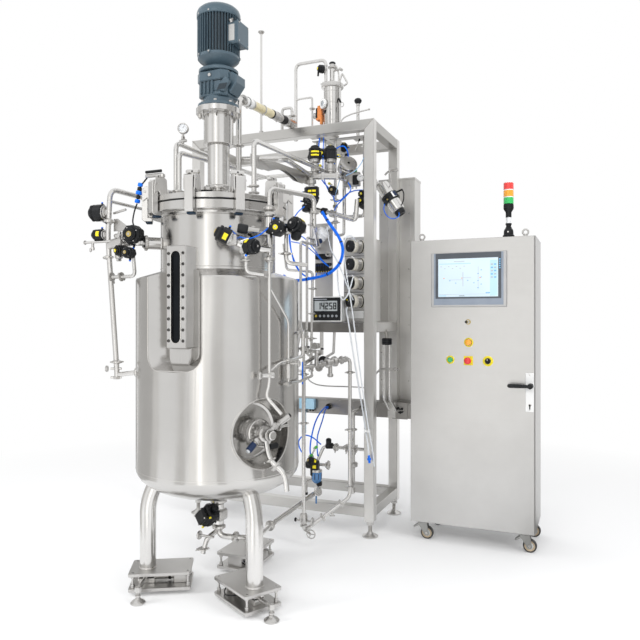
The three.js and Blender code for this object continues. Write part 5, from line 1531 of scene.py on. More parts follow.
# ------------------------------------------------------------------ valve trains round the vessel
# Orbital-welded tube carries pneumatic diaphragm valves with ribbed black drums, brass indicator caps and
# yellow fields. On the left a riser feeds the tank and the jacket; on the right it feeds the side port.
LEFT_X, LEFT_Y = VESSEL.x - JACKET - 83, VESSEL.y - 240
RIGHT_X, RIGHT_Y = VESSEL.x + JACKET - 8, VESSEL.y - 198
TRAIN_BACK = 20
drop_x = LEFT_X + 54
INLET = 1030


def left(across, forward, rise):
    return Vector((LEFT_X + across, LEFT_Y + forward, FLANGE_LOW + rise))


def right(across, forward, rise):
    return Vector((RIGHT_X + across, RIGHT_Y + forward, FLANGE_LOW + rise))


def run_of(piece, radius, bend, *corners, finish=None, sides=22):
    """A welded pipe run with a thin bead at each end of every bend."""
    line = rounded([Vector(c) for c in corners], bend, 7)
    piece.tube(finish or polished_pipe, line, radius, sides)
    for before, here, after in zip(corners, corners[1:], corners[2:]):
        here = Vector(here)
        for other in (Vector(before), Vector(after)):
            way = other - here
            if way.length < 2.2 * bend:
                continue
            way.normalize()
            piece.turned(bright_weld, here + way * (bend + 4), way,
                    [(radius - 0.5, -1.6), (radius + 0.7, 0), (radius - 0.5, 1.6)], 20)
    return line


def nut(piece, at, axis, radius, thick):
    half = Vector(axis).normalized() * thick / 2
    piece.rod(turned_steel, Vector(at) - half, Vector(at) + half, radius, 6, 1)


train = Build()
run_of(
    train,
    12.5,
    52,
    (LEFT_X + 14, TRAIN_BACK, FLANGE_LOW + 140),
    left(14, 0, 140),
    left(0, 0, -85),
    left(6, 0, -163),
    (drop_x, LEFT_Y, INLET + 20),
    (drop_x, LEFT_Y, INLET - 20),
)
run_of(train, 8, 30, left(8, 4, 82), (LEFT_X + 10, TRAIN_BACK, FLANGE_LOW + 82))
run_of(train, 6.5, 20, left(-130, -10, -113), left(148, -10, -113))
run_of(train, 8.5, 28, left(18, 0, -285), left(167, -6, -285), left(167, -20, -185))
left_mouth = round_vessel(TANK + 60.3, 225, 1654)
left_elbow = round_vessel(TANK + 130, 225, 1654)
train.rod(polished_pipe, round_vessel(TANK - 4, 225, 1654), left_mouth, 28, 36)
train.turned(bright_weld, round_vessel(TANK, 225, 1654), left_mouth - VESSEL - UP * 1654,
        [(28, -3), (32, 1), (28, 6)], 36)
run_of(train, 14, 30, left_mouth, left_elbow, left(113, 0, -130), left(3, 0, -130))
triclamp(train, left_mouth.lerp(left_elbow, 0.14), left_elbow - left_mouth, 22, bolt=0.3)
triclamp(train, left(5, 0, -16), UP, 12, bolt=2.5)
triclamp(train, left(2, 0, -190), (0.1, 0, -1), 12, width=10, bolt=1)
triclamp(train, left(24, 0, -285), (1, 0, 0), 9, width=9, bolt=4)
triclamp(train, left(84, -3, -285), (1, 0, 0), 8, width=8, bolt=5)
triclamp(train, Vector((drop_x, LEFT_Y, INLET + 62)), UP, 12, width=10, bolt=0.2)
foot_line = [(drop_x - 3, LEFT_Y, INLET), (VESSEL.x - 282, LEFT_Y + 6, INLET + 18)]
run_of(train, 11, 10, *foot_line)
train.turned(turned_steel, Vector((VESSEL.x - 296, LEFT_Y + 6, INLET + 17)), (1, 0, 0),
        [(11, -8), (26, -6), (28, 0), (26, 4), (11, 6)], 32)
actuator(train, left(0, 0, 27), (-1, -0.15, 0), 42, 70, 22, yellow_mark, mark=False)
actuator(train, left(0, 0, -79), (-1, -0.1, 0), 28, 58, 24, brass_cap, span=0.9)
actuator(train, left(179, 6, -95), (0.12, -1, 0), 46, 62, 20, brass_cap, (-1, 0, 0.3), mark=False)
actuator(train, left(167, -14, -179), (0.1, -1, 0), 27, 52, 20, brass_cap, (-1, -0.3, 0.2))
actuator(train, left(112, -4, -160), (-0.3, -1, -0.1), 26, 40, 16, yellow_mark, (-1, -0.3, 0.5), mark=False)
train.rod(turned_steel, left(6, 0, -134), left(150, 0, -102), 20, 28, 3)
train.rod(sight_grey, left(30, 0, -128), left(96, 0, -114), 25, 32, 4)
train.turned(turned_steel, left(66, -4, -96), (0.1, -0.3, 1),
        [(0, 0), (18, 0), (20, 3), (20, 12), (16, 16), (0, 17)], 28)
train.block(turned_steel, left(62, -26, -188), left(104, 16, -142), 7)
train.rod(turned_steel, left(83, -20, -200), left(83, -20, -150), 19, 28, 4)
nut(train, left(83, -20, -206), UP, 13, 12)
train.rod(turned_steel, left(96, -26, -90), left(96, -26, -130), 4, 12)
train.rod(turned_steel, left(96, -30, -72), left(96, -30, -92), 9, 20, 3)
train.turned(turned_steel, left(96, -34, -96), (0, -1, 0.2), [(0, 0), (10, 0), (13, 4), (10, 9), (0, 10)],
        20)
train.rod(turned_steel, left(-85, -10, -113), left(-85, -10, -138), 7, 16)
train.rod(turned_steel, left(-85, -10, -138), left(-85, -10, -152), 9, 6)
train.turned(turned_steel, left(-94, -22, -152), (0.6, 0.8, 0), [(0, 0), (9, 1), (11, 5), (9, 9), (0, 10)],
        20)
train.turned(turned_steel, left(-132, -10, -113), (-1, 0, 0), [(0, -2), (10, -2), (11, 2), (9, 5), (0, 5)],
        20)
bracket = [(0, 0), (74, 0), (74, 26), (24, 60), (0, 60)]
train.prism(plate_steel, [(a, b) for a, b in bracket], left(16, 26, -62), (0, -1, 0), 5, edge=0.8)
train.rod(turned_steel, left(14, 24, 26), left(88, 24, 40), 6, 16)
for height in (INLET + 30, INLET - 12):
    train.rod(turned_steel, (drop_x - 26, LEFT_Y - 14, height), (drop_x + 20, LEFT_Y + 10, height), 5.5, 14)
train.turned(turned_steel, Vector((drop_x - 36, LEFT_Y - 19, INLET + 30)), (-0.9, -0.45, 0),
        [(0, -2), (13, 0), (16, 6), (13, 12), (0, 14)], 24)
nut(train, Vector((drop_x, LEFT_Y, INLET - 14)), UP, 17, 12)
fit(train.mesh("left_train"), "plant", "brushed_steel", "left_valve_train")

probe = Build()
probe_top = left(190, 60, 196)
probe.tube(cable_black, flowing([probe_top, left(150, 54, 150), left(140, 54, 120), left(134, 52, 86)]),
        3.6, 8)
for height, thick, finish in ((150, 12, blue_nylon), (130, 11, black_paint), (112, 15, blue_nylon),
        (92, 10, black_paint), (72, 13, blue_nylon)):
    at = left(132 + (height - 72) * 0.22, 52, height)
    probe.rod(finish, at, at + Vector((4, 0, 18)), thick, 20, 3)
probe.block(plate_steel, left(186, 40, 188), left(286, 56, 204), 3)
probe.rod(black_paint, left(190, 44, 214), left(280, 44, 214), 7, 16)
fit(probe.mesh("level_probe"), "plant", "black_plastic")
probe_cable = flowing([left(132, 52, 70), left(120, 46, 30), left(124, 30, -20), left(150, 14, -50),
        left(176, 4, -62)])
hose("level_probe_cable", cable_black, probe_cable, 7, "black_plastic", lay="hanging")

front = Build()
run_of(
    front,
    11,
    36,
    right(0, 0, -225),
    right(0, 0, 86),
    right(98, 262, 86),
    right(98, 262, -45),
    (RIGHT_X - 222, -60, FLANGE_LOW - 45),
)
arch_end = Vector((RIGHT_X - 222, -60, FLANGE_LOW - 45))
arch_way = (arch_end - right(98, 262, -45)).normalized()
front.rod(turned_steel, arch_end - arch_way * 14, arch_end + arch_way * 14, 17, 28, 2)
nut(front, arch_end + arch_way * 16, arch_way, 18, 14)
front.rod(polished_pipe, arch_end, arch_end + arch_way * 192, 11, 22)
run_of(
    front,
    8,
    34,
    right(0, 0, -223),
    (RIGHT_X, RIGHT_Y, PORT_HEIGHT + 220),
    (RIGHT_X - 10, RIGHT_Y - 14, PORT_HEIGHT + 170),
    round_vessel(TANK + 215, PORT_ANGLE + 2, PORT_HEIGHT + 96),
)
front_mouth, front_elbow = round_vessel(TANK + 55.3, -54, 1660), round_vessel(TANK + 115, -54, 1660)
side_mouth, side_elbow = round_vessel(TANK + 60.3, -30, 1600), round_vessel(TANK + 100, -30, 1600)
front.rod(polished_pipe, round_vessel(TANK - 4, -54, 1660), front_mouth, 22, 32)
front.rod(polished_pipe, round_vessel(TANK - 4, -30, 1600), side_mouth, 20, 32)
run_of(front, 16, 26, front_mouth, front_elbow, right(-82, -82, -175), right(0, 0, -185))
run_of(front, 13, 24, side_mouth, side_elbow, right(0, 0, -145))
run_of(front, 9, 26, right(0, 0, -95), right(62, 40, -95), right(62, 40, -240), right(148, 78, -250))
run_of(front, 8, 22, right(-72, -78, -185), right(-72, -78, -285), right(-12, -32, -295))
triclamp(front, front_mouth.lerp(front_elbow, 0.16), front_elbow - front_mouth, 18, bolt=2.4)
triclamp(front, right(0, 0, -5), UP, 13, bolt=0.4)
triclamp(front, right(0, 0, -225), UP, 11, bolt=1.4)
triclamp(front, right(-72, -78, -235), UP, 8, width=8, bolt=2)
triclamp(front, right(98, 262, 10), UP, 11, width=9, bolt=1)
triclamp(front, right(62, 40, -200), UP, 9, width=9, bolt=2.6)
elbow_valve = front_elbow.lerp(right(-82, -82, -175), 0.45)
actuator(front, elbow_valve, (-0.75, -0.5, 0.45), 36, 62, 20, brass_cap, (0.5, -0.9, -0.2))
actuator(front, right(-82, -82, -179), (1, -0.35, 0), 34, 58, 24, black_paint, (0.2, -0.8, 0.7), span=0.6)
actuator(front, right(40, 26, -95), (0.2, -1, 0), 36, 58, 22, yellow_mark, (1, 0.1, 0.2), mark=False)
actuator(front, right(128, 58, -95), (-0.2, -0.9, 0.25), 38, 60, 14, black_paint, (0.4, -0.6, 1), span=0.7)
front.rod(black_paint, right(128, 20, -128), right(122, -6, -126), 22, 28, 4)
bonnet_plate = Vector((1, -0.35, 0)).normalized()
plate_foot = right(-82, -82, -179)
front.turn = Matrix.Translation(plate_foot) @ upright(bonnet_plate).to_4x4()
front.block(white_plastic, (-36, -22, 12), (36, 22, 24), 3)
for x in (-22, 22):
    front.rod(painted_shade_and_black_marks, (x, -22.6, 18), (x, -21.6, 18), 3.4, 12, 0.1)
front.turn = Matrix.Translation(elbow_valve) @ upright((-0.75, -0.5, 0.45)).to_4x4()
front.block(white_plastic, (-34, 4, 34), (-24, 30, 58), 3)
front.turn = Matrix.Identity(4)
front.rod(polished_pipe, right(0, 0, -90), right(0, 0, -40), 20, 28, 3)
front.turned(turned_steel, right(0, 0, -40), UP, [(11, 0), (26, 2), (28, 8), (24, 20), (14, 26), (11, 26)],
        32)
front.rod(black_paint, right(0, 0, -116), right(0, 0, -92), 18, 24, 3)
front.rod(turned_steel, right(0, 0, -168), right(0, 0, -116), 16, 28, 3)
front.rod(turned_steel, right(62, 40, -105), right(138, 68, -91), 13, 24)
front.rod(turned_steel, right(128, 58, -112), right(128, 58, -74), 20, 28, 3)
front.block(turned_steel, right(-98, -98, -206), right(-60, -60, -160), 7)
front.block(turned_steel, elbow_valve - Vector((24, 24, 24)), elbow_valve + Vector((24, 24, 24)), 7)
clamp_at = Vector((RIGHT_X, RIGHT_Y, PORT_HEIGHT + 262))
front.rod(turned_steel, clamp_at + Vector((-22, -30, 0)), clamp_at + Vector((20, 8, 0)), 10, 20)
front.turned(turned_steel, clamp_at + Vector((-26, -34, 0)), (-0.7, -0.7, 0),
        [(0, -3), (17, 0), (19, 6), (15, 11), (0, 12)], 28)
triclamp(front, clamp_at, UP, 8, width=9, bolt=2.2)
nut(front, clamp_at + Vector((12, 2, 0)), (1, 0.9, 0), 14, 16)
front.rod(turned_steel, right(-70, -10, -113), right(0, 0, -117), 15, 24)
for turn in (0.4, 1.3, 2.2, 3.4, 4.6):
    knob = right(-62 + 14 * math.cos(turn), -34, -112 + 22 * math.sin(turn))
    front.rod(turned_steel, right(-62, -10, -112), knob, 5, 12)
    front.rod(turned_steel if turn < 2 else cable_black, knob, knob + Vector((-2, -12, 3)), 9, 20, 2)
branch_foot = Vector((-80, -985, 1004))
run_of(front, 6, 24, right(0, 0, -345), (-80, -985, 1289), branch_foot)
front.turned(turned_steel, branch_foot + UP * 20, UP,
        [(6, 0), (13, 4), (16, 18), (16, 56), (13, 70), (6, 76)], 28)
front.rod(turned_steel, branch_foot + Vector((-26, 0, 92)), branch_foot + Vector((44, 8, 92)), 6, 16)
front.turned(turned_steel, branch_foot + Vector((44, 8, 92)), (1, 0.2, 0),
        [(3, 0), (14, 0), (16, 4), (13, 9), (3, 9)], 28)
triclamp(front, branch_foot + UP * 108, UP, 6, width=8, bolt=1.7)
run_of(front, 8, 22, (-425, 2, 1226), (-74, -840, 1236), (-74, -840, 1122), (-90, -1060, 1100),
        right(0, 0, -719))
run_of(front, 6.5, 30, (-376, -60, 992), (-150, -560, 1002), (-66, -882, 1007),
        branch_foot + Vector((-8, -24, 0)))
nut(front, branch_foot, (0.2, 0.9, 0), 12, 26)
head = right(-30, -34, -108)
front.rod(turned_steel, head, head + Vector((-46, -26, 8)), 15, 26, 2)
front.turned(black_paint, head + Vector((-44, -25, 8)), (-0.85, -0.5, 0.15),
        [(0, 0), (17, 0), (21, 5), (21, 40), (17, 46), (0, 46)], 36)
fit(front.mesh("front_train"), "plant", "brushed_steel", "front_valve_train")


# ------------------------------------------------------------------ vent pipes and exhaust condenser
# Lid gases leave through bent 24 mm tubes to a header at the skid. The exhaust rises past the drive into a
# sloping condenser tube, white glass-fibre at its ends round an aged amber sleeve, resting on the top rail.
HEADER, HEADER_Y, SKID_TOP, SKID_TUBE = FLANGE_TOP + 359, -36, 2485, 60
aged_sleeve = coated("aged_sleeve", (0.62, 0.53, 0.30), (0.74, 0.67, 0.44), 0.3, coat=0.3)
dial_glass = coated("dial_glass", (0.72, 0.74, 0.76), (0.80, 0.82, 0.84), 0.08, coat=1.0)


def gauge(piece, centre, facing, radius, dial=None):
    """A dial gauge: drawn case, bezel ring and a pale dial under glass with a dark pointer."""
    facing = Vector(facing).normalized()
    profile = [(0, -12), (radius - 2, -12), (radius, -10), (radius, 6), (radius - 2, 9), (radius - 5, 9),
            (radius - 5, 5), (0, 5)]
    piece.turned(turned_steel, centre, facing, profile, 48)
    piece.turned(dial or dial_glass, centre, facing,
            [(0, 5.4), (radius - 5.2, 5.4), (radius - 5.2, 6.4), (0, 6.4)], 48)
    side = facing.cross(UP).normalized()
    up = side.cross(facing)
    point = Vector(centre) + facing * 6.8
    piece.rod(painted_shade_and_black_marks, point, point + (up * 0.7 - side * 0.5) * radius * 0.62, 0.9, 6, 0.1)
    for i in range(9):
        turn = math.radians(-120 + 30 * i)
        way = up * math.cos(turn) + side * math.sin(turn)
        piece.rod(painted_shade_and_black_marks, point + way * radius * 0.62, point + way * radius * 0.74, 0.8, 6, 0.1)


vents = Build()
for index, drop in ((0, 0), (1, 60), (2, 34)):
    x, y, radius = LID_PORTS[index]
    start = VESSEL + Vector((x, y, dome_height(math.hypot(x, y)) + 22.3))
    top = Vector((start.x, start.y, HEADER - drop))
    run_of(vents, radius, 36, start, top, (start.x, HEADER_Y, HEADER))
    triclamp(vents, Vector((start.x, start.y, start.z + 24)), UP, 11, width=9, bolt=index)
run_of(vents, 12, 20, (VESSEL.x - 270, HEADER_Y, HEADER), (VESSEL.x + 216, HEADER_Y, HEADER))
for x in (-270, 216):
    vents.rod(turned_steel, (VESSEL.x + x - 6, HEADER_Y, HEADER), (VESSEL.x + x + 6, HEADER_Y, HEADER), 17,
            28, 2)
for x in (-230, 150):
    vents.block(plate_steel, (VESSEL.x + x - 12, HEADER_Y - 2, HEADER + 8),
            (VESSEL.x + x + 12, HEADER_Y + 32, HEADER + 14), 2)
gauge_x, gauge_y = VESSEL.x - 250, VESSEL.y + 60
vents.rod(turned_steel, (gauge_x, gauge_y, HEADER), (gauge_x, gauge_y, HEADER + 66), 6, 16)
vents.rod(turned_steel, (gauge_x, gauge_y, HEADER + 30), (gauge_x, gauge_y, HEADER + 46), 11, 6)
vents.rod(turned_steel, (gauge_x - 20, gauge_y, HEADER + 24), (gauge_x + 20, gauge_y, HEADER + 24), 8, 16)
gauge(vents, (gauge_x, gauge_y, HEADER + 88), (0.35, -1, 0), 28)
fit(vents.mesh("vent_tubes"), "plant", "polished_steel", "vent_pipes")

x, y, radius = LID_PORTS[3]
exhaust_start = VESSEL + Vector((x, y, dome_height(math.hypot(x, y)) + 22.3))
knee = Vector((exhaust_start.x, exhaust_start.y, SKID_TOP - 37))
far_end = Vector((VESSEL.x - 64, SKID_TUBE + 14, SKID_TOP + 45))
slope = (far_end - knee).normalized()
exhaust = Build()
run_of(exhaust, 15, 40, exhaust_start, knee, far_end)
triclamp(exhaust, exhaust_start + Vector((0, 0, 20)), UP, 15, width=9, bolt=1)
triclamp(exhaust, exhaust_start + Vector((0, 0, 300)), UP, 15, width=9, bolt=2)
for start, end, radius, finish in (
    (40, 58, 28, turned_steel),
    (58, 150, 24, white_plastic),
    (150, 166, 26, sight_grey),
    (166, 420, 24, aged_sleeve),
    (420, 436, 26, cable_black),
    (436, 560, 25, sight_grey),
    (560, 640, 26, cable_black),
    (640, 780, 22, polished_pipe),
):
    exhaust.rod(finish, knee + slope * start, knee + slope * end, radius, 40, 2)
for share in (96, 300, 500):
    exhaust.turned(turned_steel, knee + slope * share, slope, [(24, -5), (27.5, -4), (27.5, 4), (24, 5)],
            36)
    side = slope.cross(UP).normalized()
    exhaust.block(turned_steel, knee + slope * share - UP * 26 - Vector((5, 5, 8)),
            knee + slope * share - UP * 26 + Vector((5, 5, 8)), 2)
end_run = (far_end - knee).length
exhaust.rod(polished_pipe, knee + slope * (end_run - 150), knee + slope * (end_run - 20), 31, 40, 5)
for share in (end_run - 132, end_run - 40):
    exhaust.turned(turned_steel, knee + slope * share, slope, [(31, -5), (33.4, -4), (33.4, 4), (31, 5)],
            36)
fit(exhaust.mesh("exhaust_tubes"), "plant", "polished_steel", "exhaust_condenser")


# ------------------------------------------------------------------ air manifold
# Process air runs behind the drive to a row of angle-seat valves over the skid's front; a pressed, arched
# stainless yoke ties the row to the tube. Thin blue nylon tubes feed their black drums.
AIR_LEVEL = FLANGE_TOP + 319
air_left, air_right = Vector((-347, -126, AIR_LEVEL)), Vector((-205, -65, AIR_LEVEL))
air = Build()
run_of(
    air,
    13,
    50,
    VESSEL + Vector((-37, 270, AIR_LEVEL)),
    VESSEL + Vector((181, 363, AIR_LEVEL)),
    air_left,
    air_right,
    (air_right.x, SKID_TUBE + 6, AIR_LEVEL),
)
air_way = (air_right - air_left).normalized()
air.rod(turned_steel, air_left, air_right, 21, 32, 3)
for share in (0.0, 0.45, 1.0):
    nut(air, air_left.lerp(air_right, share), air_way, 25, 16)
for share, label in ((0.15, True), (0.75, False)):
    at = air_left.lerp(air_right, share)
    actuator(air, at, UP, 38, 78, 96, black_paint if label else yellow_mark, TOWARDS_VIEW, mark=False)
    air.turned(turned_steel, at, UP, [(14, 20), (24, 24), (24, 34), (16, 40), (16, 74), (30, 80), (30, 90),
            (14, 96)], 32)
    if label:
        for low, high in ((112, 122), (132, 142)):
            drum_patch(air, yellow_mark, at, UP, 38, low, high, TOWARDS_VIEW, 1.3)
actuator(air, air_left, (0, 0.12, -1), 44, 86, 66, black_paint, TOWARDS_VIEW, mark=False)
for low, high in ((84, 96), (106, 118)):
    drum_patch(air, yellow_mark, air_left, (0, 0.12, -1), 43, low, high, TOWARDS_VIEW, 1.1)
yoke_base = VESSEL + Vector((40, 262, AIR_LEVEL))
yoke_far = Vector((-384, -150, AIR_LEVEL))
yoke_way = (yoke_far - yoke_base).normalized()
yoke_length = (yoke_far - yoke_base).length
arch_outline = [(0, -52), (0.2 * yoke_length, -52)]
for i in range(13):
    share = i / 12
    arch_outline.append(((0.2 + 0.6 * share) * yoke_length, -52 + 34 * math.sin(math.pi * share)))
arch_outline += [(yoke_length, -52), (yoke_length, 14), (0, 14)]
air.prism(sight_grey, arch_outline, yoke_base + Vector((0, -20, 0)), yoke_way.cross(UP), 4, edge=0.8)
air.prism(sight_grey, [(a, b * 0.98) for a, b in arch_outline], yoke_base + Vector((16, 22, 0)),
        yoke_way.cross(UP), 4, edge=0.8)
for share in (0.06, 0.3, 0.66, 0.94):
    at = yoke_base + yoke_way * share * yoke_length
    air.rod(turned_steel, at + Vector((-14, -26, -6)), at + Vector((18, 30, -6)), 7, 6)
fit(air.mesh("air_manifold_run"), "plant", "brushed_steel", "air_manifold")

# ------------------------------------------------------------------ skid frame
# The skid is 60 mm square stainless tube, welded and brushed along each member: posts and rails mitred at
# the front and back, a shelf sheet, a cross bar for the air filter, and four turned levelling feet.
SKID_LONG, SKID_DEEP = 1270, 557
frame_upright = stainless("frame_upright", (0.81, 0.80, 0.78), (0.69, 0.68, 0.66), 0.32, 0.44, (1, 1, 0.02),
        420, 0.00003)
frame_across = stainless("frame_across", (0.66, 0.65, 0.63), (0.53, 0.52, 0.50), 0.27, 0.40, (0.02, 1, 1),
        420, 0.00003)
# The shelf rails' steel is a darker copy of the cross rails' steel: painted shade standing in for the darker
# things they reflect.
frame_shelf_painted_shade = stainless("frame_shelf_painted_shade", (0.36, 0.35, 0.335), (0.27, 0.26, 0.25), 0.24, 0.38, (0.02, 1, 1),
        420, 0.00003)
frame_deep = stainless("frame_deep", (0.56, 0.55, 0.53), (0.44, 0.43, 0.41), 0.27, 0.40, (1, 0.02, 1), 420,
        0.00003)
LOW_RAIL, SHELF_RAIL, SHELF_SHEET = 120, 1217, 1280
MAST_X, MAST_Y = -764, 30
skid = Build()
inner = SKID_TOP - SKID_TUBE
for back in (SKID_TUBE, SKID_DEEP):
    right_post = [(-60, 100), (0, 100), (0, SKID_TOP), (-60, inner)]
    left_post = [(-SKID_LONG, 100), (60 - SKID_LONG, 100), (60 - SKID_LONG, inner), (-SKID_LONG, SKID_TOP)]
    top_rail = [(60 - SKID_LONG, inner), (-60, inner), (0, SKID_TOP), (-SKID_LONG, SKID_TOP)]
    for outline, finish in ((right_post, frame_upright), (left_post, frame_upright),
            (top_rail, frame_across)):
        skid.prism(finish, outline, (0, back, 0), (0, -1, 0), SKID_TUBE, edge=3)
    for low in (LOW_RAIL, SHELF_RAIL):
        # The shelf rails take the darker copy: painted shade.
        skid.block(frame_across if low == LOW_RAIL else frame_shelf_painted_shade, (60 - SKID_LONG, back - 60, low),
                (-60, back, low + 60), 3)
        for x in (60 - SKID_LONG, -60):
            skid.rod(bright_weld, (x, back - 59.6, low + 2), (x, back - 59.6, low + 58), 1.8, 8)
    for x in (-60, -SKID_LONG):
        corner_x = 0 if x == -60 else -SKID_LONG
        skid.rod(bright_weld, (x if x == -60 else 60 - SKID_LONG, back - 59.8, inner),
                (corner_x, back - 59.8, SKID_TOP), 1.2, 8)
for left_side in (-SKID_LONG, -60):
    for low in (LOW_RAIL, SHELF_RAIL, inner):
        skid.block(frame_deep, (left_side, 60, low), (left_side + 60, 497, low + 60), 3)
        for y in (60, 497):
            skid.rod(bright_weld, (left_side + 59.6, y, low + 2), (left_side + 59.6, y, low + 58), 1.8, 8)
skid.block(frame_across, (-1206, 14, SHELF_SHEET - 10), (-64, 543, SHELF_SHEET), 1.5)
skid.block(frame_across, (-1256, 64, SHELF_SHEET - 8), (-14, 493, SHELF_SHEET - 0.6), 1.5)
skid.block(frame_deep, (-393, 60, inner), (-353, 497, SKID_TOP), 2.5)
for x in (-900, -620, -160):
    skid.block(frame_deep, (x - 15, 60, 1222), (x + 15, 497, 1240), 1.5)
for x in (30 - SKID_LONG, -30):
    for y in (30, SKID_DEEP - 30):
        foot = [(0, 0), (45, 0), (47, 2), (47, 8), (44, 10), (26, 18), (16, 28), (13, 32)]
        for i in range(18):
            foot += [(12, 33 + 2 * i), (10.9, 34 + 2 * i)]
        foot += [(12, 70), (0, 70)]
        skid.turned(turned_steel, (x, y, 0), UP, foot, 40)
        nut(skid, (x, y, 79), UP, 22, 14)
        skid.rod(turned_steel, (x, y, 86), (x, y, 101), 20, 28)
        skid.block(frame_upright, (x - 26, y - 26, 94), (x + 26, y + 26, 101), 1)
mast_top = SKID_TOP + 655
skid.rod(polished_pipe, (MAST_X, MAST_Y, SKID_TOP - 4), (MAST_X, MAST_Y, mast_top - 4), 7, 20)
skid.turned(turned_steel, (MAST_X, MAST_Y, mast_top - 20), UP,
        [(6, 0), (9, 2), (20, 14), (20, 19), (12, 20), (6, 20)], 32)
nut(skid, (MAST_X, MAST_Y, SKID_TOP + 8), UP, 15, 14)
fit(skid.mesh("skid_tubes"), "plant", "brushed_steel", "skid_frame")


# ------------------------------------------------------------------ wireway
# Folded 1.5 mm stainless trunking carries the cables from the skid to the cabinet; its lids are lipped
# and screwed. A tall riser of the same make stands behind the right post, and black glands let cables out.
# The low trunking's steel is painted far darker than the riser's: painted shade standing in for the darker
# things it reflects.
shaded_way_across = stainless("trunking_across_painted_shade", (0.36, 0.35, 0.335), (0.26, 0.25, 0.24), 0.26, 0.40, (0.02, 1, 1),
        420, 0.00003)
way_upright = stainless("trunking_upright", (0.74, 0.73, 0.71), (0.58, 0.57, 0.55), 0.28, 0.42,
        (1, 1, 0.02), 420, 0.00003)
pale_blue = coated("pale_blue_cover", (0.36, 0.62, 0.80), (0.44, 0.70, 0.86), 0.3, coat=0.4)
trunk = Build()
# The low run is in the darker, painted-shade steel.
trunk.block(shaded_way_across, (-1210, 380, 660), (201.6, 470, 757), 1.5)
trunk.block(shaded_way_across, (-1210, 377.5, 748), (3, 470, 760), 1.2)
trunk.block(shaded_way_across, (106, 377.5, 748), (201.6, 472, 760), 1.2)
trunk.block(shaded_way_across, (5, 462, 660), (102, 561, 760), 1.5)
trunk.block(shaded_way_across, (-60, 462, 690), (0, 496.6, 730), 1)
trunk.block(shaded_way_across, (2, 376, 656), (104, 380.5, 763), 1)
trunk.block(way_upright, (-144, 560, 650), (102, 717, 2237), 1.5)
trunk.block(way_upright, (-138, 557.6, 664), (76, 560.4, 2226), 1)
trunk.block(way_upright, (-148, 556, 2226), (105, 719, 2239), 1)
for i in range(9):
    for x in (-126, 64):
        trunk.rod(turned_steel, (x, 557.8, 700 + 186 * i), (x, 555.2, 700 + 186 * i), 4.5, 14, 1)
for i in range(12):
    trunk.rod(turned_steel, (-1160 + 100 * i, 377.8, 754), (-1160 + 100 * i, 375.6, 754), 3.2, 12, 0.8)
for x in (120, 190):
    trunk.rod(turned_steel, (x, 377.8, 754), (x, 375.6, 754), 3.2, 12, 0.8)
trunk.block(pale_blue, (-640, 348, 692), (-535, 381, 758), 3)
trunk.block(pale_blue, (-643, 344, 690), (-532, 349, 762), 3)
trunk.block(pale_blue, (-630, 354, 520), (-604, 378, 694), 2)
for x in (-626, -568, -546):
    trunk.rod(cable_black, (x, 362, 692), (x, 362, 676), 7, 16, 2)
trunk.block(way_upright, (-24, 360, 664), (30, 381, 762), 1.5)
# A near-black slit beside the cover: painted shade in the gap.
trunk.block(painted_shade_and_black_marks, (30.4, 379, 660.4), (34.5, 381, 755), 0.3)
for x, z in ((-12, 742), (-12, 684), (18, 742), (18, 684)):
    trunk.rod(turned_steel, (x, 360.4, z), (x, 357.6, z), 4, 14, 1)
for x, z, radius in ((44, 726, 9), (58, 720, 6), (70, 724, 8), (60, 700, 9), (74, 704, 6), (50, 700, 6)):
    trunk.rod(cable_black, (x, 376.4, z), (x, 362, z), radius, 18, 2)
    trunk.rod(turned_steel, (x, 376.4, z), (x, 372, z), radius + 3, 6, 0.6)
for x in (-437, -200):
    nut(trunk, (x, 374, 712), (0, 1, 0), 20, 10)
    trunk.rod(cable_black, (x, 372, 712), (x, 358, 712), 19, 28, 3)
    trunk.turned(cable_black, (x, 360, 712), (0, -1, 0), [(6, 0), (16, 0), (14, 4), (8, 5), (6, 5)], 24)
fit(trunk.mesh("trunking"), "plant", "brushed_steel", "wireway")

# Two bent conduits of polished tube run from a black sleeve below the side rail down to the trunking's
# connector plate. A small clip plate with a hand screw ties them together.
conduits = Build()
for x, foot_x, shift in ((-10, -10, 0), (26, 34, 6)):
    line = [(x, 240 + shift, 1150), (x, 240 + shift, 800), (foot_x, 350, 716), (foot_x, 362, 716)]
    conduits.tube(polished_pipe, rounded(line, 26, 7), 9, 20)
conduits.rod(black_paint, (8, 243, 1136), (8, 243, 1178), 32, 36, 5)
for height in (1146, 1158, 1168):
    conduits.turned(black_paint, (8, 243, height), UP, [(30, -2), (33.4, 0), (30, 2)], 36)
conduits.rod(turned_steel, (-36, 246, 985), (66, 246, 985), 5, 16)
conduits.block(plate_steel, (-38, 228, 978), (50, 234, 992), 1.5)
conduits.rod(turned_steel, (-58, 200, 950), (-30, 232, 985), 6, 16)
nut(conduits, (60, 246, 985), (1, 0, 0), 11, 10)
conduits.turned(turned_steel, (68, 246, 985), (1, 0, 0), [(3, 0), (9, 3), (10, 8), (6, 14), (3, 14)], 20)
braid_steel = coated("braided_sleeve", (0.30, 0.29, 0.27), (0.55, 0.53, 0.50), 0.4, 300, 0.0008, metal=1.0)
braid = flowing([(8, 243, 1176), (4, 246, 1204), (-12, 250, 1232), (-34, 256, 1260)])
conduits.tube(braid_steel, braid, 12, 20)
fit(conduits.mesh("bent_conduits"), "plant", "brushed_steel")


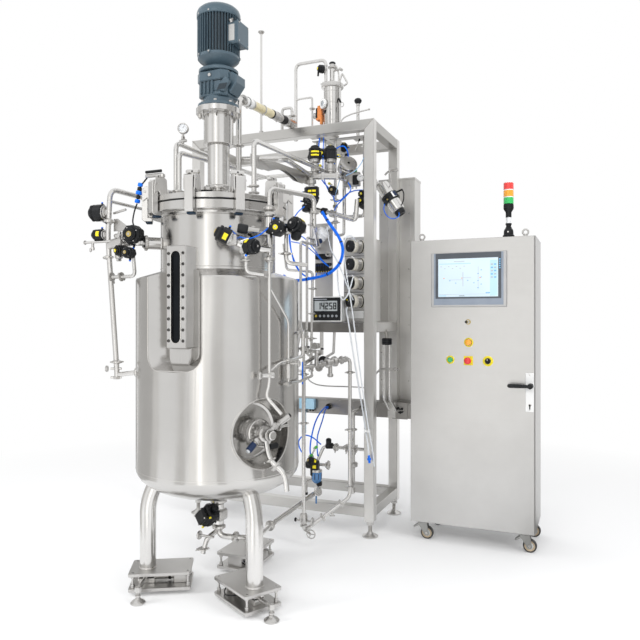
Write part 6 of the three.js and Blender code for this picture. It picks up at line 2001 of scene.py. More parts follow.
# ------------------------------------------------------------------ inlet air filter
# A tube-shell filter housing stands on the cross bar: two clamped halves, a bull's-eye glass, a vent valve
# on a looped pipe, and an orange limit switch box beside it.
switch_orange = coated("switch_orange", (0.72, 0.22, 0.05), (0.84, 0.30, 0.08), 0.36, coat=0.2)
bull_glass = coated("bull_glass", (0.30, 0.33, 0.36), (0.42, 0.45, 0.48), 0.06, coat=1.0)
FILTER_X, FILTER_Y = -373, 278.5
FILTER_FOOT = SKID_TOP + 0.3
FILTER_TOP = FILTER_FOOT + 315


def above(across, forward, rise):
    """A point beside the filter housing, measured from the middle of its foot."""
    return Vector((FILTER_X + across, FILTER_Y + forward, FILTER_FOOT + rise))


air_filter = Build()
air_filter.turned(
    polished_pipe,
    above(0, 0, 0),
    UP,
    [(0, 0), (44, 0), (44, 8), (40, 12), (42, 18), (52, 34), (56, 48), (56, 300), (58, 312), (70, 315),
        (70, 322), (66, 326)]
    + [(66, 330), (70, 334), (70, 340), (60, 344), (30, 352), (20, 362), (17, 372), (17, 440), (0, 440)],
    48,
)
air_filter.turned(turned_steel, above(0, 0, 328), UP, [(64, -11), (72.5, -9), (72.5, 9), (64, 11)], 48)
for height in (96, 210, 286):
    air_filter.turned(bright_weld, above(0, 0, height), UP, [(55.6, -1.5), (56.6, 0), (55.6, 1.5)], 48)
triclamp(air_filter, above(0, 0, 450), UP, 15, width=10, bolt=0.4)
air_filter.rod(turned_steel, above(0, 0, 455), above(0, 0, 474), 17, 28, 2)
air_filter.rod(black_paint, above(0, 0, 472), above(0, 0, 486.6), 21, 28, 6)
glass_way = Vector((-0.62, -0.78, 0)).normalized()
glass_foot = above(0, 0, 205) + glass_way * 48
air_filter.rod(turned_steel, glass_foot, glass_foot + glass_way * 20, 24, 36)
air_filter.turned(white_plastic, glass_foot + glass_way * 14, glass_way,
        [(19, 0), (31, 0), (32, 3), (32, 12), (29, 15), (20, 15)], 48)
air_filter.turned(bull_glass, glass_foot + glass_way * 22, glass_way, [(0, 0), (20, 0), (19, 3), (0, 6)],
        48)
chevron = [(-16, 0), (16, 0), (3, -24), (-3, -24)]
air_filter.prism(cable_black, chevron, above(-36, -46, 166), glass_way, 2, edge=0.5)
run_of(
    air_filter,
    11,
    38,
    (FILTER_X - 263, FILTER_Y, FILTER_FOOT),
    (FILTER_X - 263, FILTER_Y, FILTER_TOP + 196),
    (FILTER_X - 46, FILTER_Y, FILTER_TOP + 196),
    (FILTER_X - 46, FILTER_Y, FILTER_TOP + 14),
)
nut(air_filter, (FILTER_X - 263, FILTER_Y, FILTER_FOOT + 12), UP, 18, 12)
triclamp(air_filter, above(-46, 0, 356), UP, 11, width=10, bolt=2)
vent_head = above(-46, 0, 445)
actuator(air_filter, vent_head, (-0.7, -0.7, 0), 27, 38, 16, yellow_mark, (0.3, -0.5, 0.9), mark=False)
air_filter.rod(black_paint, vent_head + Vector((-34, -44, -12)), vent_head + Vector((-36, -46, -52)), 6, 16,
        1)
air_filter.rod(turned_steel, above(17, -10, 424), above(70, -30, 420), 5, 16)
air_filter.rod(turned_steel, above(66, -44, 420), above(74, -14, 420), 9, 20, 3)
run_of(air_filter, 6, 16, above(48, 0, 344), above(62, -6, 380), above(72, -8, 400), above(112, -14, 330),
        above(84, -12, 318))
run_of(air_filter, 5, 14, above(16, 0, 470), above(34, -4, 450), above(48, -8, 400), above(46, -8, 345))
air_filter.rod(cable_black, above(54, -24, 236), above(70, -32, 208), 6, 16, 1)
ring = [above(80 + 12 * math.cos(t / 6 * math.pi), -34, 190 + 14 * math.sin(t / 6 * math.pi))
        for t in range(13)]
air_filter.tube(turned_steel, ring, 2.4, 10)
air_filter.block(switch_orange, above(-98, -27, 112), above(-64, 27, 209), 5)
air_filter.block(switch_orange, above(-106, -30, 112), above(-62, 12, 128), 4)
air_filter.block(switch_orange, above(-78, -31, 82), above(-60, -4, 142), 5)
air_filter.block(cable_black, above(-110, -22, 132), above(-97, 22, 196), 3)
air_filter.rod(turned_steel, above(-132, 0, 150), above(-108, 0, 150), 20, 28, 4)
air_filter.rod(turned_steel, above(-62, 0, 150), above(-48, 0, 150), 9, 20)
air_filter.rod(cable_black, above(-69, -18, 84), above(-69, -18, 68), 6, 16, 1)
air_filter.rod(brass_cap, above(-82, -30, 200), above(-82, -36, 200), 3, 12)
run_of(air_filter, 6.5, 14, above(-142, -4, 12), above(-142, -4, 276), above(-230, -10, 274),
        above(-262, -4, 272))
for height in (40, 200):
    triclamp(air_filter, above(-142, -4, height), UP, 6, width=8, bolt=1)
air_filter.block(plate_steel, above(-150, -18, -0.2), above(-40, 14, 5), 1.5)
fit(air_filter.mesh("air_filter_housing"), "plant", "polished_steel", "filter_housing")

# Beside the filter stand a pressure switch on a thin post and a bent sample tube, each over a small plate
# at the top rails. Further left is a tube loop with a small hand valve.
top_bits = Build()
top_bits.rod(polished_pipe, (-168, 200, SKID_TOP - 60), (-168, 200, SKID_TOP + 152), 10, 24)
top_bits.rod(turned_steel, (-168, 200, SKID_TOP + 150), (-168, 200, SKID_TOP + 166), 13, 6, 1)
top_bits.turned(black_paint, (-168, 200, SKID_TOP + 164), UP,
        [(0, 0), (12, 0), (22, 12), (24, 22), (18, 32), (10, 36), (0, 36)], 32)
sample = flowing([(-262, 110, SKID_TOP - 30), (-252, 130, SKID_TOP + 50), (-214, 150, SKID_TOP + 84),
        (-150, 170, SKID_TOP + 104), (-96, 190, SKID_TOP + 118)])
top_bits.tube(polished_pipe, sample, 4.5, 14)
top_bits.rod(turned_steel, sample[-1], sample[-1] + (sample[-1] - sample[-2]).normalized() * 10, 6.5, 6,
        0.6)
top_bits.block(plate_steel, (-190, 176, SKID_TOP - 64), (-60, 224, SKID_TOP - 58), 1.5)
top_bits.block(plate_steel, (-276, 60, SKID_TOP - 40), (-250, 124, SKID_TOP - 34), 1.5)
loop_x = -560
run_of(top_bits, 9, 22, (loop_x, 60, SKID_TOP - 40), (loop_x, 60, SKID_TOP + 150),
        (loop_x - 70, 60, SKID_TOP + 150), (loop_x - 70, 60, SKID_TOP - 40))
for height in (30, 96):
    triclamp(top_bits, (loop_x, 60, SKID_TOP + height), UP, 9, width=8, bolt=height)
top_bits.rod(turned_steel, (loop_x - 26, 40, SKID_TOP + 66), (loop_x + 26, 40, SKID_TOP + 66), 4, 14)
top_bits.rod(turned_steel, (loop_x, 60, SKID_TOP + 66), (loop_x, 38, SKID_TOP + 66), 7, 14)
fit(top_bits.mesh("top_fittings"), "plant", "polished_steel")


# ------------------------------------------------------------------ steam and air manifold of the upper bay
# Steam and sterile air run in orbital-welded tube under the skid's ceiling through small black-headed
# valves; a machined transmitter drum leans on the front run. Blue nylon tubes work every valve.
CEILING = SKID_TOP - 65.3
label_green = coated("label_green", (0.03, 0.26, 0.05), (0.05, 0.33, 0.07), 0.4)
label_red = coated("label_red", (0.50, 0.10, 0.05), (0.60, 0.14, 0.07), 0.4)
steam = Build()
run_of(steam, 11, 28, (-230, 120, 2340), (-230, 120, 1930), (-96, 120, 1930), (-96, 120, CEILING))
run_of(steam, 9, 22, (-290, 120, CEILING), (-290, 120, 1820), (-232, 120, 1820), (-232, 120, 1950))
run_of(steam, 8, 22, (-412, 118, CEILING), (-412, 118, 2226), (-300, 110, 2196), (-240, 118, 2190))
run_of(steam, 10, 26, (-560, 90, 2266), (-470, 96, 2222), (-300, 104, 2190), (-232, 112, 2186))
run_of(steam, 7, 18, (-355, 118, CEILING), (-355, 118, 2230), (-355, 122, 2206))
for spot, way, radius in (
    ((-230, 120, 2300), UP, 11),
    ((-96, 120, 2360), UP, 11),
    ((-290, 120, 2040), UP, 9),
    ((-290, 120, 1900), UP, 9),
    ((-160, 120, 1930), (1, 0, 0), 11),
    ((-390, 100, 2206), (1, 0, -0.2), 10),
):
    triclamp(steam, spot, way, radius, width=10, bolt=radius)
drum_way = Vector((0.55, -0.7, 0.45)).normalized()
drum_foot = Vector((-230, 120, 2200))
steam.rod(turned_steel, drum_foot, drum_foot + drum_way * 34, 22, 32)
steam.turned(
    turned_steel,
    drum_foot + drum_way * 30,
    drum_way,
    [(0, 0), (50, 0), (54, 4), (54, 44), (50, 48), (50, 54), (55, 57), (55, 70), (52, 74), (30, 74),
        (30, 72), (0, 72)],
    56,
)
steam.turned(frame_deep, drum_foot + drum_way * 101.4, drum_way, [(0, 0), (46, 0), (46, 2.2), (0, 2.2)], 56)
steam.rod(painted_shade_and_black_marks, drum_foot + drum_way * 103, drum_foot + drum_way * 104.4, 8, 24, 0.3)
for turn in range(6):
    spin = drum_way.orthogonal().normalized()
    spin = Quaternion(drum_way, turn * math.pi / 3 + 0.3) @ spin
    steam.rod(turned_steel, drum_foot + drum_way * 102 + spin * 36, drum_foot + drum_way * 106 + spin * 36,
            3.4, 6, 0.4)
steam.rod(cable_black, drum_foot + drum_way * 60 + UP * 48, drum_foot + drum_way * 60 + UP * 84, 13, 24, 3)
steam.rod(turned_steel, (-160, 118, 2336), (-128, 108, 2392), 3.2, 12)
steam.rod(cable_black, (-130, 108, 2388), (-122, 105, 2402), 5, 14, 1)
for spot, way, radius, length, bonnet, cap, span in (
    ((-96, 120, 1990), (0, -1, 0.2), 30, 70, 20, yellow_mark, 0.6),
    ((-412, 118, 2300), (0, -1, 0.1), 36, 60, 24, label_red, 0.5),
    ((-355, 118, 2320), (0.1, -1, 0), 30, 56, 30, yellow_mark, 0.5),
    ((-230, 120, 2330), (0.2, -0.6, 0.7), 22, 46, 16, brass_cap, 0.4),
    ((-290, 120, 2090), (0.1, -1, 0), 27, 58, 26, brass_cap, 0.5),
):
    actuator(steam, spot, way, radius, length, bonnet, cap, TOWARDS_VIEW, mark=False, span=span)
    steam.block(turned_steel, Vector(spot) - Vector((17, 17, 17)), Vector(spot) + Vector((17, 17, 17)), 4)
actuator(steam, (-96, 120, 2060), (0, -1, -0.1), 24, 46, 20, yellow_mark, TOWARDS_VIEW, mark=False)
for spot, radius in (((-250, 80, 2300), 11), ((-375, 84, 2255), 8), ((-318, 96, 2140), 8)):
    steam.rod(turned_steel, Vector(spot) + Vector((0, 36, 0)), spot, radius * 0.7, 16)
    steam.rod(yellow_mark, spot, Vector(spot) + Vector((0, -13, 0)), radius, 20, 2)
steam.block(sight_grey, (-222, 84, 2110), (-118, 112, 2196), 4)
steam.block(label_green, (-178, 81, 2196), (-140, 108, 2222), 2)
steam.block(label_red, (-194, 81, 2196), (-179, 108, 2220), 2)
steam.block(cable_black, (-160, 74, 2118), (-122, 86, 2176), 3)
steam.turned(white_plastic, (-112, 92, 2156), (0.2, -1, 0),
        [(0, 0), (19, 0), (21, 4), (21, 16), (17, 20), (8, 20), (7, 14), (0, 14)], 32)
for i in range(4):
    steam.rod(turned_steel, (-214 + 24 * i, 96, 2112), (-214 + 24 * i, 96, 2096), 5, 14, 1)
steam.rod(turned_steel, (-96, 120, 2060), (-61, 120, 2060), 8, 18)
steam.block(plate_steel, (-64, 104, 2048), (-60.3, 136, 2072), 1)
for x, y, z in ((-230, 120, 2170), (-290, 120, 2000), (-96, 120, 2200)):
    nut(steam, (x, y, z), UP, 17, 18)
steam.block(plate_steel, (-320, 96, CEILING - 6), (-70, 144, CEILING), 1.5)
steam.block(plate_steel, (-440, 100, CEILING - 6), (-340, 136, CEILING), 1.5)
fit(steam.mesh("steam_valves"), "plant", "brushed_steel", "steam_manifold")

# A black-headed valve with a solenoid box hangs lower, on a bent 24 mm air pipe beside the tube bundle.
# Two hygienic clamps join the pipe, and a steel branch carries a black coil and a small T-handle.
air_pair = Build()
run_of(air_pair, 12, 30, (-570, 60, 2100), (-470, 40, 2070), (-408, 30, 2030), (-412, 30, 1900),
        (-412, 30, 1764), (-412, 128, 1752))
for height in (1990, 1880):
    triclamp(air_pair, (-412, 30, height), UP, 12, width=10, bolt=height)
actuator(air_pair, (-420, 40, 2040), (0.35, -0.9, -0.25), 48, 78, 12, black_paint, TOWARDS_VIEW, mark=False)
for low, high in ((28, 46), (56, 74)):
    drum_patch(air_pair, yellow_mark, (-420, 40, 2040), (0.35, -0.9, -0.25), 47.6, low, high, (1, 0.2, 0.5),
            0.9)
air_pair.block(black_paint, (-470, 4, 1962), (-420, 60, 2010), 8)
air_pair.rod(turned_steel, (-412, 30, 1980), (-330, 10, 1958), 14, 24)
air_pair.rod(cable_black, (-334, 12, 1958), (-300, 4, 1950), 22, 28, 4)
air_pair.rod(turned_steel, (-300, 4, 1950), (-230, 0, 1926), 12, 24)
air_pair.turned(turned_steel, (-262, 2, 1936), (1, -0.1, -0.3), [(10, -14), (22, -12), (22, 12), (10, 14)],
        28)
air_pair.rod(turned_steel, (-240, 0, 1930), (-240, -6, 1890), 5, 14)
air_pair.rod(turned_steel, (-258, -6, 1888), (-222, -6, 1888), 5, 14, 2)
run_of(air_pair, 14, 30, (-232, 0, 1928), (-110, -2, 1886), (-102, 0, 2010))
fit(air_pair.mesh("air_valve_pair"), "plant", "brushed_steel")


# ------------------------------------------------------------------ slanted control valve
# A pneumatic globe valve with a polished two-part actuator stands out of the skid's right side; a black
# clamp ring joins its halves and a loop of blue tube runs from the ring to its black end cap.
control_from, control_to = Vector((-40, 280, 2150)), Vector((92, 280, 1950))
control_way = (control_to - control_from).normalized()
control_long = (control_to - control_from).length
control = Build()
control.rod(polished_pipe, (-100, 280, 2150), (-30, 280, 2150), 14, 28)
run_of(control, 14, 30, (-100, 280, 2140), (-100, 280, 2200), (-100, 280, CEILING))
triclamp(control, (-72, 280, 2150), (1, 0, 0), 14, width=10, bolt=1)
control.turned(
    polished_pipe,
    control_from,
    control_way,
    [(0, 0), (30, 0), (40, 6), (43, 16), (43, control_long * 0.38), (0, control_long * 0.38)],
    48,
)
control.turned(
    black_paint,
    control_from + control_way * control_long * 0.36,
    control_way,
    [(0, 0), (50, 0), (54, 5), (54, 18), (51, 21), (51, 26), (54, 29), (54, 46), (50, 52), (0, 52)],
    48,
)
control.turned(
    polished_pipe,
    control_from + control_way * control_long * 0.56,
    control_way,
    [(0, 0), (44, 0), (43, 4), (41, control_long * 0.29), (36, control_long * 0.31),
        (0, control_long * 0.31)],
    48,
)
control.turned(
    black_paint,
    control_from + control_way * control_long * 0.86,
    control_way,
    [(0, 0), (34, 0), (34, 4), (33, 26), (29, 33), (14, 33.4), (14, 30), (0, 30)],
    40,
)
drum_patch(control, white_plastic, control_from, control_way, 53.6, control_long * 0.36 + 6,
        control_long * 0.36 + 44, (0.5, -1, 0.9), 0.45)
drum_patch(control, navy_cap, control_from, control_way, 53.8, control_long * 0.36 + 8,
        control_long * 0.36 + 42, (1, -0.8, 0.4), 0.4)
ring_side = control_from + control_way * control_long * 0.47
control.rod(black_paint, ring_side + Vector((-10, -46, -22)), ring_side + Vector((-20, -66, -44)), 9, 20, 2)
control.rod(brass_cap, ring_side + Vector((-4, -50, -14)), ring_side + Vector((-6, -60, -18)), 5, 14, 1)
control.rod(black_paint, ring_side + Vector((44, -30, 30)), ring_side + Vector((86, -34, 44)), 6, 16, 2)
lead = [ring_side + Vector((84, -34, 43)), ring_side + Vector((94, -34, 20)),
        ring_side + Vector((92, -30, -20)), ring_side + Vector((76, -24, -52))]
control.tube(cable_black, rounded(lead, 16), 3.5, 12)
for turn in range(8):
    spin = Quaternion(control_way, turn * math.pi / 4) @ Vector((0, 1, 0))
    bolt_at = control_from + control_way * (control_long * 0.36 - 2) + spin * 47
    control.rod(turned_steel, bolt_at, bolt_at + control_way * 6, 3, 6, 0.4)
run_of(control, 6, 16, (-6, 250, 2200), (20, 236, 2218), (66, 236, 2218))
control.rod(turned_steel, (60, 236, 2218), (84, 236, 2222), 9, 18, 2)
control.rod(turned_steel, (28, 236, 2200), (28, 236, 2236), 6, 16, 1)
run_of(control, 3, 20, (30, 236, 2200), (38, 236, 2170), (32, 240, 2130), (6, 260, 2112))
fit(control.mesh("slanted_control_valve"), "plant", "brushed_steel", "control_actuator")
control_loop = flowing(
    [
        ring_side + Vector((-20, -66, -44)),
        ring_side + Vector((-24, -68, -80)),
        ring_side + Vector((-4, -64, -120)),
        ring_side + Vector((30, -58, -138)),
        ring_side + Vector((64, -50, -126)),
        control_to + Vector((-8, -30, 8)),
    ]
)
hose("control_loop", blue_nylon, control_loop, 6, "blue_hose")


# ------------------------------------------------------------------ peristaltic pumps
# Four tube pumps stand one above another in a folded stainless housing: a cream head in two steel straps
# each, a black finned rotor cover in front, turning on a steel spindle.
pump_cream = coated("pump_cream", (0.74, 0.70, 0.60), (0.82, 0.78, 0.69), 0.34, coat=0.3)
pump_black = coated("pump_cover", (0.007, 0.008, 0.009), (0.015, 0.016, 0.018), 0.42, 500, 0.0003,
        gloss=0.3)
PUMP_HEIGHTS = [1739, 1630, 1517, 1406]
PUMP_MIDDLE = Vector((-163, 42, 0))
pump_way = Vector((math.cos(math.radians(-125)), math.sin(math.radians(-125)), 0))
pump_side = UP.cross(pump_way).normalized()
pumps = Build()
pumps.block(way_upright, (-228, 106, 1280.3), (-62, 330, 1800), 2)
pumps.block(way_upright, (-228, 102, 1786), (-62, 120, 1800), 1.2)
for height in PUMP_HEIGHTS:
    centre = PUMP_MIDDLE + Vector((0, 0, height))
    back = centre - pump_way * 110
    pumps.turned(
        pump_cream,
        back,
        pump_way,
        [(0, 0), (38, 0), (40, 3), (40, 30), (37, 33), (37, 40), (39, 44), (39, 78), (40, 82), (40, 94),
            (36, 97), (0, 97)],
        48,
    )
    for low, high in ((6, 18), (48, 72)):
        pumps.turned(turned_steel, back, pump_way,
                [(39, low), (41.5, low + 1), (41.5, high - 1), (39, high)], 48)
    pumps.turned(black_paint, back, pump_way, [(38, 34), (41, 35), (41, 39), (38, 40)], 48)
    pumps.rod(turned_steel, centre - pump_way * 20, centre + pump_way * 6, 6, 20)
    for side in (1, -1):
        pumps.rod(turned_steel, back + pump_side * side * 42 + pump_way * 60,
                back + pump_side * side * 42 + pump_way * 76, 4, 12)
        pumps.rod(white_plastic, back + pump_side * side * 20 + pump_way * 92 + UP * 34,
                back + pump_side * side * 20 + pump_way * 112 + UP * 44, 4, 12)
    frame_plate = [(-60, height - 50), (48, height - 50), (48, height + 50), (-60, height + 50)]
    pumps.prism(frame_upright, [(a - 145, b) for a, b in frame_plate], (0, 106, 0), (0, -1, 0), 3, edge=0.8)
    for x, z in ((-198, 42), (-104, 42), (-198, -42), (-104, -42)):
        pumps.rod(turned_steel, (x, 104, height + z), (x, 100, height + z), 4, 14, 1)
pumps.block(white_plastic, (-196, 96, 1300), (-96, 103, 1346), 2)
for height in (1684, 1574, 1461):
    # Near-black lines between the pump bays: painted shade in the gaps.
    pumps.block(painted_shade_and_black_marks, (-224, 103.6, height - 1), (-68, 106.4, height + 1), 0.3)
fit(pumps.mesh("pump_heads"), "plant", "cream_plastic", "pump_case")
for number, height in enumerate(PUMP_HEIGHTS, 1):
    cover = Build()
    centre = PUMP_MIDDLE + Vector((0, 0, height))
    ridges = []
    for i in range(72):
        turn = 2 * math.pi * i / 72
        swell = 36 - (1.1 if i % 4 == 0 else 0)
        ridges.append((swell * math.cos(turn), swell * math.sin(turn)))
    cover.prism(pump_black, ridges, centre - pump_way * 11, pump_way, 21.5, edge=2.5)
    cover.turned(pump_black, centre + pump_way * 9, pump_way,
            [(0, 0), (30, 0), (28, 2.8), (9, 3), (8, 1.2), (0, 1.2)], 48)
    for i in range(3):
        turn = 2 * math.pi * i / 3 + number
        way = pump_side * math.cos(turn) + UP * math.sin(turn)
        # Three near-black discs on each rotor cover: painted shade in its holes.
        cover.rod(painted_shade_and_black_marks, centre + pump_way * 11 + way * 19, centre + pump_way * 12.3 + way * 19, 5, 18,
                0.3)
    cover.rod(turned_steel, centre + pump_way * 10, centre + pump_way * 13, 4, 16, 0.8)
    if number == 4:
        cover.rod(yellow_mark, centre + pump_way * 11 - pump_side * 14 + UP * 8,
                centre + pump_way * 12.6 - pump_side * 14 + UP * 8, 5, 16, 0.3)
    fit(cover.mesh(f"pump_cover_{number}"), f"pump_{number}", "black_plastic", f"pump_rotor_{number}")


# ------------------------------------------------------------------ weigh display
# The vessel's weight shows on a small bench display: a folded grey case, a black keypad face, a reflective
# liquid-crystal window with segment digits and a row of soft keys.
lcd_grey = coated("lcd_grey", (0.38, 0.41, 0.42), (0.45, 0.48, 0.49), 0.14, coat=0.6)
case_grey = coated("display_case", (0.56, 0.57, 0.57), (0.64, 0.65, 0.65), 0.36, metal=0.3)
key_grey = coated("soft_key", (0.22, 0.24, 0.26), (0.30, 0.32, 0.34), 0.4)
key_amber = coated("amber_key", (0.34, 0.25, 0.02), (0.46, 0.34, 0.03), 0.4)
display = Build()
display.block(case_grey, (-395, 12, 1280.3), (-205, 90, 1434.3), 4)
display.block(white_plastic, (-395, 8, 1280.3), (-205, 14, 1434.3), 3)
display.block(pump_black, (-389, 5.6, 1288), (-211, 8.6, 1428), 1.5)
display.block(lcd_grey, (-382, 4.8, 1346), (-232, 6.2, 1408), 0.6)
display.block(key_grey, (-382, 5.0, 1414), (-300, 6.0, 1421), 0.3)
SEGMENTS = {"1": "bc", "4": "bcfg", "2": "abged", "5": "afgcd", "8": "abcdefg"}
for index, digit in enumerate("14258"):
    left_x = -362 + 26 * index
    for part, x0, z0, x1, z1 in (
        ("a", 1, 35, 20, 41.5),
        ("b", 14.5, 21, 21, 41),
        ("c", 14.5, 0, 21, 20),
        ("d", 1, -0.5, 20, 6),
        ("e", 0, 0, 6.5, 20),
        ("f", 0, 21, 6.5, 41),
        ("g", 1.5, 17.4, 19.5, 23.6),
    ):
        if part in SEGMENTS[digit]:
            display.block(painted_shade_and_black_marks, (left_x + x0, 4.2, 1356 + z0), (left_x + x1, 5.0, 1356 + z1), 0.2)
for index in range(6):
    x = -372 + 27 * index
    finish = key_amber if index == 0 else key_grey
    display.turned(finish, (x, 5.8, 1316), (0, -1, 0), [(0, 0), (8, 0), (7.4, 1), (0, 1.3)], 24)
for x in (-390, -210):
    display.rod(turned_steel, (x, 40, 1436.5), (x, 40, 1430), 3, 12)
fit(display.mesh("weigh_display_unit"), "plant", "black_plastic", "weigh_display")


# ------------------------------------------------------------------ solenoid island and capsule filter
# An upright plate carries the block of solenoid valves that feeds the blue tubes, and above it a moulded
# white capsule filter in a spring clip.
capsule_white = coated("capsule_white", (0.80, 0.81, 0.82), (0.88, 0.89, 0.90), 0.28, coat=0.3)
island = Build()
island.block(plate_steel, (-430, 126, 1280.3), (-310, 130, 1900), 1)
for z in (1310, 1560, 1880):
    for x in (-420, -320):
        island.rod(turned_steel, (x, 126.4, z), (x, 122, z), 4.5, 14, 1)
island.block(black_paint, (-420, 100, 1592), (-314, 127, 1648), 3)
for index in range(6):
    x = -412 + 16.5 * index
    island.block(black_paint, (x, 84, 1598), (x + 14, 104, 1642), 2)
    island.block(navy_cap, (x + 2, 82, 1626), (x + 12, 86, 1638), 1)
    island.rod(brass_cap, (x + 7, 92, 1598), (x + 7, 92, 1588), 3.6, 12)
    island.rod(blue_nylon, (x + 7, 92, 1589), (x + 7, 92, 1582), 3, 12, 0.4)
island.rod(turned_steel, (-318, 92, 1620), (-300, 88, 1622), 8, 20, 2)
island.block(black_paint, (-418, 96, 1672), (-332, 127, 1706), 3)
island.rod(turned_steel, (-330, 104, 1690), (-312, 102, 1690), 6, 6, 1)
capsule_from, capsule_to = Vector((-402, 96, 1800)), Vector((-342, 96, 1852))
capsule_way = (capsule_to - capsule_from).normalized()
island.turned(
    capsule_white,
    capsule_from - capsule_way * 2,
    capsule_way,
    [(0, 0), (24, 0), (38, 6), (42, 12), (42, 30), (39, 33), (39, 48), (42, 51), (42, 68), (36, 76),
        (22, 82), (0, 82)],
    48,
)
for rise in range(5):
    island.turned(capsule_white, capsule_from + capsule_way * (35 + rise * 3), capsule_way,
            [(38, -0.8), (40.4, 0), (38, 0.8)], 40)
island.rod(capsule_white, capsule_to, capsule_to + capsule_way * 34, 8, 20)
island.rod(capsule_white, capsule_from - capsule_way * 30, capsule_from, 8, 20)
island.block(turned_steel, (-390, 96, 1810), (-350, 127, 1840), 2)
island.rod(navy_cap, (-366, 60, 1780), (-366, 52, 1780), 16, 28, 3)
island.rod(turned_steel, (-366, 96, 1780), (-366, 60, 1780), 6, 16)
island.turned(turned_steel, (-318, 70, 1700), (0.2, -1, 0), [(8, 0), (17, 0), (17, 12), (8, 12)], 28)
fit(island.mesh("valve_island"), "plant", "black_plastic", "solenoid_island")


# ------------------------------------------------------------------ blue air tubes
# Seven nylon tubes tied with black straps run from the upper bay past the pumps to the vessel's valves;
# single tubes leave them for each drum. White silicone tubes hang from the pumps beside the feed tube.
bundle_route = [
    (-300, -70, 1940),
    (-255, -70, 1870),
    (-205, -66, 1802),
    (-176, -62, 1740),
    (-172, -60, 1690),
    (-190, -60, 1630),
    (-240, -62, 1580),
    (-300, -66, 1555),
    (-380, -76, 1540),
    (-440, -110, 1530),
    (-470, -180, 1530),
    (-440, -300, 1545),
]


def strands(piece, finish, line, count, ring, radius, twist):
    """Tubes laid round a line, turning slowly about it."""
    across = (line[1] - line[0]).orthogonal().normalized()
    before = (line[1] - line[0]).normalized()
    rings = []
    for i, spot in enumerate(line):
        ahead = (line[min(i + 1, len(line) - 1)] - line[max(i - 1, 0)]).normalized()
        across = before.rotation_difference(ahead) @ across
        before = ahead
        rings.append((spot, across.copy(), ahead.cross(across)))
    for k in range(count):
        turned = []
        for i, (spot, one, two) in enumerate(rings):
            turn = 2 * math.pi * k / count + twist * i / len(rings)
            turned.append(spot + (one * math.cos(turn) + two * math.sin(turn)) * ring)
        piece.tube(finish, turned, radius, 10)


bundle_line = flowing(bundle_route)
bundle = Build()
strands(bundle, blue_nylon, bundle_line, 6, 6.0, 3.1, 5.0)
bundle.tube(blue_nylon, bundle_line, 3.1, 10)
for index in (6, 22, 40, 52, 66, 76):
    way = bundle_line[index + 1] - bundle_line[index]
    bundle.turned(cable_black, bundle_line[index], way, [(8.6, -3), (10.2, -3), (10.2, 3), (8.6, 3)], 20)
bundle_piece = fit(bundle.mesh("air_tube_bundle"), "plant", "blue_hose", "air_hose_bundle")
AIR_TUBES = {
    "tube_island_1": (6, [(-318, 88, 1622), (-345, 50, 1650), (-380, 10, 1700), (-430, -50, 1750),
        (-496, -88, 1768)]),
    "tube_island_2": (6, [(-330, 82, 1634), (-350, 30, 1670), (-372, -20, 1720), (-420, -70, 1790),
        (-492, -98, 1822)]),
    "tube_island_3": (6, [(-405, 92, 1582), (-402, 60, 1550), (-388, 0, 1538), (-370, -66, 1546)]),
    "tube_left": (
        7,
        [(-398, -108, 1972), (-440, -124, 1930), (-490, -112, 1860), (-504, -96, 1780), (-490, -86, 1690)]
        + [(-450, -74, 1596), (-396, -72, 1548)],
    ),
    "tube_left_2": (6, [(-500, -100, 1822), (-494, -92, 1720), (-474, -84, 1630), (-424, -76, 1566),
        (-372, -70, 1544)]),
    "tube_arc": (8, [(-290, 106, 2262), (-288, 84, 2316), (-252, 64, 2350), (-209, 58, 2353),
        (-188, 62, 2324), (-183, 70, 2288)]),
    "tube_valve_1": (8, [(-368, 52, 2420), (-374, 46, 2300), (-370, 44, 2220), (-352, 52, 2160),
        (-316, 72, 2110), (-292, 104, 2082)]),
    "tube_valve_2": (6, [(-340, 52, 2420), (-342, 46, 2290), (-338, 46, 2180), (-318, 66, 2100),
        (-292, 104, 2050)]),
    "tube_loop": (
        7,
        [(-286, 104, 2088), (-284, 76, 2048), (-262, 56, 2018), (-226, 52, 2026), (-186, 56, 2060),
        (-146, 76, 2080), (-104, 102, 2086)],
    ),
    "tube_loop_2": (7, [(-186, 72, 2132), (-164, 60, 2090), (-182, 50, 2054), (-226, 48, 2016),
        (-270, 66, 1978), (-288, 104, 1930)]),
    "tube_lower_1": (
        9,
        [(-437, 357, 712), (-432, 300, 716), (-428, 200, 690), (-420, 100, 640), (-418, 40, 560),
        (-400, -20, 500), (-372, -70, 462)],
    ),
    "tube_lower_2": (8, [(-437, 357, 706), (-424, 280, 700), (-402, 180, 650), (-392, 80, 570),
        (-366, 10, 510), (-340, -40, 470)]),
    "tube_lower_3": (8, [(-398, -102, 478), (-424, -112, 516), (-444, -90, 560), (-424, -54, 590),
        (-386, -16, 574), (-344, 18, 528)]),
    "tube_drop": (7, [(-331, -284, 1054), (-330, -287, 1012), (-330, -287, 970), (-331, -284, 926)]),
    "tube_drum_left": (6, [(-774, -1032, 1928), (-810, -1026, 1912), (-834, -1020, 1880),
        (-832, -1018, 1846), (-806, -1016, 1824)]),
    "tube_drum_left_2": (6, [(-724, -972, 1906), (-756, -1000, 1880), (-764, -1022, 1850),
        (-738, -1030, 1824)]),
    "tube_drum_front": (6, [(-258, -1194, 1688), (-214, -1204, 1656), (-168, -1196, 1644),
        (-124, -1180, 1660), (-92, -1160, 1690)]),
}
for name, (width, route) in AIR_TUBES.items():
    hose(name, blue_nylon, flowing(route), width, "blue_hose")
pale_tube = coated("pale_blue_tube", (0.30, 0.55, 0.85), (0.42, 0.64, 0.90), 0.3)
hose("tube_sensor", pale_tube, flowing([(-66, 20, 2262), (-86, 16, 2222), (-124, 14, 2184),
        (-182, 22, 2164)]), 5, "blue_hose")
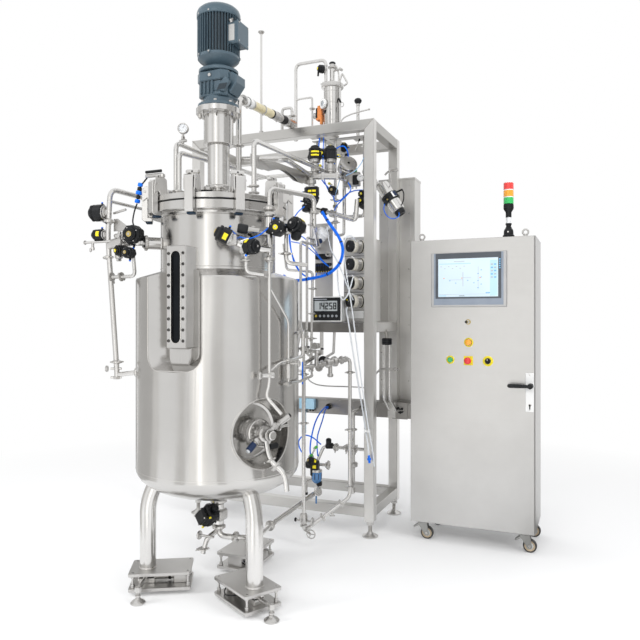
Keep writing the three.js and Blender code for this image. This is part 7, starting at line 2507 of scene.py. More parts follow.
hose("tube_sensor_2", pale_tube, flowing([(-230, 46, 2150), (-236, 34, 2116), (-254, 50, 2084),
        (-286, 104, 2058)]), 5, "blue_hose")
pump_tube = [
    (-122, 40, 1762),
    (-138, 10, 1792),
    (-166, -4, 1790),
    (-184, -10, 1750),
    (-180, -16, 1680),
    (-164, -22, 1580),
    (-146, -26, 1480),
    (-126, -30, 1370),
    (-106, -34, 1240),
    (-86, -36, 1100),
    (-62, -40, 940),
    (-40, -42, 800),
    (-22, -44, 690),
    (-8, -40, 610),
    (4, -26, 520),
    (8, -10, 430),
]
hose("pump_tube", silicone, flowing(pump_tube), 8, "clear_silicone", stiffness="limp", lay="hanging")
loop_tube = [(-232, 96, 1690), (-238, 30, 1620), (-216, -20, 1500), (-200, -36, 1440), (-176, -42, 1412),
        (-152, -36, 1436)]
loop_tube += [(-140, -20, 1480), (-136, 22, 1548)]
hose("pump_loop_tube", silicone, flowing(loop_tube), 8, "clear_silicone", stiffness="limp", lay="hanging")
cross_tube = [(-332, 84, 1872), (-300, 30, 1800), (-262, -20, 1716), (-214, -36, 1640), (-176, -36, 1560),
        (-148, -24, 1470), (-134, 18, 1412)]
hose("cross_tube", silicone, flowing(cross_tube), 7, "clear_silicone", stiffness="limp", lay="hanging")
pinch = Build()
pinch.block(white_plastic, (-38, -52, 636), (-14, -34, 646), 2)
pinch.block(white_plastic, (-40, -54, 630), (-34, -32, 652), 1.5)
pinch.block(white_plastic, (-18, -54, 630), (-12, -32, 652), 1.5)
fit(pinch.mesh("tube_pinch_clamp"), "plant", "cream_plastic")


# ------------------------------------------------------------------ condensate line
# A thermostatic trap assembly crosses the lower bay between two drops of 22 mm tube, which meet at the
# floor in front of the skid. Every joint is a wing-nut clamp, with small hand valves at the low points.
condensate = Build()
low_left, low_right = Vector((-334, -260, 0)), Vector((-137, -30, 0))
run_of(
    condensate,
    11,
    34,
    (-340, 20, 1216.7),
    (-340, 20, 1090),
    low_left + UP * 1040,
    low_left + UP * 80,
    low_right + UP * 240,
    low_right + UP * 1064,
    (-232, -10, 1046),
)
trap_from = (low_left + UP * 1018).lerp(low_right + UP * 1064, 0.25)
trap_to = (low_left + UP * 1018).lerp(low_right + UP * 1064, 0.95)
trap_way = (trap_to - trap_from).normalized()
condensate.rod(turned_steel, low_left + UP * 1018, trap_from, 11, 24)
condensate.rod(turned_steel, trap_from, trap_to, 13, 28)
condensate.turned(
    turned_steel,
    trap_from.lerp(trap_to, 0.3),
    trap_way,
    [(0, 0), (20, 0), (29, 6), (30, 14), (30, 24), (22, 30), (22, 46), (29, 52), (30, 60), (30, 70),
        (20, 80), (0, 80)],
    40,
)
for share, radius in ((0.06, 19), (0.2, 24), (0.64, 22), (0.8, 26), (0.92, 19)):
    nut(condensate, trap_from.lerp(trap_to, share), trap_way, radius, 12)
trap_body = trap_from.lerp(trap_to, 0.45)
condensate.rod(turned_steel, trap_body, trap_body + Vector((6, -14, -66)), 12, 24)
condensate.turned(turned_steel, trap_body + Vector((6, -14, -66)), (0.1, -0.2, -1),
        [(0, 0), (16, 0), (18, 4), (18, 12), (14, 18), (0, 18)], 32)
condensate.rod(turned_steel, trap_from + Vector((8, -6, 0)), trap_from + Vector((14, -16, 78)), 12, 24)
condensate.rod(turned_steel, trap_from + Vector((-34, -18, 88)), trap_from + Vector((46, -14, 78)), 7, 18)
condensate.turned(turned_steel, trap_from + Vector((14, -16, 70)), UP,
        [(10, 0), (24, 2), (26, 10), (24, 18), (10, 20)], 32)
for spot in (trap_from + Vector((-36, -20, 88)), trap_from + Vector((48, -12, 78))):
    condensate.rod(turned_steel, spot - UP * 16, spot + UP * 16, 6, 14, 2)
    condensate.rod(cable_black, spot + UP * 14, spot + UP * 24, 8, 18, 2)
for spot, way, radius in (
    (low_left + UP * 980, UP, 11),
    (low_left + UP * 700, UP, 11),
    (low_right + UP * 980, UP, 11),
    (low_right + UP * 640, UP, 11),
    (low_right + UP * 300, UP, 11),
    ((low_left + UP * 80).lerp(low_right + UP * 240, 0.4), low_right - low_left + UP * 160, 11),
    ((low_left + UP * 80).lerp(low_right + UP * 240, 0.8), low_right - low_left + UP * 160, 11),
):
    triclamp(condensate, spot, way, radius, width=10, bolt=way[2] * 3)
condensate.turned(turned_steel, low_left + UP * 126, UP,
        [(10, 0), (20, 4), (23, 16), (23, 40), (20, 54), (10, 62)], 32)
condensate.turned(turned_steel, low_left + UP * 118, UP, [(10, -10), (21, -8), (21, 2), (10, 4)], 28)
condensate.rod(turned_steel, low_left + Vector((-50, 0, 142)), low_left + Vector((58, 0, 142)), 6, 16)
condensate.rod(cable_black, low_left + Vector((-56, 0, 142)), low_left + Vector((-46, 0, 142)), 12, 20, 3)
condensate.turned(turned_steel, low_left + Vector((50, 0, 142)), (1, 0, 0),
        [(3, 0), (21, 0), (24, 3), (21, 8), (3, 8)], 28)
wheel_centre = low_left + Vector((46, -6, 70))
wheel_line = [wheel_centre + Vector((26 * math.cos(t * math.pi / 12), 4, 24 * math.sin(t * math.pi / 12)))
        for t in range(25)]
condensate.tube(turned_steel, wheel_line, 3.2, 12)
for turn in range(3):
    way = Vector((math.cos(turn * 2.1), 0, math.sin(turn * 2.1)))
    condensate.rod(turned_steel, wheel_centre + Vector((0, 4, 0)),
            wheel_centre + Vector((0, 4, 0)) + way * 25, 2.4, 10)
condensate.rod(turned_steel, wheel_centre, wheel_centre + Vector((-40, 4, 20)), 6, 16)
mid = (low_left + UP * 80).lerp(low_right + UP * 240, 0.62)
condensate.rod(turned_steel, mid, mid + Vector((0, -10, -34)), 7, 16)
condensate.rod(turned_steel, mid + Vector((-16, -12, -34)), mid + Vector((18, -10, -30)), 4, 12, 1)
run_of(condensate, 8, 22, (-452, -60, 1290), (-452, -60, 1200), (-430, -200, 1000), (-380, -250, 1000),
        low_left + UP * 996)
run_of(condensate, 8, 24, (-560, -60, 1760), (-540, -60, 1600), (-366, -60, 1583), (-376, -60, 990))
condensate.turned(turned_steel, (-376, -60, 978), UP,
        [(8, 0), (14, 2), (16, 10), (13, 14), (16, 18), (16, 40), (12, 46), (8, 46)], 28)
run_of(condensate, 8, 24, (-398, 118, 1790), (-398, -72, 1790), (-398, -72, 1080), (-340, -64, 1062))
run_of(condensate, 8, 24, (-334, -40, 1742), (-352, -262, 1742), (-352, -262, 1262), (-334, -260, 1200),
        (-334, -260, 1030))
condensate.turned(turned_steel, (-336, -260, 1186), UP,
        [(8, 0), (16, 3), (19, 12), (19, 26), (15, 34), (8, 36)], 30)
condensate.rod(turned_steel, (-372, -266, 1128), (-330, -260, 1128), 7, 16)
condensate.rod(cable_black, (-366, -276, 1108), (-366, -276, 1142), 9, 20, 3)
condensate.block(turned_steel, (-350, -276, 1112), (-320, -246, 1142), 4)
condensate.block(turned_steel, (-356, -86, 1120), (-322, -46, 1152), 4)
condensate.turned(turned_steel, (-339, -84, 1136), (0, -1, 0), [(3, 0), (18, 0), (21, 4), (18, 9), (3, 9)],
        28)
condensate.rod(turned_steel, (-414, -70, 1108), (-390, -70, 1108), 7, 16)
condensate.rod(cable_black, (-416, -72, 1094), (-416, -72, 1122), 12, 22, 3)
condensate.turned(cable_black, (-290, -80, 1052), (0.3, -1, 0),
        [(0, 0), (23, 0), (26, 4), (24, 12), (0, 12)], 32)
condensate.rod(turned_steel, (-290, -74, 1052), (-284, -40, 1052), 11, 22)
condensate.turned(turned_steel, (-312, -86, 1006), (0.2, -1, 0.1),
        [(4, 0), (20, 0), (23, 4), (20, 10), (4, 10)], 30)
condensate.rod(turned_steel, (-312, -86, 1006), (-306, -50, 1030), 9, 20)
for height, radius in ((1068, 14), (1100, 12), (1168, 12)):
    nut(condensate, (-376, -60, height), UP, radius, 12)
    nut(condensate, (-398, -72, height + 24), UP, radius, 10)
for height in (1480, 1330, 1180):
    triclamp(condensate, (-362 - (1583 - height) * 0.028, -60, height), UP, 9, width=8, bolt=height)
condensate.rod(turned_steel, (-260, 30, 1216.7), (-262, 20, 1090), 8, 18)
condensate.rod(turned_steel, (-262, 20, 1092), (-300, -40, 1060), 7, 18)
capillary = flowing([(-334, -240, 980), (-322, -180, 930), (-290, -80, 900), (-200, 100, 880),
        (-130, 240, 860), (-112, 300, 820), (-110, 356, 770)])
condensate.tube(turned_steel, capillary, 3.5, 12)
fit(condensate.mesh("condensate_pipes"), "plant", "brushed_steel", "condensate_line")


# ------------------------------------------------------------------ drain line
# The harvest and drain valves hang between the skid's post and the vessel's foot: a black double-acting
# valve, a filter bowl with a blue guard, clamps, and small cocks with turned handwheels.
guard_blue = coated("guard_blue", (0.05, 0.16, 0.36), (0.08, 0.22, 0.44), 0.26, coat=0.4)
fitting_green = coated("fitting_green", (0.05, 0.34, 0.05), (0.08, 0.42, 0.08), 0.34)
drains = Build()
run_of(drains, 10, 26, (-62, 30, 516), (-330, 30, 516), (-345, -60, 420), (-322, -60, 280),
        (-322, -110, 266))
run_of(
    drains,
    12,
    28,
    (-200, 355.7, 712),
    (-200, 200, 712),
    (-200, 200, 190),
    (-200, 120, 516),
    (-200, 30, 516),
)
for spot, way, radius in (
    ((-120, 30, 516), (1, 0, 0), 10),
    ((-178, 30, 516), (1, 0, 0), 10),
    ((-250, 30, 516), (1, 0, 0), 10),
    ((-200, 200, 600), UP, 12),
    ((-322, -80, 275), (0, 1, 0.3), 10),
):
    triclamp(drains, spot, way, radius, width=10, bolt=radius * 0.3)
drains.turned(turned_steel, (-200, 200, 380), UP,
        [(11, -18), (20, -16), (30, -8), (30, 8), (20, 16), (11, 18)], 36)
for turn in range(6):
    way = Vector((math.cos(turn * 1.05), math.sin(turn * 1.05), 0))
    drains.rod(turned_steel, Vector((-200, 200, 366)) + way * 25, Vector((-200, 200, 394)) + way * 25, 3.4,
            6)
drains.rod(black_paint, (-296, 26, 524), (-284, -4, 566), 17, 28, 4)
drains.rod(cable_black, (-312, 28, 520), (-268, 26, 524), 18, 28, 3)
drains.turned(turned_steel, (-262, 30, 516), (1, 0, 0), [(9, 0), (21, 2), (24, 12), (21, 24), (9, 26)], 28)
valve_at = Vector((-345, -60, 430))
valve_way = Vector((-0.4, -0.7, 0.35)).normalized()
actuator(drains, valve_at, valve_way, 26, 46, 14, brass_cap, (0.5, -0.8, 0.5), span=0.7)
drains.block(black_paint, (-372, -92, 350), (-322, -44, 448), 10)
drains.block(black_paint, (-408, -80, 396), (-366, -50, 440), 8)
drains.block(yellow_mark, (-352, -93.2, 404), (-330, -91.6, 424), 0.5)
bowl_axis = Vector((-337, -64, 388))
drains.turned(turned_steel, bowl_axis, -UP, [(0, -6), (30, -6), (33, -2), (33, 8), (30, 10), (0, 10)], 40)
drains.turned(guard_blue, bowl_axis - UP * 10, -UP,
        [(0, 0), (31, 0), (32, 6), (31, 40), (26, 56), (16, 66), (0, 70)], 40)
for turn in range(8):
    way = Vector((math.cos(turn * 0.785), math.sin(turn * 0.785), 0))
    drains.rod(navy_cap, bowl_axis + way * 31 - UP * 16, bowl_axis + way * 31 - UP * 50, 2.4, 10)
drains.rod(turned_steel, bowl_axis - UP * 76, bowl_axis - UP * 90, 5, 14)
drains.rod(turned_steel, (-345, -60, 424), (-262, -60, 424), 9, 20)
drains.turned(turned_steel, (-280, -60, 424), (1, 0, 0), [(8, 0), (16, 1), (18, 8), (14, 12), (8, 12)], 28)
drains.turned(turned_steel, (-268, -60, 424), (1, 0, 0),
        [(6, 0), (22, 0), (26, 3), (26, 7), (22, 10), (6, 10)], 36)
for turn in range(8):
    way = Vector((0, math.cos(turn * 0.785), math.sin(turn * 0.785)))
    drains.rod(turned_steel, Vector((-268, -60, 424)) + way * 24, Vector((-258, -60, 424)) + way * 24, 4,
            12, 1)
low_cock = Vector((-322, -110, 266))
drains.rod(turned_steel, low_cock, low_cock + Vector((24, -20, 10)), 11, 24, 2)
drains.turned(turned_steel, low_cock + Vector((22, -18, 10)), (0.7, -0.6, 0.3),
        [(4, 0), (20, 1), (23, 5), (20, 9), (4, 10)], 32)
drains.rod(guard_blue, low_cock + Vector((6, -10, -16)), low_cock + Vector((8, -16, -60)), 5, 14, 2)
for spot in ((-380, -60, 470), (-352, -50, 520)):
    drains.rod(fitting_green, spot, Vector(spot) + Vector((14, -10, 8)), 9, 20, 2)
    drains.rod(turned_steel, Vector(spot) - Vector((14, -8, 8)), spot, 6, 14)
drains.rod(turned_steel, (-352, -60, 440), (-372, -56, 478), 6, 16)
drains.rod(turned_steel, (-372, -56, 478), (-346, -50, 528), 5, 16)
drains.rod(cable_black, (-322, -60, 296), (-322, -60, 322), 17, 28, 3)
drains.rod(turned_steel, (-360, -60, 330), (-400, -76, 316), 10, 20)
drains.rod(turned_steel, (-400, -76, 330), (-400, -76, 252), 7, 18)
drains.rod(cable_black, (-400, -76, 254), (-400, -76, 236), 10, 20, 4)
fit(drains.mesh("drain_pipes"), "plant", "brushed_steel", "drain_line")


# ------------------------------------------------------------------ cabinet case
# A folded 1.5 mm stainless enclosure, welded and brushed, with a galvanised mounting plate inside that
# carries ducts, rails and modules. Two cast lifting eyes are screwed into its roof.
CAB_LEFT, CAB_RIGHT, CAB_FRONT, CAB_BACK, CAB_LOW, CAB_HIGH = 202, 902, 99.3, 474, 108, 1758
case_upright = stainless("case_upright", (0.68, 0.675, 0.665), (0.58, 0.575, 0.565), 0.30, 0.42,
        (1, 1, 0.02), 420, 0.00002)
door_brushed = stainless("door_brushed", (0.635, 0.63, 0.62), (0.535, 0.53, 0.52), 0.30, 0.42,
        (0.015, 1, 1), 420, 0.00003)
galvanised = coated("galvanised_plate", (0.42, 0.43, 0.43), (0.56, 0.57, 0.57), 0.42, 90, 0.0003, metal=0.8)
duct_grey = coated("duct_grey", (0.34, 0.35, 0.36), (0.42, 0.43, 0.44), 0.5)
module_pale = coated("module_pale", (0.52, 0.54, 0.54), (0.62, 0.64, 0.64), 0.42)
case = Build()
case.block(case_upright, (CAB_LEFT, CAB_FRONT, CAB_LOW), (CAB_LEFT + 3, CAB_BACK, CAB_HIGH), 1)
case.block(case_upright, (CAB_RIGHT - 3, CAB_FRONT, CAB_LOW), (CAB_RIGHT, CAB_BACK, CAB_HIGH), 1)
case.block(case_upright, (CAB_LEFT, CAB_BACK - 3, CAB_LOW), (CAB_RIGHT, CAB_BACK, CAB_HIGH), 1)
case.block(door_brushed, (CAB_LEFT, CAB_FRONT, CAB_HIGH - 3), (CAB_RIGHT, CAB_BACK, CAB_HIGH), 1)
case.block(door_brushed, (CAB_LEFT, CAB_FRONT, CAB_LOW), (CAB_RIGHT, CAB_BACK, CAB_LOW + 3), 1)
case.block(door_brushed, (CAB_LEFT + 3, CAB_FRONT + 1, CAB_HIGH - 22),
        (CAB_RIGHT - 3, CAB_FRONT + 4, CAB_HIGH - 3), 0.6)
case.block(door_brushed, (CAB_LEFT + 3, CAB_FRONT + 1, CAB_LOW + 3),
        (CAB_RIGHT - 3, CAB_FRONT + 4, CAB_LOW + 22), 0.6)
for x in (CAB_LEFT + 3, CAB_RIGHT - 22):
    case.block(case_upright, (x, CAB_FRONT + 1, CAB_LOW + 22), (x + 19, CAB_FRONT + 4, CAB_HIGH - 22), 0.6)
case.block(galvanised, (CAB_LEFT + 60, CAB_BACK - 40, CAB_LOW + 80),
        (CAB_RIGHT - 60, CAB_BACK - 36, CAB_HIGH - 80), 1)
for height in (250, 560, 870, 1180, 1490):
    case.block(duct_grey, (CAB_LEFT + 70, CAB_BACK - 96, height),
            (CAB_RIGHT - 70, CAB_BACK - 40.4, height + 46), 2)
    for i in range(18):
        x = CAB_LEFT + 84 + 30 * i
        # Near-black slots on the ducts: painted shade.
        case.block(painted_shade_and_black_marks, (x, CAB_BACK - 97, height + 6), (x + 5, CAB_BACK - 95.6, height + 40), 0.3)
for row, height in enumerate((400, 710, 1020, 1330)):
    case.block(galvanised, (CAB_LEFT + 80, CAB_BACK - 50, height),
            (CAB_RIGHT - 80, CAB_BACK - 40.4, height + 34), 1)
    for i in range(13 - 2 * row):
        x = CAB_LEFT + 96 + 38 * i
        case.block(module_pale if (i + row) % 3 else duct_grey, (x, CAB_BACK - 118, height - 34),
                (x + 34, CAB_BACK - 50, height + 66), 2)
        case.block(painted_shade_and_black_marks, (x + 5, CAB_BACK - 119, height + 36), (x + 29, CAB_BACK - 117.6, height + 58),
                0.4)
        case.rod(turned_steel, (x + 17, CAB_BACK - 117.8, height - 22),
                (x + 17, CAB_BACK - 120, height - 22), 3, 12)
for x in (CAB_LEFT + 56, CAB_RIGHT - 56):
    y = CAB_FRONT + 40
    case.turned(turned_steel, (x, y, CAB_HIGH - 0.5), UP,
            [(0, 0), (17, 0), (18, 2), (15, 6), (10, 9), (8, 15), (0, 15)], 32)
    ring = [(x + 15 * math.cos(t * math.pi / 18), y, CAB_HIGH + 26 + 15 * math.sin(t * math.pi / 18))
            for t in range(37)]
    case.tube(turned_steel, ring, 5, 14)
for low in (1540, 330):
    case.rod(turned_steel, (CAB_LEFT, CAB_FRONT - 0.3, low), (CAB_LEFT, CAB_FRONT - 0.3, low + 64), 2.6, 20,
            0.6)
    # A near-black band in the hinge: painted shade in the joint between its knuckles.
    case.rod(painted_shade_and_black_marks, (CAB_LEFT, CAB_FRONT - 0.3, low + 31), (CAB_LEFT, CAB_FRONT - 0.3, low + 33), 2.75,
            20, 0.1)
    case.block(turned_steel, (CAB_LEFT - 3, CAB_FRONT - 2, low + 2),
            (CAB_LEFT + 1, CAB_FRONT + 30, low + 62), 0.8)
fit(case.mesh("cabinet_shell"), "plant", "brushed_steel", "cabinet_case")


# ------------------------------------------------------------------ cabinet door
# One folded stainless sheet, brushed from side to side, with a rubber seal in its return. It carries the
# operator panel, the controls and a cast handle plate with a profile-cylinder keyhole under the lever.
DOOR_FRONT, DOOR_LOW, DOOR_HIGH, DOOR_LEFT, DOOR_RIGHT = 74, 111, 1755, 205, 899
HMI_LEFT, HMI_RIGHT, HMI_LOW, HMI_HIGH = 329, 754, 1366, 1678
LEVER_X, LEVER_Z = 880, 931
KEY_X, KEY_Z = 540, 1281
LAMP_X, LAMP_Z = 543, 1165
START_X, START_Z = 439, 1064
STOP_X, STOP_Z = 541, 1061
KNOB_X, KNOB_Z = 650, 1061
STEM_HOLE = 9.2
handle_pale = coated("handle_plate", (0.74, 0.74, 0.73), (0.82, 0.82, 0.81), 0.34, coat=0.2)
seal_grey = coated("door_seal", (0.10, 0.10, 0.10), (0.16, 0.16, 0.16), 0.6)
door_shape = Build()
door_shape.block(door_brushed, (DOOR_LEFT, DOOR_FRONT, DOOR_LOW), (DOOR_RIGHT, CAB_FRONT - 0.4, DOOR_HIGH),
        2.5)
door = door_shape.mesh("door_skin")
door_cuts = Build()
door_cuts.block(door_brushed, (DOOR_LEFT + 20, DOOR_FRONT + 3, DOOR_LOW + 20),
        (DOOR_RIGHT - 20, 110, DOOR_HIGH - 20), 0.5)
boolean(door, door_cuts.mesh("door_hollow"), "DIFFERENCE")
door_cuts = Build()
door_cuts.block(door_brushed, (HMI_LEFT + 12, 60, HMI_LOW + 12), (HMI_RIGHT - 12, 110, HMI_HIGH - 12), 0.5)
for x, z, radius in (
    (KEY_X, KEY_Z, STEM_HOLE),
    (LAMP_X, LAMP_Z, STEM_HOLE),
    (START_X, START_Z, STEM_HOLE),
    (STOP_X, STOP_Z, STEM_HOLE),
    (KNOB_X, KNOB_Z, STEM_HOLE),
    (LEVER_X, LEVER_Z, 10.2),
):
    door_cuts.rod(door_brushed, (x, 60, z), (x, 110, z), radius, 32, 0.2)
boolean(door, door_cuts.mesh("door_openings"), "DIFFERENCE")
door_mesh = settled(door.data, "door_sheet", 30)
bpy.data.objects.remove(door)
fit(door_mesh, "door", "brushed_steel", "cabinet_door")
trim = Build()
for low, high in (
    ((DOOR_LEFT + 6, 97, DOOR_LOW + 6), (DOOR_RIGHT - 6, 99.4, DOOR_LOW + 16)),
    ((DOOR_LEFT + 6, 97, DOOR_HIGH - 16), (DOOR_RIGHT - 6, 99.4, DOOR_HIGH - 6)),
    ((DOOR_LEFT + 6, 97, DOOR_LOW + 16), (DOOR_LEFT + 16, 99.4, DOOR_HIGH - 16)),
    ((DOOR_RIGHT - 16, 97, DOOR_LOW + 16), (DOOR_RIGHT - 6, 99.4, DOOR_HIGH - 16)),
):
    trim.block(seal_grey, low, high, 0.8)
plate_line = [(LEVER_X - 28, LEVER_Z - 142), (LEVER_X + 16, LEVER_Z - 142), (LEVER_X + 16, LEVER_Z + 71),
        (LEVER_X - 28, LEVER_Z + 71)]
trim.prism(handle_pale, plate_line, (0, DOOR_FRONT, 0), (0, -1, 0), 8, edge=2)
trim.turned(handle_pale, (LEVER_X, DOOR_FRONT - 7.4, LEVER_Z), (0, -1, 0),
        [(12, 0), (19, 0), (18, 0.7), (12, 0.7)], 40)
trim.rod(turned_steel, (LEVER_X - 5, DOOR_FRONT - 7, LEVER_Z - 106),
        (LEVER_X - 5, DOOR_FRONT - 8.4, LEVER_Z - 106), 9, 28, 0.4)
# A near-black disc and slot: painted shade in the keyhole.
trim.rod(painted_shade_and_black_marks, (LEVER_X - 5, DOOR_FRONT - 8, LEVER_Z - 106),
        (LEVER_X - 5, DOOR_FRONT - 9, LEVER_Z - 106), 5.5, 24, 0.2)
trim.block(painted_shade_and_black_marks, (LEVER_X - 8, DOOR_FRONT - 8.9, LEVER_Z - 128),
        (LEVER_X - 2, DOOR_FRONT - 7.8, LEVER_Z - 108), 0.2)
for z in (-132, 60):
    trim.rod(turned_steel, (LEVER_X - 6, DOOR_FRONT - 7.5, LEVER_Z + z),
            (LEVER_X - 6, DOOR_FRONT - 9, LEVER_Z + z), 3.6, 16, 0.5)
for x, z, outer, inner_radius in (
    (LAMP_X, LAMP_Z, 26, 19.5),
    (START_X, START_Z, 23.5, 15.5),
    (KNOB_X, KNOB_Z, 29, 16.5),
):
    ring = [(inner_radius, 0), (outer, 0), (outer, 3), (outer - 4, 6), (inner_radius + 2, 6),
            (inner_radius, 4.4)]
    trim.turned(yellow_mark, (x, DOOR_FRONT, z), (0, -1, 0), ring, 48)
square = [(STOP_X + a, STOP_Z + b) for a, b in ((-26, -26), (26, -26), (26, 26), (-26, 26))]
trim.prism(yellow_mark, square, (0, DOOR_FRONT, 0), (0, -1, 0), 1.6, edge=0.5)
trim.turned(brass_cap, (KEY_X, DOOR_FRONT, KEY_Z), (0, -1, 0),
        [(9.4, 0), (15, 0), (15, 2.4), (12, 4), (9.4, 4)], 32)
fit(trim.mesh("door_trim"), "door", "brushed_steel")


# ------------------------------------------------------------------ operator panel
# A touch panel in a cast aluminium bezel: dark glass round a bright display that shows a plain process
# picture of coloured fields, with a darker band above and a blue-grey band below.
bezel_silver = coated("bezel_silver", (0.42, 0.42, 0.42), (0.52, 0.52, 0.52), 0.34, 600, 0.0001, metal=0.7)
band_dark = coated("band_dark", (0.055, 0.065, 0.08), (0.075, 0.085, 0.10), 0.3)
band_blue = coated("band_blue", (0.22, 0.26, 0.32), (0.28, 0.32, 0.38), 0.34)
field_blue = coated("field_blue", (0.16, 0.42, 0.70), (0.22, 0.50, 0.78), 0.3)
field_pale = coated("field_pale", (0.46, 0.70, 0.84), (0.54, 0.78, 0.90), 0.3)
field_grey = coated("field_grey", (0.40, 0.44, 0.50), (0.50, 0.54, 0.60), 0.3)
screen_glow, screen_tree, screen_shader = blank("lit_screen")
screen_shader.inputs["Roughness"].default_value = 0.12
screen_shader.inputs["Emission Strength"].default_value = 0.55
screen_shader.inputs["Emission Color"].default_value = (0.66, 0.84, 0.97, 1)
screen_tree.links.new(
    tone(screen_tree, noise(screen_tree, 3.5, detail=2), (0.30, 0.36, 0.40), (0.38, 0.42, 0.45)),
    screen_shader.inputs["Base Color"],
)
panel = Build()
panel.block(bezel_silver, (HMI_LEFT, 66, HMI_LOW), (HMI_RIGHT, 73.7, HMI_HIGH), 3)
panel.block(band_blue, (HMI_LEFT + 16, 65.2, HMI_LOW + 12), (HMI_RIGHT - 18, 67, HMI_HIGH - 4), 0.8)
panel.block(band_dark, (HMI_LEFT + 26, 64.8, HMI_LOW + 48), (HMI_RIGHT - 30, 66, HMI_HIGH - 4), 0.6)
screen_low, screen_high = (HMI_LEFT + 42, HMI_LOW + 58), (HMI_RIGHT - 47, HMI_HIGH - 36)
panel.block(screen_glow, (screen_low[0], 64.2, screen_low[1]), (screen_high[0], 65.4, screen_high[1]), 0.3)


def field(finish, x, z, width, height, proud=0.4):
    """A coloured field on the display, measured from its lower left corner."""
    low = (screen_low[0] + x, 64.2 - proud, screen_low[1] + z)
    high = (screen_low[0] + x + width, 64.3, screen_low[1] + z + height)
    panel.block(finish, low, high, 0.1)


field(field_pale, 6, 186, 180, 6)
field(field_pale, 292, 4, 40, 200, 0.3)
for row in range(5):
    for column in range(2):
        field(field_blue if (row + column) % 2 else field_grey, 296 + 18 * column, 176 - 18 * row, 12, 8,
                0.7)
for i in range(7):
    field(field_grey, 12 + 22 * i, 172 - 11 * (i % 2), 9, 3)
    field(field_blue if i % 3 else switch_orange, 30 + 34 * i, 104 - 14 * (i % 3), 6, 5)
field(field_grey, 140, 60, 3, 80)
field(field_grey, 60, 96, 80, 1.6)
field(field_grey, 143, 108, 44, 1.6)
field(field_grey, 226, 40, 1.6, 130)
for i in range(6):
    field(field_blue, 222 + 18 * (i % 2), 48 + 20 * i, 8, 4)
field(field_grey, 4, 14, 284, 1.4)
field(field_blue, 268, 18, 24, 6)
field(field_pale, 6, 4, 40, 6)
field(band_dark, 120, 4, 30, 3)
field(field_grey, 90, 200, 60, 3)
for i in range(5):
    panel.block(field_blue, (HMI_RIGHT - 42, 64.3, HMI_HIGH - 50 - 12 * i),
            (HMI_RIGHT - 34, 65.2, HMI_HIGH - 43 - 12 * i), 0.2)
panel.block(duct_grey, (HMI_LEFT + 14, 73, HMI_LOW + 14), (HMI_RIGHT - 14, 124, HMI_HIGH - 14), 3)
for i in range(14):
    x = HMI_LEFT + 40 + 26 * i
    # Near-black slits on the panel's back: painted shade in its vents.
    panel.block(painted_shade_and_black_marks, (x, 123.4, HMI_LOW + 60), (x + 8, 124.4, HMI_HIGH - 60), 0.3)
fit(panel.mesh("touch_panel"), "door", "panel_grey", "operator_panel")


# ------------------------------------------------------------------ buttons, switches and lever
# Moulded push buttons, a red mushroom stop, a selector and a key switch turn or press on 16 mm stems
# through the door; the lever is black glass-filled nylon on a steel spindle with its locking cam behind.
amber_lens = coated("amber_lens", (0.86, 0.32, 0.02), (0.95, 0.42, 0.04), 0.22, coat=0.8)
green_button = coated("green_button", (0.02, 0.40, 0.12), (0.03, 0.50, 0.16), 0.26, coat=0.6)
red_button = coated("red_button", (0.62, 0.010, 0.015), (0.74, 0.02, 0.025), 0.24, coat=0.6)


def control_stem(x, z):
    """The dark stem behind a control's head, through the door and into its contact block."""
    piece = Build()
    piece.rod(cable_black, (x, DOOR_FRONT - 9, z), (x, DOOR_FRONT + 16, z), 8, 24, 0.6)
    return piece


lamp = control_stem(LAMP_X, LAMP_Z)
lamp.turned(amber_lens, (LAMP_X, 66, LAMP_Z), (0, -1, 0),
        [(0, 0), (18, 0), (18, 10), (16, 17), (10, 21), (0, 22)], 40)
for turn in range(10):
    way = Vector((math.cos(turn * 0.628), 0, math.sin(turn * 0.628)))
    lens_rib = Vector((LAMP_X, 0, LAMP_Z)) + way * 17.4
    lamp.rod(amber_lens, lens_rib + Vector((0, 65, 0)), lens_rib + Vector((0, 54, 0)), 1.4, 8, 0.5)
fit(lamp.mesh("lamp_lens"), "lamp", "amber_lens", "lamp_button")
start = control_stem(START_X, START_Z)
start.turned(green_button, (START_X, 66, START_Z), (0, -1, 0),
        [(0, 0), (14, 0), (14, 7), (12.6, 9.4), (9, 10), (8, 8.8), (0, 8.6)], 40)
fit(start.mesh("start_push"), "start", "green_plastic", "start_button")
stop = control_stem(STOP_X, STOP_Z)
stop.turned(
    red_button,
    (STOP_X, 66, STOP_Z),
    (0, -1, 0),
    [(0, 0), (13, 0), (13, 8), (18.6, 11), (20, 15), (20, 19), (17, 24), (9, 25.8), (0, 26)],
    48,
)
fit(stop.mesh("stop_mushroom"), "stop", "red_plastic", "stop_button")
selector = control_stem(KNOB_X, KNOB_Z)
selector.turned(black_paint, (KNOB_X, 66, KNOB_Z), (0, -1, 0),
        [(0, 0), (15, 0), (15, 6), (13.4, 8.6), (0, 9)], 40)
selector.prism(
    black_paint,
    [(KNOB_X + a, KNOB_Z + b) for a, b in ((-5, -12), (5, -12), (4, 13), (0, 15), (-4, 13))],
    (0, 58, 0),
    (0, -1, 0),
    12,
    edge=1.6,
)
selector.block(white_plastic, (KNOB_X - 1, 45.4, KNOB_Z + 3), (KNOB_X + 1, 46.4, KNOB_Z + 13), 0.2)
fit(selector.mesh("selector_knob"), "selector", "black_plastic", "selector_switch")
key = control_stem(KEY_X, KEY_Z)
key.turned(turned_steel, (KEY_X, 66, KEY_Z), (0, -1, 0), [(0, 0), (11, 0), (11, 5), (9.4, 7), (0, 7.4)], 32)
key.block(turned_steel, (KEY_X - 1.4, 50, KEY_Z - 3), (KEY_X + 1.4, 60, KEY_Z + 3), 0.5)
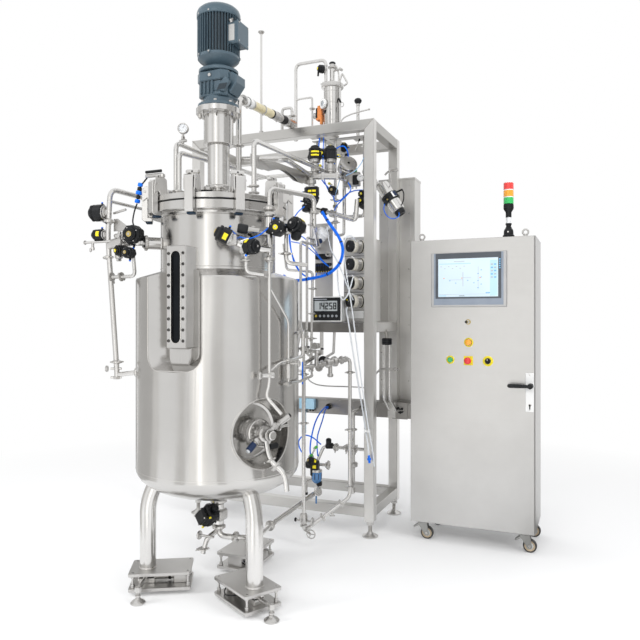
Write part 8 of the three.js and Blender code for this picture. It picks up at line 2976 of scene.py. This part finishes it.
key.prism(
    pump_black,
    [(KEY_X + a, KEY_Z + b) for a, b in ((-14, -5), (-6, -8.5), (3, -5), (5, 0), (3, 5), (-6, 8), (-14, 5))],
    (0, 52, 0),
    (0, -1, 0),
    3.6,
    edge=0.9,
)
key.rod(brass_cap, (KEY_X + 1, 48.6, KEY_Z), (KEY_X + 1, 48, KEY_Z), 3, 16, 0.2)
fit(key.mesh("key_and_barrel"), "key", "brushed_steel", "key_switch")
lever_face = DOOR_FRONT - 8.3
lever = Build()
lever.rod(turned_steel, (LEVER_X, lever_face - 30, LEVER_Z), (LEVER_X, 114, LEVER_Z), 9, 28)
lever.turned(black_paint, (LEVER_X, lever_face, LEVER_Z), (0, -1, 0),
        [(0, 0), (15, 0), (15, 3), (12.6, 6), (12.6, 28), (14, 32), (14, 40), (10, 43), (0, 43)], 36)
grip = [
    (LEVER_X, lever_face - 34, LEVER_Z),
    (LEVER_X - 24, lever_face - 36, LEVER_Z),
    (LEVER_X - 70, lever_face - 35, LEVER_Z),
    (LEVER_X - 118, lever_face - 33, LEVER_Z),
]
lever.turned(
    black_paint,
    grip[0],
    Vector(grip[3]) - Vector(grip[0]),
    [(0, 4), (9, 6), (9, 20), (10.6, 60), (11, 104), (10, 114), (6, 119), (0, 120)],
    32,
)
for share in (30, 44, 58, 72, 86):
    lever.turned(black_paint, (LEVER_X - share, lever_face - 34.6, LEVER_Z), (-1, 0, 0),
            [(9, -1.5), (11.2, 0), (9, 1.5)], 28)
lever.block(turned_steel, (LEVER_X - 12, 108, LEVER_Z - 12), (LEVER_X + 12, 114, LEVER_Z + 50), 1.5)
fit(lever.mesh("lever_handle"), "lever", "black_plastic", "door_lever")


# ------------------------------------------------------------------ signal tower
# A stacked signal light stands on the cabinet's roof: black foot and collar, a clear tube, then green,
# amber and red lenses under a flat cap, each lens with fine moulded ribs.
lens_green = coated("lens_green", (0.02, 0.46, 0.10), (0.03, 0.58, 0.14), 0.2, coat=0.8)
lens_amber = coated("lens_amber", (0.82, 0.34, 0.01), (0.92, 0.42, 0.02), 0.2, coat=0.8)
lens_red = coated("lens_red", (0.74, 0.03, 0.025), (0.86, 0.05, 0.04), 0.2, coat=0.8)
clear_tube = coated("clear_tube", (0.70, 0.71, 0.72), (0.80, 0.81, 0.82), 0.12, coat=0.8)
TOWER_X, TOWER_Y = 755, 135.3
tower = Build()
tower_foot = Vector((TOWER_X, TOWER_Y, CAB_HIGH + 0.3))
tower.turned(black_paint, tower_foot, UP, [(0, 0), (30, 0), (32, 4), (32, 10), (27, 14), (26, 36), (22, 46),
        (16, 50), (0, 50)], 48)
tower.turned(black_paint, tower_foot + UP * 46, UP,
        [(0, 0), (18, 0), (18, 8), (14, 12), (14, 22), (17, 24), (17, 32), (0, 32)], 40)
tower.turned(clear_tube, tower_foot + UP * 76, UP, [(0, 0), (14, 0), (14, 38), (0, 38)], 40)
tower.turned(black_paint, tower_foot + UP * 112, UP,
        [(0, 0), (16, 0), (16, 28), (26, 44), (28, 50), (28, 70), (26, 74), (0, 74)], 48)
tower.rod(turned_steel, tower_foot + Vector((0, -25, 28)), tower_foot + Vector((0, -28, 28)), 5, 16, 1)
for index, lens in enumerate((lens_green, lens_amber, lens_red)):
    low = 187 + 40.5 * index
    profile = [(0, 0), (26, 0)]
    for rib in range(11):
        profile += [(28, 1 + 3.2 * rib), (27.2, 2.6 + 3.2 * rib)]
    tower.turned(lens, tower_foot + UP * low, UP, [*profile, (26, 36), (0, 36)], 48)
    tower.turned(white_plastic, tower_foot + UP * (low + 35.5), UP, [(0, 0), (26.4, 0), (26.4, 5), (0, 5)],
            48)
tower.turned(lens_red, tower_foot + UP * 303, UP, [(0, 0), (27, 0), (26, 4), (20, 6.6), (0, 7)], 48)
fit(tower.mesh("signal_light"), "plant", "black_plastic", "signal_tower")


# ------------------------------------------------------------------ casters
# Pressed-steel swivel castors: a bolted top plate, ball race, fork and a ribbed brake pedal; the wheel has
# a dark polyurethane tread on a tan core and turns on a nutted axle.
fork_grey = stainless("fork_zinc", (0.46, 0.46, 0.45), (0.32, 0.32, 0.31), 0.26, 0.42, grain=300,
        depth=0.0001)
tread_dark = coated("tread_dark", (0.035, 0.033, 0.032), (0.055, 0.052, 0.050), 0.45)
core_tan = coated("core_tan", (0.42, 0.33, 0.22), (0.52, 0.42, 0.29), 0.42)
for number, (x, y) in enumerate([(262, 134), (842, 134), (262, 414), (842, 414)], 1):
    top = CAB_LOW - 0.3
    axle = x + 28
    fork = Build()
    fork.block(fork_grey, (x - 34, y - 30, top - 4), (x + 34, y + 30, top), 1.2)
    for a, b in ((-26, -22), (26, -22), (-26, 22), (26, 22)):
        fork.rod(turned_steel, (x + a, y + b, top - 3), (x + a, y + b, top - 9), 5, 6, 0.6)
    fork.turned(fork_grey, (x, y, top - 14), UP, [(0, 0), (22, 0), (27, 3), (27, 8), (23, 11), (0, 11)], 36)
    fork.block(fork_grey, (x - 22, y - 18, 84), (x + 28, y + 18, top - 12), 4)
    cheek = [(x - 24, top - 8), (x - 24, top - 20), (axle - 13, 30), (axle - 6, 25), (axle + 6, 25),
            (axle + 13, 30), (x + 32, top - 20), (x + 30, top - 8)]
    for side in (y - 14.4, y + 18.4):
        fork.prism(fork_grey, cheek, (0, side, 0), (0, -1, 0), 4, edge=0.8)
    fork.rod(turned_steel, (axle, y - 19.5, 37.5), (axle, y + 19.5, 37.5), 5, 20)
    for side in (y - 19, y + 19):
        nut(fork, (axle, side, 37.5), (0, 1, 0), 8.5, 5)
    pedal = [(x - 22, 88), (x - 30, 84), (x - 52, 66), (x - 48, 60), (x - 24, 74), (x - 18, 80)]
    fork.prism(fork_grey, pedal, (0, y + 17, 0), (0, -1, 0), 34, edge=1.5)
    for i in range(4):
        fork.block(fork_grey, (x - 50 + 6 * i, y - 15, 66.5 + 5 * i), (x - 48 + 6 * i, y + 15, 70 + 5 * i),
                0.5)
    fit(fork.mesh(f"castor_fork_{number}"), f"caster_{number}", "brushed_steel", f"caster_fork_{number}")
    wheel = Build()
    wheel.turned(
        tread_dark,
        (axle, y - 13, 37.5),
        (0, 1, 0),
        [(29, 0), (34, 0), (37, 3), (37.5, 6), (37.5, 20), (37, 23), (34, 26), (29, 26)],
        56,
    )
    wheel.turned(core_tan, (axle, y - 13, 37.5), (0, 1, 0), [(20, 2), (29.5, 0.6), (29.5, 25.4), (20, 24)],
            56)
    wheel.turned(module_pale, (axle, y - 13, 37.5), (0, 1, 0),
            [(6, 0), (12, 0), (14, 3), (20.5, 4), (20.5, 22), (14, 23), (12, 26), (6, 26)], 48)
    for turn in range(6):
        way = Vector((math.cos(turn * 1.047), 0, math.sin(turn * 1.047)))
        for side, out in ((y - 10.4, -1), (y + 10.4, 1)):
            spot = Vector((axle, side, 37.5))
            wheel.rod(module_pale, spot + way * 13, spot + way * 21, 1.8, 8, 0.4)
    fit(wheel.mesh(f"castor_wheel_{number}"), f"wheel_{number}", "black_rubber", f"caster_wheel_{number}")
